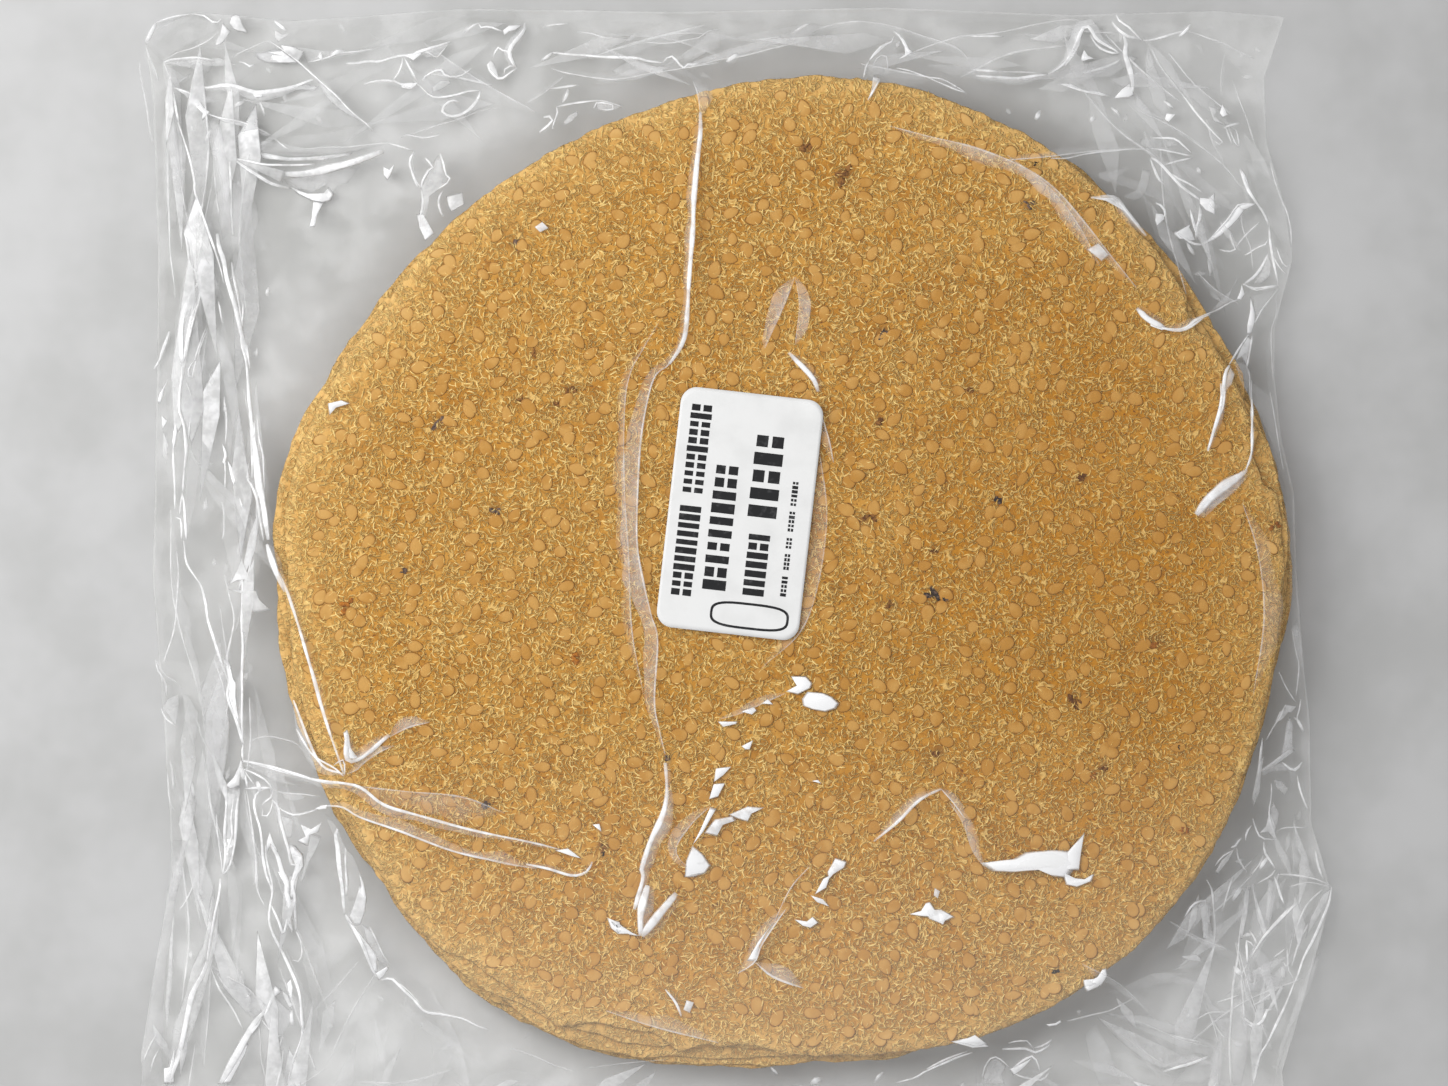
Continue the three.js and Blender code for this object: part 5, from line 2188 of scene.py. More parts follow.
    Sketch(29.36, 106.03, FINE_STEP, -FINE_STEP, """
.3 .4: 6,39 27,34 61,30 98,22 131,17 151,20;
.38 .65: 31,34 51,34 65,34;
.5 .95: 33,68 47,69 61,70;
.35 .5: 61,70 82,70 106,71;
.5 1 -1.4 .45: 37,74 53,75 78,76 92,74 110,72;
.6 1 1.3 .55: 110,72 120,66 129,58 135,48 141,35 144,27 148,23 153,27 158,36 167,42 178,48 181,51;
.4 .85: 143,31 140,43 133,55 127,63;
.4 .85: 152,31 156,39 163,46 173,50 181,51;
.42 .9: 122,82 135,86 149,90 171,94;
.45 .95: 145,71 155,68 163,66 176,61 182,57;
1 .95: 185,31 188,41 187,51 190,61 193,71 195,82 194,92;
.5 1: 178,12 182,19 190,24 198,32 204,38;
.65 1: 174,19 179,26 185,31 190,34 201,36;
.42 .85: 206,38 216,37 227,34 237,31 248,28;
.3 .45: 248,28 261,32 271,36 286,41 302,49 318,56;
.35 .6: 214,47 222,63 235,80 245,93;
.42 .95: 243,90 253,103 261,114 276,131 285,140 283,143 277,139;
.3 .4: 192,96 204,110 224,119 245,131 265,144;
.3 .4: 231,51 255,80 276,98 294,112;
.35 .9: 288,126 292,135 295,143;
.32 .9: 292,127 296,137 301,145;
.32 .9: 298,127 301,135 302,145;
.35 .75: 286,126 294,123 304,121;
.42 .95: 213,136 224,136 237,137 245,143 254,151;
.42 .95: 213,147 224,148 239,151 254,154;
.45 1: 227,163 241,159 255,156;
.35 .7: 111,158 127,158 143,154 161,151 180,149 198,147;
.5 .95: 212,157 216,167 221,178 226,183;
.65 1: 213,156 220,160 227,167 235,176 245,186 262,198;
.42 .9: 227,168 239,176 253,183 265,191;
.42 1: 252,208 255,220 260,235;
.42 1: 262,204 261,216 258,231 258,239;
.45 .9: 217,202 223,205 227,212 223,218;
.3 .4: 296,78 302,98 310,118 318,143;
.3 .35: 241,131 261,143 286,163 306,188;
    """, """
.9: 146,47 150,53 157,56 150,57 144,59 143,56;
.8 .9: 120,82 131,81 141,86 147,89 163,90 171,94 155,91 139,88 127,84;
.12 .8: 122,66 181,53 185,65 172,94 143,89 122,82;
.95: 192,81 196,92 191,95 176,96 184,87;
.3 .5: 210,41 216,61 227,86 231,110 227,114 216,102 210,82 207,61;
.3 .6: 198,90 204,98 214,110 227,118 216,115 204,110 198,102;
.85: 229,111 238,112 231,120 227,117;
.45 .7: 271,104 280,106 276,114 286,123 276,119;
.8: 285,102 290,113 285,115 282,111;
.22 .6: 204,137 237,137 254,152 212,147 202,143;
.92: 262,196 271,197 277,191 277,213 268,209 262,202;
.85: 217,213 224,213 226,218 218,225 216,220;
.85 .9: 235,233 245,227 252,223 250,231 255,239 241,238;
.9 .9: 304,167 308,173 312,186 318,198 312,192 307,182;
.3 .6: 204,168 212,170 210,184 204,196 196,200 185,196 198,190 202,178;
.2 .6: 159,172 190,166 184,173 169,182 161,178;
.8 .7: 153,197 169,198 180,205 192,215 176,206 163,199;
    """),
    # Right margin, above the middle
    Sketch(55.54, 76.11, FINE_STEP, -FINE_STEP, """
.45 1: 125,83 134,76 143,66 151,57 157,48 162,43 178,42;
.5 1: 128,83 118,83 110,80 102,74 96,71;
.42 1: 112,49 114,59 117,69 121,79;
.42 1: 123,48 122,57 117,68;
.6 .95: 163,7 166,16 171,29 179,41 185,49 189,57 192,65;
.35 .6: 193,0 197,18 204,37 210,51 214,69 214,86;
.3 .5: 164,51 165,65 169,76 173,84 176,108;
.42 .9: 152,72 155,81 158,88 151,90 142,88;
.35 .7: 157,88 163,80 171,71 182,61;
.42 .9: 167,94 173,91 180,86 188,83 191,78;
.45 .85 .8 .3: 192,65 193,82 195,96 198,110 201,123;
.35 .75: 199,86 204,100 210,106 213,103;
.35 .7: 195,94 202,106 209,113;
.6 1: 191,92 184,106 176,116 166,123;
.42 .95: 165,123 176,127 188,126 201,124;
.35 .8: 169,125 178,129 190,127 201,125;
.35 .65: 163,138 151,142 139,149 127,154 114,160 106,168;
.35 .8: 201,127 192,139 184,149 177,162;
.42 1: 171,173 163,184 155,196 150,204;
.45 .9: 174,175 172,188 168,207;
.65 1: 150,205 146,212 144,224 143,240;
.45 .9: 141,223 142,240;
.35 .6: 168,206 171,216 170,240;
.3 .4: 199,131 199,153 194,169 194,194 195,220;
.5 .95: 69,161 76,166 88,169 102,169 110,165 118,159 131,154;
    """, """
.92 .95: 126,83 135,79 143,74 153,65 161,57 168,47 163,43 157,49 151,59 141,69 131,78;
.95: 161,43 169,42 179,42 173,45 167,48 163,47;
.85 .9: 100,71 110,64 114,71 117,79 112,80 105,76;
.16 .6: 169,1 191,1 196,18 204,37 210,53 213,71 213,98 196,69 190,57 180,39;
.4 .6: 191,93 194,102 193,114 184,122 176,122 184,111;
.92: 164,123 167,133 163,139 159,138 162,131;
.3 .6: 161,114 155,127 143,139 131,151 143,146 150,141 153,131;
.85 .95: 173,136 177,151 177,161 173,173 169,173 169,165 172,151;
.25 .7: 176,135 198,128 190,141 182,153 178,159 176,147;
.6 .9: 170,176 173,178 171,190 167,204 163,196 157,200 163,186;
.5 .5: 151,207 155,214 152,224 146,231 145,220;
.25 .6: 155,201 169,204 171,224 167,233 161,220;
.95: 57,149 64,151 70,158 61,157;
.95: 69,161 77,166 88,169 82,170 71,166;
.8 .7: 12,38 33,37 41,41 53,55 37,44 24,40;
    """),
    # Left margin, above the middle
    Sketch(-127.72, 49.93, FINE_STEP, -FINE_STEP, """
.38 .95: 67,30 63,39 59,49 57,58 51,68;
.85 1: 86,0 82,10 79,22 78,35 79,49 80,62;
.42 1 -.9 .4: 95,0 90,14 87,27 84,43 81,62;
.55 1: 80,65 79,78 77,94 77,110 81,122 83,135 84,151 82,169 80,192;
.38 .8: 84,82 89,96 90,108 88,120 86,139;
.36 1: 93,59 89,63 86,70 87,77 90,76 92,67 94,58;
.3 .6: 105,29 101,39 98,47 95,59;
.3 .4: 105,31 102,51 98,78 92,102;
.5 1: 71,143 71,163 72,184 72,210;
.4 .8: 80,192 78,204 77,215;
.5 1: 80,194 82,208 83,224 84,240;
.42 .9: 73,217 78,219 79,227 79,240;
.6 1: 133,0 136,16 139,31 140,45 144,59 146,80 147,96 149,114 150,131 150,147 151,163 151,178;
.4 .8: 141,0 141,12 139,31;
1.3 1: 151,122 152,139 154,151 156,169 158,184 161,196 163,208 165,222 168,240;
.35 .8: 143,39 145,47 147,61 148,69;
.35 .7: 155,114 158,139 162,155 163,173 164,192;
.4 .8 1.2 .3: 147,163 146,178 151,186 156,200 158,214 163,240;
.4 .9: 122,96 122,102 124,114 124,131 123,143;
.38 .9: 122,155 123,171 123,188;
.36 .7: 116,0 118,10 120,23;
.5 1: 138,198 140,204 142,211;
.4 .7: 120,202 122,212 122,231 120,240;
.25 .4: 85,143 90,153 96,164 112,163;
    """, """
.95: 66,77 62,86 60,96 57,103 55,100 57,93;
.95: 59,115 61,117 65,120 63,124 60,128;
.2 .8: 80,67 90,98 90,114 87,131 84,143 81,122 77,108 77,90;
.95: 73,120 75,131 73,143 71,149 70,141 71,131;
.4 .7: 61,131 66,143 64,163 60,155;
.95: 120,143 124,150 125,156 122,164 120,162 122,155;
.9: 125,159 131,169 134,177 132,185 129,178;
.2 .7: 98,169 107,170 123,186 139,200 153,220 160,240 151,235 139,214 122,196 106,182;
.2 .7: 110,22 122,37 131,61 139,122 143,155 131,131 122,86 117,57;
    """),
    # Left margin, below the middle
    Sketch(-127.72, -17.39, FINE_STEP, -FINE_STEP, """
.36 .7: 53,0 55,10 61,19 64,27 63,37;
.36 .7: 58,49 63,59 73,67;
.3 .5: 54,2 63,16 73,22 79,29;
.45 .5: 68,102 70,114 71,132;
.35 .6: 65,114 67,141 71,152;
.4 .5: 100,93 103,108 106,131 110,155 116,178 120,196;
.36 .9: 112,0 116,12 120,24 124,41;
.7 1: 122,0 126,12 127,22 125,34 128,46 133,58 137,70 141,85;
.36 1 -1.2 .35: 141,0 141,20 141,41 140,61 141,86;
.5 1: 141,85 140,94 141,102;
.5 1 -1 .25: 141,102 155,104 173,108 194,114 214,120 229,123 243,123;
.45 1: 141,110 149,113 159,118 166,123 170,130;
.42 1: 141,111 144,122 145,130;
.42 1: 142,111 147,119 153,127;
.45 1: 143,130 155,129 170,129;
.3 .5: 171,131 184,134 204,135 218,137;
.3 .35: 146,84 155,79 169,77 184,80 196,84 204,94;
.5 1: 123,131 124,147 123,163 122,180 123,192 122,206 120,216;
.5 1: 137,129 135,147 134,163 133,180 131,194 127,208 121,216;
.38 .9: 130,131 131,143 129,159 130,176 126,188 124,204;
.36 .9: 114,155 115,171 117,190 119,204 120,214;
.3 .7: 96,214 90,227 88,237;
.4 .65 -1.2 .3: 144,131 147,147 150,167 152,184 154,202 155,224 158,240;
.52 1: 163,130 156,133 152,141 153,153 158,169 160,184 161,200 164,216 169,229 171,240;
.42 .9: 171,133 168,140 162,143 160,146;
.35 .85: 171,141 169,151 164,158 160,156 161,151;
.62 1: 170,141 176,147 178,161 181,171 184,182 187,192 189,207;
.36 .8: 176,147 182,152 193,156 204,154 216,150;
.55 1: 173,192 177,204 181,216 184,227 187,240;
.52 1: 191,198 197,204 194,214 190,224 192,240;
.9 1: 237,169 235,176 237,188 238,204 240,220 243,240;
.42 .8: 245,188 245,204 246,222 245,237;
.42 .9: 244,116 235,108 224,102 214,96 206,86 196,69;
.32 .8: 234,105 244,100 245,115;
.3 .4 1.5 .25: 247,114 257,110 265,102 280,92 294,86;
    """, """
.3 .7: 64,40 76,35 76,51 73,66 65,55 60,49;
.2 .6: 80,35 86,37 92,47 96,53 94,78 90,86 82,61;
.35 .7: 88,122 94,147 88,178 80,204 73,240 67,240 70,214 78,194 81,173 84,147;
.9 .9: 123,0 128,4 131,18 134,23 134,37 136,55 141,84 135,63 129,49 125,41 127,24;
.25 .7: 110,56 120,49 121,71 116,106 106,114 108,86;
.3 .6: 143,105 163,107 184,114 184,122 200,127 176,123 159,115;
.3 .7: 180,133 202,135 204,139 192,142 182,139;
.75 .9: 139,100 141,106 138,116 137,127 127,131 123,127 131,119 136,109;
.5 .8: 123,127 137,129 135,153 133,180 131,196 123,214 122,184 123,155;
.9: 124,180 133,180 131,188 127,190;
.9: 214,149 221,146 227,145 226,149 218,150;
.35 .8: 178,156 188,159 192,161 190,178 184,180 180,170;
.92 .95: 164,196 165,182 168,173 172,184 176,192 173,194 169,184 166,190;
.9: 178,212 184,216 185,221 182,225;
.8 .9: 187,186 194,188 201,196 202,207 194,220 192,240 188,240 190,220 194,206 190,196;
.8 .9: 199,165 210,170 221,163 217,173 208,176 206,187 196,182 204,178;
.35 .8: 210,174 220,178 216,188 207,204 202,220 198,225 204,200;
.8 .9: 259,214 263,222 266,240 260,240 261,227;
.2 .7: 225,156 235,164 245,188 253,196 261,216 263,240 247,240 247,204 235,184;
.88: 244,73 247,71 249,73 251,88 256,95 260,100 248,99 246,88;
.9 .7: 259,100 267,93 278,83 285,78 282,84 272,93 264,98;
    """),
    # Lower left corner
    Sketch(-127.72, -52.17, FINE_STEP, -FINE_STEP, """
.52 1: 118,34 117,49 113,69 109,90 106,106 105,118;
1.2 1: 105,117 100,131 92,145 88,157 84,176 81,192 77,208 71,227 67,240;
.3 .7: 96,31 90,43 82,59 76,66;
.36 .8: 56,206 51,216 48,227;
.3 .6: 55,188 47,202 40,219;
.3 .5: 107,120 122,131 143,143 155,155 162,161;
.3 .5: 110,123 122,141 141,161 152,176;
.36 .65: 108,123 116,143 131,167 141,187;
.58 1: 164,0 164,12 167,27 170,39 170,51 168,61 167,76 171,90 178,104 184,116 191,131 196,143
199,157 200,173 201,188 198,200 193,212 189,224 186,240;
.36 .6: 153,0 154,20 154,39 157,51 164,64;
.62 1: 169,61 173,69 178,80 181,91 184,82 187,73 190,88;
.85 1: 169,0 176,12 180,27 185,37 185,49 188,61 186,72;
.52 1: 189,14 191,22 197,19 196,27 191,39 193,51 193,67 194,86;
.5 .85: 194,87 199,98 200,110 197,117 191,116;
.4 .75: 159,176 167,186 176,193 181,192;
.36 .5: 181,192 176,206 172,220 173,229;
1.3 1: 162,168 153,178 143,195 136,208 129,220 122,233 118,240;
.3 .4: 156,180 158,196 159,216 163,235;
.3 .6: 204,202 208,212 214,227;
.9 1: 238,0 238,20 241,41 243,68;
.38 .8: 245,16 246,41;
.8 1: 244,70 251,82 257,92 263,104 267,116 273,129 278,135;
.4 .7: 269,82 276,96 281,108 288,119;
.45 .9: 280,136 290,134 298,141 308,151 314,157;
    """, """
.22 .8: 69,0 85,1 77,41 71,61 67,98 63,127 61,163 59,240 38,240 42,204 49,143 60,82 64,49 67,41;
.4 .7: 72,61 70,102 70,131 67,163 64,190 62,163 65,131 67,94;
.3 .8: 111,42 108,69 102,98 90,122 82,155 71,184 65,224 62,240 66,240 78,204 87,163 102,122 112,67;
.35 .7: 118,53 116,90 111,114 102,151 92,184 82,204 88,163 106,114 111,82;
.8: 61,225 67,224 72,204 71,240 61,240;
.32 .8: 111,125 131,136 147,145 164,161 159,170 152,176 139,161 122,143;
.9: 185,72 189,76 191,87 188,84 185,78;
.95: 176,27 185,30 186,37 183,41;
.9: 184,51 190,55 189,66 185,62;
.6 .8: 190,2 201,10 202,20 196,35 193,53 192,39 197,20 190,13;
.82 .9: 173,142 180,147 173,152 169,160 163,174 161,173 167,157 171,146;
.6 .8: 180,147 186,151 189,159 192,161 188,164 183,156;
.8 .9: 185,139 189,135 191,143 190,156 187,151;
.25 .9: 173,153 184,164 190,168 189,178 180,192 173,192 164,178 170,161;
.85 .95: 141,199 146,201 143,210 133,229 127,240 116,240 129,223;
.8 .9: 151,178 160,173 158,180 147,194 141,202 143,194;
.15 .8: 143,204 157,184 159,214 161,240 131,240;
.8 .9: 244,71 258,88 268,100 276,111 276,127 273,131 266,115 256,94;
.7 .8: 259,41 264,41 266,53 264,67 259,80 253,80 248,72 253,60;
.9: 274,129 286,122 287,124 282,132 277,136;
.35 .8: 262,80 271,86 278,102 286,121 276,115 266,96;
    """),
    # Bottom, left of the middle
    Sketch(-75.36, -52.17, FINE_STEP, -FINE_STEP, """
.46 1: 9,134 18,141 31,153 44,167 61,170 82,174 96,181 108,185;
.3 .8: 14,136 27,146 40,160;
.25 .3: 204,224 245,218 286,214;
.3 .35: 131,204 155,212 176,222 196,227;
    """, """
.95: 228,72 238,76 242,80 253,87 260,90 251,89 241,85 238,88 231,82;
    """),
    # Bottom, right of the middle
    Sketch(14.40, -52.17, FINE_STEP, -FINE_STEP, """
.42 .9: 113,207 98,212 82,219 65,227 55,233 37,238;
.36 .8: 107,206 86,214 67,224;
.36 .8: 149,198 157,196 169,196 172,201 175,205;
.46 1: 143,204 155,204 167,204 176,208 184,205 191,200;
.36 .9: 176,203 184,201 193,195;
.42 .85: 123,235 126,222 131,214 136,212 143,216 150,223;
.42 1: 153,225 163,217 174,212 180,222 181,227;
.42 .8: 155,229 163,233 173,235 184,236 190,229;
    """, """
.95: 50,68 61,65 66,57 70,56 76,65 74,71 61,70;
.85 .9: 79,67 90,69 86,73 83,79 79,76;
.98: 224,134 234,133 238,131 243,123 247,124 246,133 241,140 235,138 229,141 225,141;
.95: 94,196 106,193 115,189 123,195 127,198 118,201 108,198;
.95: 187,179 196,178 201,175 202,177 197,180 190,181;
.35 .8: 125,231 131,217 137,213 147,222 143,231 146,240 124,240;
.9 .9: 151,225 161,220 174,213 168,220 161,227 155,231;
    """),
    # Right margin, below the middle
    Sketch(51.80, -24.87, FINE_STEP, -FINE_STEP, """
.36 .7: 243,0 241,12 239,20 245,32;
.4 .9: 224,63 235,71 241,69 244,63;
.36 .8: 213,84 213,96 211,114 214,127 219,141;
.36 .8: 194,119 198,131 204,139 219,141;
.5 1: 240,77 242,88 245,98 250,110;
.3 .6: 219,133 227,129 251,129;
.42 .9: 172,148 176,147 180,141 183,138;
.4 .8: 187,141 188,133 193,126;
.36 .7: 156,166 163,157 176,150;
.36 .6: 178,147 179,157 183,165 189,174;
.36 .6: 206,155 202,165 193,176;
.46 .9: 206,143 207,153 212,161 218,170;
.5 1: 218,171 213,178 208,180 200,185;
.46 1: 217,178 220,186 223,196 227,206;
.4 .7: 174,178 169,194 164,213;
.46 1: 125,218 133,206 140,202 147,201;
.36 .6: 147,180 152,188 154,198 156,224;
.8 .55: 195,186 199,204 204,220 209,237;
.36 .7: 275,188 257,180 233,176 220,176;
.3 .6: 275,189 255,184 245,185 233,188;
.4 .6: 267,190 255,200 247,210 241,224 237,240;
.46 .85: 233,208 222,220 214,229 206,240;
.4 .7: 258,151 261,167 266,180;
    """, """
.5 .7: 216,22 221,12 227,9 231,12 222,21;
.3 .7: 231,18 235,22 235,49 222,58 226,41;
.45 .7: 235,49 237,52 224,61 212,69 202,73 204,68 216,63;
.35 .7: 220,64 225,64 235,71 216,72 204,76 204,72;
.6 .8: 210,117 213,114 218,127 218,141 210,133 201,134 208,127;
.4 .7: 205,55 202,73 201,92 195,106 193,98 196,82 199,65;
.3 .7: 216,80 224,82 231,90 227,96 218,88;
.4 .8: 176,149 170,160 159,174 156,172 163,160;
.35 .8: 139,204 147,200 156,240 145,240 143,220;
.6 .9: 145,222 150,222 150,240 145,240;
.5 .8: 187,190 193,190 190,216 185,240 182,240 186,212;
.35 .8: 211,180 216,182 214,204 212,224 208,224 210,200;
.25 .7: 244,155 251,169 262,182 245,180 241,170;
.4 .8: 274,191 270,204 258,224 249,240 253,220 266,196;
    """),
    # Lower right corner
    Sketch(51.80, -52.17, FINE_STEP, -FINE_STEP, """
.5 .85: 275,43 272,59 264,78 256,96 247,114 241,131 237,139;
.42 .65: 190,42 186,67 182,92 180,114 176,139 174,173 172,204 173,240;
.52 .9 .9 .3: 239,59 234,63 222,76 208,90 196,108 193,113;
.4 .9: 192,86 197,94 199,100;
.45 .95: 197,103 193,98 189,97 190,120;
.4 .6: 190,120 184,131 185,147 186,159 187,173 188,178;
.4 .8: 229,104 216,114;
.36 .7: 230,104 231,123 226,118;
.3 .5: 192,163 204,157 223,143;
.62 .95: 215,165 210,166 206,176 200,181 194,180 187,174;
.4 .7: 189,180 196,184 199,194;
.52 .9 1.4 .2: 237,139 229,159 218,182 210,200 202,214 196,240;
.42 .7: 251,79 243,96 235,122;
.3 .5: 235,94 231,122 238,137;
.36 .6: 129,182 139,176 153,169 173,169;
.36 .7: 159,159 172,155 184,150;
.4 .5: 153,171 159,184 167,194 172,196;
.36 .6: 114,192 131,196 143,199;
.36 .5: 155,59 157,82 156,98 153,115;
.36 .6: 77,153 65,159 51,166 37,169 20,173 8,176;
.7 1: 106,228 118,224 133,220 152,213;
.3 .4: 41,173 67,194 98,216 114,227;
.3 .4: 51,169 86,180 122,196 155,204 169,204;
    """, """
.25 .8: 175,155 184,151 188,176 191,184 190,214 184,240 176,240 173,204;
.5 .8: 195,39 198,47 201,63 210,86 207,94 200,76;
.35 .7: 194,127 206,122 217,116 209,129 196,133;
.3 .7: 192,139 210,131 227,134 212,141 196,149 188,147;
.5 .8: 224,141 227,143 217,161 213,167 210,166;
.2 .8: 263,111 256,139 245,163 233,184 227,204 221,224 217,240 222,204 233,173 245,143 255,118;
.25 .8: 157,176 173,174 172,196 164,190;
.6 .8: 123,111 131,111 139,110 143,114 143,117 133,116 124,113;
.35 .7: 141,60 149,58 152,73 150,86 153,104 147,102 145,82;
.3 .8: 41,174 65,184 92,196 114,206 131,216 143,220 122,223 102,225 82,213 61,196;
.2 .8: 37,180 51,204 62,240 41,240 31,214 27,192;
.22 .7: 49,170 82,171 114,180 143,194 114,190 82,182;
.2 .8: 62,176 102,188 151,196 169,204 160,229 143,240 115,240 133,222 155,213 123,204;
    """),
    # Right edge of the stack, above the middle
    Sketch(63.02, 34.97, FINE_STEP, -FINE_STEP, """
.6 1: 101,4 102,16 100,29 96,43 92,57 88,71;
.46 .9: 105,0 105,12 103,27 98,39;
.42 .9: 133,0 132,16 133,33 132,51 132,67 131,78 127,88 123,94;
1.7 .98 .8 .4: 124,93 114,99 104,105 94,114 84,123 77,134;
.3 .5: 152,12 157,41 161,67 165,90;
    """, """
.2 .7: 134,2 151,16 157,45 163,71 159,76 151,57 143,39 134,22;
    """),
    # Right edge of the stack, below the middle
    Sketch(63.02, 5.05, FINE_STEP, -FINE_STEP, """
.35 .5: 173,88 178,114 181,127 178,156;
.3 .6: 159,131 167,147 177,162;
.46 .7: 167,165 161,178 155,186 147,200;
.46 .7: 176,178 181,182 186,192;
.5 .5: 143,198 141,216 139,240;
.5 .6: 176,208 159,220 143,231;
.42 .9: 167,224 174,231 182,227 185,223;
    """, """
.25 .7: 173,88 180,122 185,131 184,98 178,82;
.5 .9: 166,165 179,167 173,173 167,172;
.3 .8: 169,180 175,184 175,208 164,217 167,194;
    """),
)


@dataclass(frozen=True)
class Sheaf:
    """Random folds in one stretch of the margin, all running much the same way.

    Attributes:
        count: number of folds.
        box: least and greatest place across, then up.
        heading: direction of the folds in degrees, and its spread.
        length: least and greatest length.
        core: least and greatest width of the crest.
        strength: least and greatest whiteness of the crest.
        veil: greatest width of the milky film.
        veil_strength: how white that film is beside the crest.
        haze: how much whiter than usual its facets are.
    """

    count: int
    box: tuple[float, float, float, float]
    heading: Range
    length: Range
    core: Range = (0.2, 0.45)
    strength: Range = (0.15, 0.6)
    veil: float = 3.0
    veil_strength: float = 0.2
    haze: float = 1.0


SHEAVES = (
    Sheaf(15, (-119, -99, -40, 96), (88, 7), (10, 42), haze=1.9),
    Sheaf(12, (-118, -88, -118, -30), (98, 14), (8, 36), haze=1.8),
    Sheaf(8, (-96, -40, -118, -72), (60, 40), (6, 26)),
    Sheaf(7, (-112, -40, 84, 103), (4, 22), (8, 34)),
    Sheaf(11, (-40, 60, 92, 103), (8, 18), (8, 30)),
    Sheaf(12, (55, 93, 50, 103), (-55, 18), (7, 30)),
    Sheaf(12, (92, 100, -60, 48), (92, 18), (4, 12), veil=1.6),
    Sheaf(15, (76, 101, -116, -55), (70, 26), (6, 26), haze=1.4),
    Sheaf(18, (-60, 90, -118, -97), (0, 40), (6, 28), haze=1.5),
    Sheaf(8, (60, 90, -96, -66), (-30, 30), (5, 16)),
    Sheaf(14, (-119, -96, -90, 95), (90, 16), (1.2, 3.4), (0.5, 1.1), (0.5, 1.0), 1.0),
    Sheaf(10, (-110, 92, 84, 103), (10, 50), (1.2, 3.4), (0.5, 1.1), (0.5, 1.0), 1.0),
    Sheaf(8, (72, 98, 50, 100), (-50, 40), (1.2, 3.4), (0.5, 1.1), (0.5, 1.0), 1.0),
    Sheaf(10, (74, 101, -112, -40), (70, 40), (1.2, 3.4), (0.5, 1.1), (0.5, 1.0), 1.0),
    Sheaf(12, (-110, 80, -117, -80), (30, 60), (1.2, 3.4), (0.5, 1.1), (0.5, 1.0), 1.0),
)


@dataclass(frozen=True)
class RibbonForm:
    """How a fold's widths, heights and whiteness follow from its numbers and from the arch.

    The arch is a half sine wave along the fold, 0 at both ends. Pairs are a share that stays at the
    ends and a share that follows the arch.

    Attributes:
        end: least part of the half wave, so that the arch is never quite 0.
        uneven_cell: size of the unevenness along the fold.
        uneven_run: range of its random start.
        crest_half: half width of the crest, as a share of the fold's.
        crest_arch: the pair of its width.
        crest_uneven: how uneven its width is.
        crest_power: power of the arch in its width.
        veil_power: the same for the milky film.
        veil_uneven: how uneven the milky film's width is.
        veil_least: its least width, in half widths of the crest.
        white_power: power of the arch in the crest's whiteness.
        white_uneven: how uneven that is.
        milky_power: power of the arch in the milky film's whiteness.
        milky_least: its least whiteness, as a share of the crest's.
        sharp: range of the share of whiteness that reaches the milky film's far edge.
        lift: height of the narrowest crest, how it grows with its width, and its greatest.
        lift_arch: the pair of that height.
        foot: height of the strip's far edges.
        veil_height: height of the milky film by its far edge.
        sunk: depth of the strip's lower corner.
        veil_places: places of the milky film's two corners, as shares of its width.
        slope_heights: heights of the milky film's middle and of the crest's side, as shares.
        crest_top: half width of the crest's flat top, as a share.
    """

    end: float = 0.01
    uneven_cell: float = 4.0
    uneven_run: float = 90.0
    crest_half: float = 0.58
    crest_arch: Range = (0.45, 0.55)
    crest_uneven: float = 0.3
    crest_power: float = 0.5
    veil_power: float = 0.8
    veil_uneven: float = 0.35
    veil_least: float = 2.3
    white_power: float = 0.2
    white_uneven: float = 0.15
    milky_power: float = 0.5
    milky_least: float = 0.12
    sharp: Range = (0.1, 0.75)
    lift: tuple[float, float, float] = (0.2, 0.3, 0.65)
    lift_arch: Range = (0.3, 0.7)
    foot: float = 0.03
    veil_height: float = 0.06
    sunk: float = -0.05
    veil_places: Range = (0.93, 0.5)
    slope_heights: Range = (0.25, 0.6)
    crest_top: float = 0.55


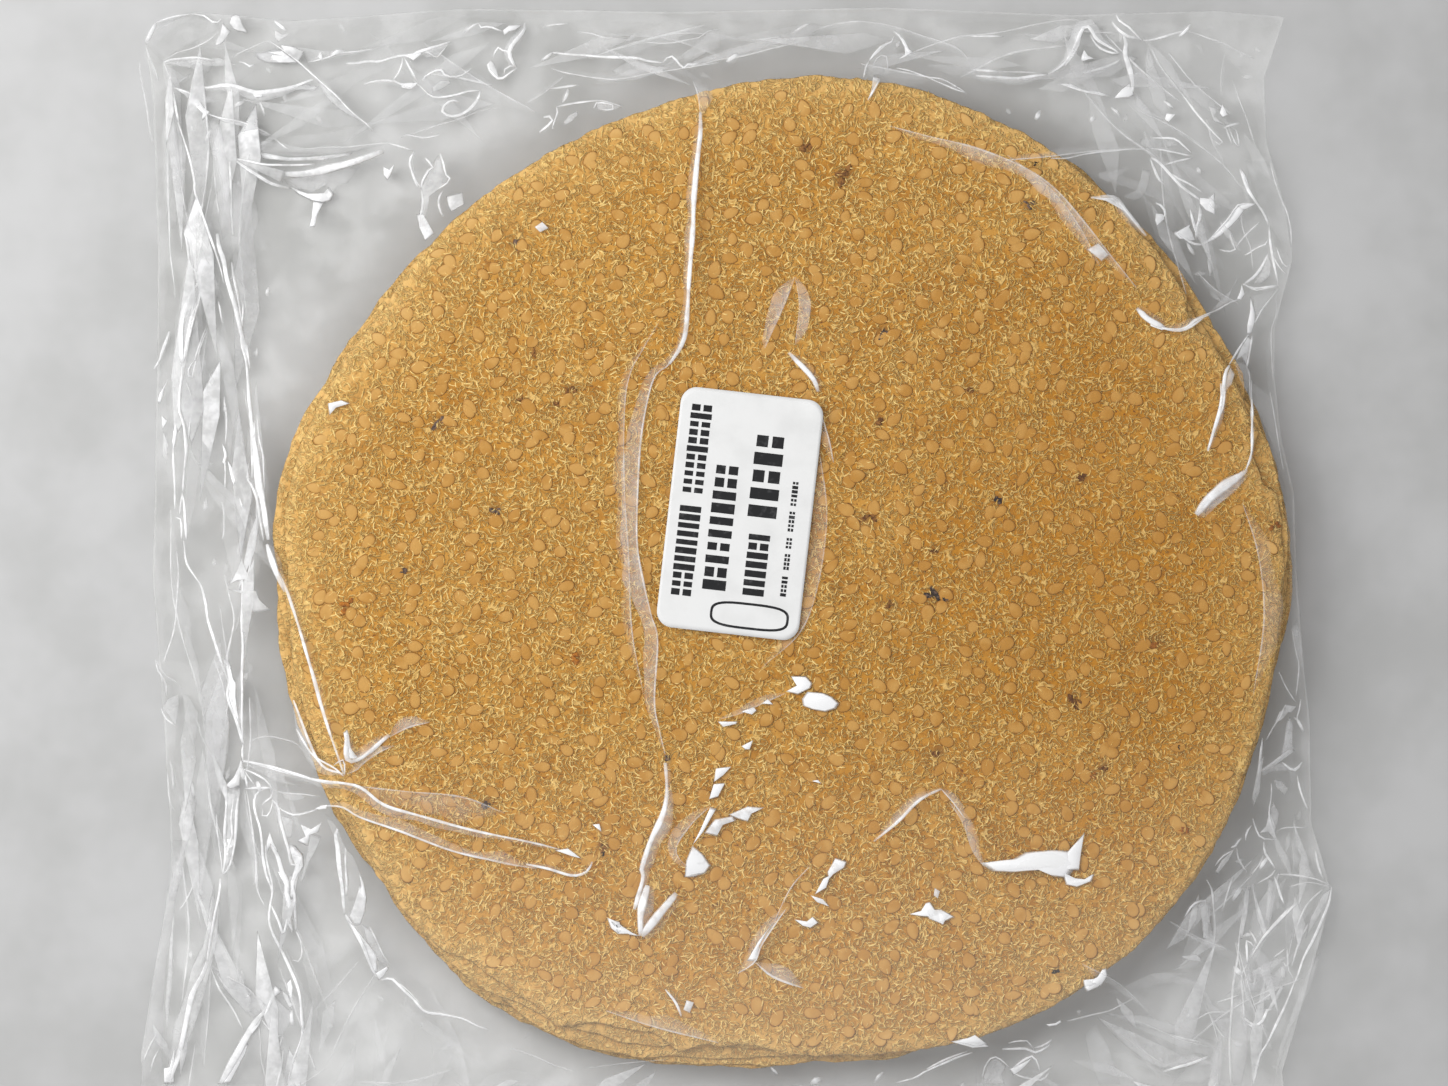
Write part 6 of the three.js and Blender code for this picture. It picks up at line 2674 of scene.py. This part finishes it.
@dataclass
class FilmBag:
    """The clear bag: one closed skin of film, and the white folds and patches that lie on it, partly the
    film's own whitening and partly painted highlight.

    Attributes:
        form: the bag's form.
        shape: how the folds' cross-sections are shaped.
        cells: cells along each side of the upper film's grid.
        rim_share: share of that grid's rings that lie over the stack.
        foot: how far inside the rim the lower film leaves the ground.
        underside_rings: rings of the lower film between there and the edge.
        first_share: place of one more ring close to the edge, as a share of the way in.
        inner_shares: rings of the lower film under the stack, as shares of its foot's radius.
        fold_step: distance between points of a fold.
        fold_draw: seed of the random folds.
        fold_bow: how far they bend to either side, as a share of their half length.
        facet_draw: seed of the random facets.
        keep_off: how far those stay inside the bag's edge, and folds from the rim.
        edge_fold: widths and strengths of the white line along the bag's edge.
        edge_draw: seed of its unevenness.
        edge_points: points of that line.
        edge_inset: how far inside the edge it runs.
        glint_border: share of the way out at which the border of a drawn facet starts.
        facet_border: the same of a random one.
        facet_share: number of random facets for each random fold.
        facet_strength: least and greatest whiteness of the random facets.
        facet_fade: least and greatest share of it at the far tip.
        kite_width: half width of a random facet's left side, as a share of its half length.
        kite_least: what is added to that.
        kite_shift: how far along the left corner lies, as a share of the half length.
        kite_skew: how much further back the right corner lies.
        kite_narrow: half width of the right side, as a share of the left one's.
        whitening: factors of a facet's whiteness and of its third power.
        plate_lift: height of a facet's plate above the film.
        plate_skirt: size of its foot, as a share of the outline, its height, and its share of whiteness.
    """

    form: BagForm
    shape: RibbonForm = RibbonForm()
    cells: int = 270
    rim_share: float = 0.6
    foot: float = 3.0
    underside_rings: int = 10
    first_share: float = 0.01
    inner_shares: Range = (0.66, 0.33)
    fold_step: float = 1.1
    fold_draw: int = 41
    fold_bow: float = 0.16
    facet_draw: int = 43
    keep_off: float = 1.0
    edge_fold: Fold = Fold((), 0.4, 0.18, 1.6, 0.08)
    edge_draw: int = 5
    edge_points: int = 760
    edge_inset: float = 0.25
    glint_border: float = 0.85
    facet_border: float = 0.96
    facet_share: float = 2.2
    facet_strength: Range = (0.08, 0.4)
    facet_fade: Range = (0.0, 0.8)
    kite_width: Range = (0.06, 0.2)
    kite_least: float = 0.5
    kite_shift: Range = (-0.5, 0.6)
    kite_skew: float = 0.3
    kite_narrow: float = 0.6
    whitening: Range = (0.9, 0.5)
    plate_lift: float = 0.2
    plate_skirt: tuple[float, float, float] = (1.05, 0.02, 0.35)

    def skin(self, finish: bpy.types.Material) -> bpy.types.Object:
        """The film all round: a fine grid above, and rings from the edge to the middle below.

        Args:
            finish: the film's material.

        Returns:
            A closed surface, with a mark for how loose the film is at each vertex.
        """
        shell = Shell()
        out, around, numbers = square_grid(self.cells)
        edge_x, edge_y = self.form.edge_point(around)
        angle = np.arctan2(edge_y, edge_x)
        rim = self.form.stack.rim(angle)
        margin = np.maximum(np.hypot(edge_x, edge_y) - rim, self.form.least_margin)
        inside = rim * out / self.rim_share
        beyond = (out - self.rim_share) / (1 - self.rim_share)
        radius = np.where(out <= self.rim_share, inside, rim + margin * beyond)
        x, y = radius * np.cos(angle), radius * np.sin(angle)
        shell.add(np.stack([x, y, self.form.top(x, y)], axis=1))
        shell.quads(numbers[:-1, :-1], numbers[:-1, 1:], numbers[1:, 1:], numbers[1:, :-1])
        ring = square_border(numbers)
        angle, rim, margin = angle[ring], rim[ring], margin[ring]
        outer, inner = rim + margin, rim - self.foot
        shares = [self.first_share]
        shares += [step / self.underside_rings for step in range(1, self.underside_rings + 1)]
        radii = [outer + (inner - outer) * share for share in shares]
        radii += [inner * share for share in self.inner_shares]
        for radius in radii:
            x, y = radius * np.cos(angle), radius * np.sin(angle)
            below = shell.add(np.stack([x, y, self.form.underside(x, y, self.foot)], axis=1))
            shell.band(ring, below)
            ring = below
        shell.fan(ring[::-1], shell.add(np.zeros((1, 3))))
        points = np.concatenate(shell.points)
        rim = self.form.stack.rim(np.arctan2(points[:, 1], points[:, 0]))
        outside = np.hypot(points[:, 0], points[:, 1]) - rim
        shell.marks["loose"] = self.form.looseness(outside)
        return shell.build("film", finish)

    def ribbon(self, fold: Fold, path: np.ndarray, seed: int, fade: bool = True) -> tuple[np.ndarray, ...]:
        """Cross-sections of a fold at each point of its path.

        Each section runs from the far edge of the milky film up over the white crest and back under it.
        The crest's width and whiteness and the milky film's width rise and fall along the path by powers
        of a half sine wave, and the film's edge is uneven.

        Args:
            fold: the fold's widths and strengths.
            path: points of its crest, seen from above.
            seed: seed of the uneven edge.
            fade: whether the fold dies out at both ends.

        Returns:
            Places across and up, heights above the film, and marks, each by point and by corner.
        """
        rng = np.random.default_rng(seed)
        run = np.gradient(path, axis=0)
        run /= np.maximum(np.hypot(run[:, 0], run[:, 1]), TINY)[:, None]
        side = -1.0 if fold.veil < 0 else 1.0
        across = np.stack([-run[:, 1], run[:, 0]], axis=1) * side
        share = np.linspace(0, 1, len(path))
        form = self.shape
        part = np.clip(share, form.end, 1 - form.end)
        arch = np.sin(math.pi * part) if fade else np.ones(len(path))
        along = share * len(path) * self.fold_step
        beside = np.full(len(path), rng.uniform(0, form.uneven_run))
        uneven = lattice_noise(along, beside, form.uneven_cell, seed)
        stays, follows = form.crest_arch
        crest = form.crest_half * fold.core * (stays + follows * arch**form.crest_power)
        crest = crest * (1 + form.crest_uneven * uneven)
        veil = abs(fold.veil) * arch**form.veil_power * (1 + form.veil_uneven * uneven)
        veil = np.maximum(veil, form.veil_least * crest)
        white = fold.strength * np.clip(arch**form.white_power * (1 + form.white_uneven * uneven), 0, 1)
        milky = np.maximum(fold.veil_strength * arch**form.milky_power, form.milky_least * white)
        sharp = rng.uniform(*form.sharp)
        low, growth, high = form.lift
        stays, follows = form.lift_arch
        lift = min(low + growth * fold.core, high) * (stays + follows * arch)
        none = np.zeros(len(path))
        far, near = form.veil_places
        gentle, steep = form.slope_heights
        flat = form.crest_top * crest
        sections = (
            (veil, none + form.foot, none), (far * veil, none + form.veil_height, milky * sharp),
            (near * veil, gentle * lift, milky * (1 + sharp) / 2), (crest, steep * lift, milky),
            (flat, lift, white), (-flat, lift, white), (-crest, none + form.foot, none),
            (none, none + form.sunk, none),
        )
        places = np.stack([path + across * offset[:, None] for offset, _, _ in sections], axis=1)
        lifts = np.stack([height for _, height, _ in sections], axis=1)
        marks = np.stack([mark for _, _, mark in sections], axis=1)
        if side < 0:
            places, lifts, marks = places[:, ::-1], lifts[:, ::-1], marks[:, ::-1]
        return places, lifts, marks

    def seeded_folds(self) -> list[Fold]:
        """Random folds of every sheaf, each a slightly bent line that stays inside the bag's edge.

        Returns:
            The folds.
        """
        rng = np.random.default_rng(self.fold_draw)
        folds = []
        for sheaf in SHEAVES:
            for _ in range(sheaf.count):
                middle = np.array([rng.uniform(*sheaf.box[:2]), rng.uniform(*sheaf.box[2:])])
                heading = math.radians(rng.normal(*sheaf.heading))
                half = rng.uniform(*sheaf.length) / 2
                bow = rng.uniform(-self.fold_bow, self.fold_bow) * half
                core, strength = rng.uniform(*sheaf.core), rng.uniform(*sheaf.strength)
                veil = sheaf.veil * rng.uniform(-1, 1)
                forward = np.array([math.cos(heading), math.sin(heading)])
                sideways = np.array([-forward[1], forward[0]])
                route = (middle - half * forward, middle + bow * sideways, middle + half * forward)
                x, y = np.array(route).T
                angle = np.arctan2(y, x)
                rim = self.form.stack.rim(angle)
                room = rim + self.form.margin(angle) - self.keep_off - np.hypot(x, y)
                if room.min() > 0 and math.hypot(*middle) > rim[1] + self.keep_off:
                    points = tuple((float(point[0]), float(point[1])) for point in route)
                    folds.append(Fold(points, core, strength, veil, sheaf.veil_strength))
        return folds

    def folds(self, name: str, folds: list[Fold], finish: bpy.types.Material) -> bpy.types.Object:
        """Folds as closed strips that lie on the film.

        Args:
            name: the piece's name.
            folds: the folds.
            finish: the material of the whitened film and painted highlights.

        Returns:
            The piece, with its whiteness as a mark.
        """
        strips = [
            self.ribbon(fold, smooth_path(fold.route, self.fold_step), number)
            for number, fold in enumerate(folds)
        ]
        shell = Shell()
        self.lay(shell, strips)
        return shell.build(name, finish)

    def lay(self, shell: Shell, strips: list[tuple[np.ndarray, ...]], closed: bool = False) -> None:
        """Lay strips on the film and join their sections.

        Args:
            shell: where the strips go.
            strips: the sections of each, as the ribbon gives them.
            closed: whether each strip runs round to its start.
        """
        places = np.concatenate([strip[0].reshape(-1, 2) for strip in strips])
        lifts = np.concatenate([strip[1].ravel() for strip in strips])
        marks = np.concatenate([strip[2].ravel() for strip in strips])
        height = self.form.top(places[:, 0], places[:, 1]) + lifts
        numbers = shell.add(np.column_stack([places, height]))
        shell.marks["white"] = marks
        corners = strips[0][0].shape[1]
        start = 0
        for strip in strips:
            count = len(strip[0])
            rings = numbers[start:start + count * corners].reshape(count, corners)
            start += count * corners
            following = np.roll(rings, -1, axis=1)
            shell.quads(rings[:-1], rings[1:], following[1:], following[:-1])
            if closed:
                shell.quads(rings[-1], rings[0], following[0], following[-1])
            else:
                shell.faces.append(rings[:1])
                shell.faces.append(rings[-1:, ::-1])

    def edge(self, finish: bpy.types.Material) -> bpy.types.Object:
        """The thin white line of the bag's edge, partly the film's own whitening and partly painted
        highlight.

        Args:
            finish: the material of the whitened film and painted highlights.

        Returns:
            A closed strip all round.
        """
        share = np.linspace(0, 4, self.edge_points, endpoint=False)
        x, y = self.form.edge_point(share)
        inward = 1 - self.edge_inset / np.hypot(x, y)
        path = np.stack([x * inward, y * inward], axis=1)
        shell = Shell()
        self.lay(shell, [self.ribbon(self.edge_fold, path, self.edge_draw, fade=False)], closed=True)
        return shell.build("film_edge", finish)

    def seeded_facets(self) -> list[Glint]:
        """Random facets of every sheaf, painted highlights: long kites along the folds' direction, fading
        from one tip.

        Returns:
            The facets.
        """
        rng = np.random.default_rng(self.facet_draw)
        facets = []
        for sheaf in SHEAVES:
            for _ in range(int(sheaf.count * self.facet_share)):
                middle = np.array([rng.uniform(*sheaf.box[:2]), rng.uniform(*sheaf.box[2:])])
                heading = math.radians(rng.normal(*sheaf.heading))
                half = rng.uniform(*sheaf.length) / 2
                wide = rng.uniform(*self.kite_width) * half + self.kite_least
                forward = np.array([math.cos(heading), math.sin(heading)]) * rng.choice([-1, 1])
                sideways = np.array([-forward[1], forward[0]])
                shift = rng.uniform(*self.kite_shift)
                left = middle + shift * half * forward + wide * sideways
                back = (shift - self.kite_skew) * half * forward
                right = middle + back - self.kite_narrow * wide * sideways
                corners = (middle + half * forward, left, middle - half * forward, right)
                x, y = np.array(corners).T
                angle = np.arctan2(y, x)
                rim = self.form.stack.rim(angle)
                out = np.hypot(x, y)
                room = rim + self.form.margin(angle) - self.keep_off - out
                if room.min() > 0 and (out - rim).min() > 0:
                    points = tuple((float(corner[0]), float(corner[1])) for corner in corners)
                    strength = sheaf.haze * rng.uniform(*self.facet_strength)
                    facets.append(Glint(points, strength, rng.uniform(*self.facet_fade)))
        return facets

    def glints(
        self, name: str, glints: list[Glint], border: float, finish: bpy.types.Material
    ) -> bpy.types.Object:
        """White facets: thin closed plates with the given outlines, which fade out at the border.

        Args:
            name: the piece's name.
            glints: the facets.
            border: share of the way out at which the border starts.
            finish: the material of the whitened film and painted highlights.

        Returns:
            The piece, with its whiteness as a mark.
        """
        shell = Shell()
        marks = []
        plain, cubed = self.whitening
        for glint in glints:
            strength = glint.strength * (plain + cubed * glint.strength**2)
            outline = np.array(glint.outline)
            first = outline[0]
            x, y = outline.T
            if np.sum(x * np.roll(y, -1) - y * np.roll(x, -1)) < 0:
                outline = outline[::-1]
            middle = outline.mean(axis=0)
            far = np.hypot(*(outline - first).T).max()
            halves = np.array(tessellate_polygon([[(x, y, 0.0) for x, y in outline]]))
            one, two, three = outline[halves].transpose(1, 2, 0)
            turn = (two - one)[0] * (three - one)[1] - (two - one)[1] * (three - one)[0]
            halves[turn < 0] = halves[turn < 0][:, ::-1]
            rings = []
            for scale, lift, mark in ((border, self.plate_lift, 1.0), self.plate_skirt):
                place = middle + (outline - middle) * scale
                away = np.clip(np.hypot(*(place - first).T) / far, 0, 1)
                height = self.form.top(place[:, 0], place[:, 1]) + lift
                rings.append(shell.add(np.column_stack([place, height])))
                marks.append(mark * strength * (1 + (glint.fade - 1) * away))
            shell.faces.append(rings[0][halves])
            shell.band(*rings)
            shell.faces.append(rings[1][halves][:, ::-1])
        shell.marks["white"] = np.concatenate(marks)
        return shell.build(name, finish)

    def build(self) -> list[bpy.types.Object]:
        """The film, its folds and its patches, which together stand for the bag's solid.

        Returns:
            The pieces.
        """
        creased = CreaseAndHighlightFinish().material()
        drawn = [fold for sketch in SKETCHES for fold in sketch.folds()]
        shining = [facet for sketch in SKETCHES for facet in sketch.facets()]
        pieces = [
            self.skin(FilmFinish().material()),
            self.folds("film_folds", drawn, creased),
            self.folds("film_crinkles", self.seeded_folds(), creased),
            self.edge(creased),
            self.glints("film_glints", shining, self.glint_border, creased),
            self.glints("film_facet_highlights", self.seeded_facets(), self.facet_border, creased),
        ]
        return [ride(piece) for piece in pieces]


# The label


@dataclass(frozen=True)
class PrintRow:
    """A row of plain blocks up the label.

    Attributes:
        across: the row's place across the label.
        height: height of its blocks.
        block: length of a block with the gap after it.
        words: each word's start and end up the label.
    """

    across: float
    height: float
    block: float
    words: tuple[Range, ...]


@dataclass
class PrintedLabel:
    """The paper label and its print, which is plain blocks and an empty ring.

    Attributes:
        form: the label's form.
        base: height of the film under it.
        rows: the rows of blocks.
        ring: middle of the empty ring across and up, and its half sizes.
        ring_line: width of its line.
        ring_squareness: power that squares its corners; 1 gives an oval.
        ring_points: points round it.
        print_height: height of the print above the paper.
        print_depth: how far it reaches into the paper.
        paper_thickness: thickness of the paper.
        outline_points: points round the paper.
        upper_shares: rings of its upper face, as shares of the way out.
        lower_shares: those of its lower face.
        curl_height: how far its upper right corner stands off the film.
        curl_reach: how far from that corner this reaches.
        print_draw: seed of the blocks' lengths.
        split_share: share of the blocks that are split in two.
        fill: greatest half length of a block, as a share of its pitch.
        block_lengths: least and greatest half length, as shares of that.
        split_place: place of both parts of a split block beside its middle, as a share of its height.
        split_half: half height of each part, as a share of the block's height.
    """

    form: LabelForm
    base: float
    rows: tuple[PrintRow, ...] = (
        PrintRow(-9.3, 4.0, 1.5, ((-16.6, 0.6), (2.6, 19.6))),
        PrintRow(-3.3, 4.4, 2.5, ((-15.0, 9.0),)),
        PrintRow(4.1, 4.0, 1.8, ((-15.2, -3.2),)),
        PrintRow(4.1, 5.4, 3.1, ((-0.8, 15.6),)),
        PrintRow(9.7, 1.1, 0.75, ((-14.6, -10.6), (-9.6, -6.4), (-5.6, -3.4), (-2.4, 1.6), (2.4, 7.2))),
    )
    ring: tuple[float, float, float, float] = (3.9, -18.9, 7.4, 2.5)
    ring_line: float = 0.45
    ring_squareness: float = 0.6
    ring_points: int = 64
    print_height: float = 0.03
    print_depth: float = 0.02
    paper_thickness: float = 0.12
    outline_points: int = 240
    upper_shares: tuple[float, ...] = (0.2, 0.4, 0.6, 0.75, 0.88, 0.96, 1.0)
    lower_shares: tuple[float, ...] = (1.0, 0.9, 0.6)
    curl_height: float = 0.7
    curl_reach: float = 7.0
    print_draw: int = 51
    split_share: float = 0.4
    fill: float = 0.39
    block_lengths: Range = (0.75, 1.0)
    split_place: float = 0.27
    split_half: float = 0.2

    def paper(self, finish: bpy.types.Material) -> bpy.types.Object:
        """The paper: a rounded rectangle whose one corner has begun to lift.

        Args:
            finish: the paper's material.

        Returns:
            A closed thin plate, rings from its middle out to the edge and back below.
        """
        shell = Shell()
        steps = 10
        turn = np.linspace(0, math.pi / 2, steps)
        half = np.array([self.form.width / 2, self.form.length / 2])
        outline = []
        for number, signs in enumerate(((1, 1), (-1, 1), (-1, -1), (1, -1))):
            centre = (half - self.form.corner) * signs
            angle = turn + number * math.pi / 2
            arc = np.stack([np.cos(angle), np.sin(angle)], axis=1) * self.form.corner
            outline.append(centre + arc)
        edge = np.concatenate(outline)
        edge = np.concatenate([edge, edge[:1]])
        travelled = np.concatenate([[0], np.cumsum(np.hypot(*np.diff(edge, axis=0).T))])
        marks = np.linspace(0, travelled[-1], self.outline_points, endpoint=False)
        edge = np.stack([np.interp(marks, travelled, edge[:, k]) for k in range(2)], axis=1)
        top = self.base + self.form.gap + self.form.thickness
        bottom = top - self.paper_thickness
        rows = [(share, top) for share in self.upper_shares]
        rows += [(share, bottom) for share in self.lower_shares]
        rings = []
        for share, level in rows:
            x, y = self.form.plane_place(edge[:, 0] * share, edge[:, 1] * share)
            rings.append(shell.add(np.column_stack([x, y, level + self.lift(edge * share)])))
        for inner, outer in zip(rings[:-1], rings[1:]):
            shell.band(inner, outer)
        tips = shell.add(np.array([[*self.form.centre, top], [*self.form.centre, bottom]]))
        shell.fan(rings[0], tips[0])
        shell.fan(rings[-1][::-1], tips[1])
        return shell.build("label_paper", finish)

    def lift(self, place: np.ndarray) -> np.ndarray:
        """How far the paper stands off the film: a little at its upper right corner.

        Args:
            place: places on the label, across and up.

        Returns:
            The heights.
        """
        corner = np.array([self.form.width / 2, self.form.length / 2])
        away = np.hypot(place[:, 0] - corner[0], place[:, 1] - corner[1])
        return self.curl_height * ease(self.curl_reach, 0.0, away)

    def blocks(self) -> np.ndarray:
        """The blocks of every row, some split in two.

        Returns:
            Each one's middle across and up, half height and half length.
        """
        rng = np.random.default_rng(self.print_draw)
        blocks = []
        for row in self.rows:
            for start, end in row.words:
                count = max(1, round((end - start) / row.block))
                pitch = (end - start) / count
                for number in range(count):
                    middle = start + (number + 0.5) * pitch
                    half = self.fill * pitch * rng.uniform(*self.block_lengths)
                    if rng.uniform() < self.split_share:
                        beside, part = self.split_place * row.height, self.split_half * row.height
                        blocks.append((row.across - beside, middle, part, half))
                        blocks.append((row.across + beside, middle, part, half))
                    else:
                        blocks.append((row.across, middle, row.height / 2, half))
        return np.array(blocks)

    def bars(self, finish: bpy.types.Material) -> bpy.types.Object:
        """The print: thin closed blocks on the paper, and a closed ring with nothing in it.

        Args:
            finish: the print's material.

        Returns:
            The print in one mesh.
        """
        shell = Shell()
        box = self.blocks()
        signs = np.array([(-1, -1), (1, -1), (1, 1), (-1, 1)])
        across = box[:, :1] + box[:, 2:3] * signs[:, 0]
        up = box[:, 1:2] + box[:, 3:4] * signs[:, 1]
        low, high = (
            shell.add(self.printed(across.ravel(), up.ravel(), level)).reshape(-1, 4)
            for level in (-self.print_depth, self.print_height)
        )
        shell.quads(*high.T)
        shell.quads(*low[:, ::-1].T)
        shell.quads(low, np.roll(low, -1, axis=1), np.roll(high, -1, axis=1), high)
        middle_x, middle_y, half_x, half_y = self.ring
        angle = np.linspace(0, FULL_TURN, self.ring_points, endpoint=False)
        low_level, high_level = -self.print_depth, self.print_height
        insets = (0.0, 0.0, self.ring_line, self.ring_line)
        rings = []
        for inset, level in zip(insets, (low_level, high_level, high_level, low_level)):
            out_x = np.sign(np.cos(angle)) * np.abs(np.cos(angle)) ** self.ring_squareness
            out_y = np.sign(np.sin(angle)) * np.abs(np.sin(angle)) ** self.ring_squareness
            x = middle_x + (half_x - inset) * out_x
            y = middle_y + (half_y - inset) * out_y
            rings.append(shell.add(self.printed(x, y, level)))
        for inner, outer in zip(rings, rings[1:] + rings[:1]):
            shell.band(outer, inner)
        return shell.build("label_print", finish, smooth=False)

    def printed(self, across: np.ndarray, up: np.ndarray, level: float) -> np.ndarray:
        """Points at a level above the paper.

        Args:
            across: places across the label.
            up: places up it.
            level: height above the paper.

        Returns:
            The points, three numbers each.
        """
        x, y = self.form.plane_place(across, up)
        paper = self.base + self.form.gap + self.form.thickness
        return np.column_stack([x, y, paper + self.lift(np.column_stack([across, up])) + level])

    def build(self) -> list[bpy.types.Object]:
        """The paper and its print.

        Returns:
            The pieces.
        """
        return [
            ride(self.paper(PAPER.material())),
            ride(self.bars(INK.material())),
        ]


# Floor, light and camera


@dataclass(frozen=True)
class Panel:
    """A soft square light that doesn't show in reflections.

    Attributes:
        name: its name.
        azimuth: its direction in degrees from +X.
        zenith: its tilt off the vertical, in degrees.
        distance: its distance from the stack.
        size: length of its side.
        power: its power in watts.
    """

    name: str
    azimuth: float
    zenith: float
    distance: float
    size: float
    power: float


@dataclass
class Studio:
    """The pale floor, the soft lights and the camera straight above.

    Attributes:
        view_centre: place that the camera looks at.
        view_width: width of the view at the stack's top.
        view_level: height of the stack's top.
        camera_height: height of the camera above it.
        sensor: width of the camera's sensor.
        near_clip: nearest distance that the camera sees, in metres.
        floor_half: half the floor's side.
        film_layers: how many layers of film light may pass.
        world: colour of the even surround.
        panels: the lights.
    """

    view_centre: Place = (-11.0, 4.5)
    view_width: float = 270.8
    view_level: float = 12.0
    camera_height: float = 2000.0
    sensor: float = 36.0
    near_clip: float = 0.01
    floor_half: float = 3000.0
    film_layers: int = 24
    world: Colour = (0.45, 0.45, 0.46)
    panels: tuple[Panel, ...] = (
        Panel("window_left", 160, 50, 620, 450, 3.3),
        Panel("panel_above", 118, 26, 900, 450, 1.6),
        Panel("panel_right", -25, 35, 900, 400, 0.75),
        Panel("panel_low", 262, 35, 900, 400, 0.75),
    )

    def floor(self) -> None:
        """A wide flat floor just under the pack."""
        shell = Shell()
        corners = self.floor_half * np.array([[-1, -1, 0], [1, -1, 0], [1, 1, 0], [-1, 1, 0]])
        shell.faces.append(shell.add(corners)[None, :])
        shell.build("floor", PALE_FLOOR.material())

    def lights(self) -> None:
        """Soft panels, each turned to the stack, and an even grey surround."""
        target = np.array([0.0, 0.0, self.view_level])
        for panel in self.panels:
            azimuth, zenith = math.radians(panel.azimuth), math.radians(panel.zenith)
            way = np.array([
                math.sin(zenith) * math.cos(azimuth), math.sin(zenith) * math.sin(azimuth), math.cos(zenith),
            ])
            light = bpy.data.lights.new(panel.name, "AREA")
            light.shape = "SQUARE"
            light.size = panel.size * MM
            light.energy = panel.power
            lamp = bpy.data.objects.new(panel.name, light)
            lamp.location = (target + way * panel.distance) * MM
            lamp.rotation_euler = (0.0, zenith, azimuth)
            lamp.visible_glossy = False
            bpy.context.scene.collection.objects.link(lamp)
        world = bpy.data.worlds.new("surround")
        world.use_nodes = True
        world.node_tree.nodes["Background"].inputs["Color"].default_value = (*self.world, 1.0)
        bpy.context.scene.world = world

    def camera(self) -> None:
        """A camera that looks straight down, its frame as wide as the view at the stack's top."""
        data = bpy.data.cameras.new("camera")
        data.sensor_width = self.sensor
        data.lens = self.sensor * self.camera_height / self.view_width
        data.clip_start = self.near_clip
        camera = bpy.data.objects.new("camera", data)
        camera.location = (*(np.array(self.view_centre) * MM), (self.view_level + self.camera_height) * MM)
        bpy.context.scene.collection.objects.link(camera)
        bpy.context.scene.camera = camera

    def build(self) -> None:
        """Set the stage."""
        self.floor()
        self.lights()
        self.camera()
        scene = bpy.context.scene
        scene.view_settings.view_transform = "Standard"
        scene.cycles.transparent_max_bounces = self.film_layers


def main() -> None:
    """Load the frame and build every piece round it."""
    logging.basicConfig(level=logging.INFO, format="%(message)s")
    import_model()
    stack_form = StackForm()
    label_form = LabelForm()
    bag_form = BagForm(stack_form, label_form)
    stack = PapadumStack(stack_form)
    toppings = Toppings(stack)
    contents = stack.build(DoughFinish().material(), toppings) + toppings.build()
    bag = FilmBag(bag_form).build()
    for piece in contents + bag:
        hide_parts("bag")
    for piece in PrintedLabel(label_form, stack_form.height).build():
        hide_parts("label")
    Studio().build()


if __name__ == "__main__":
    main()
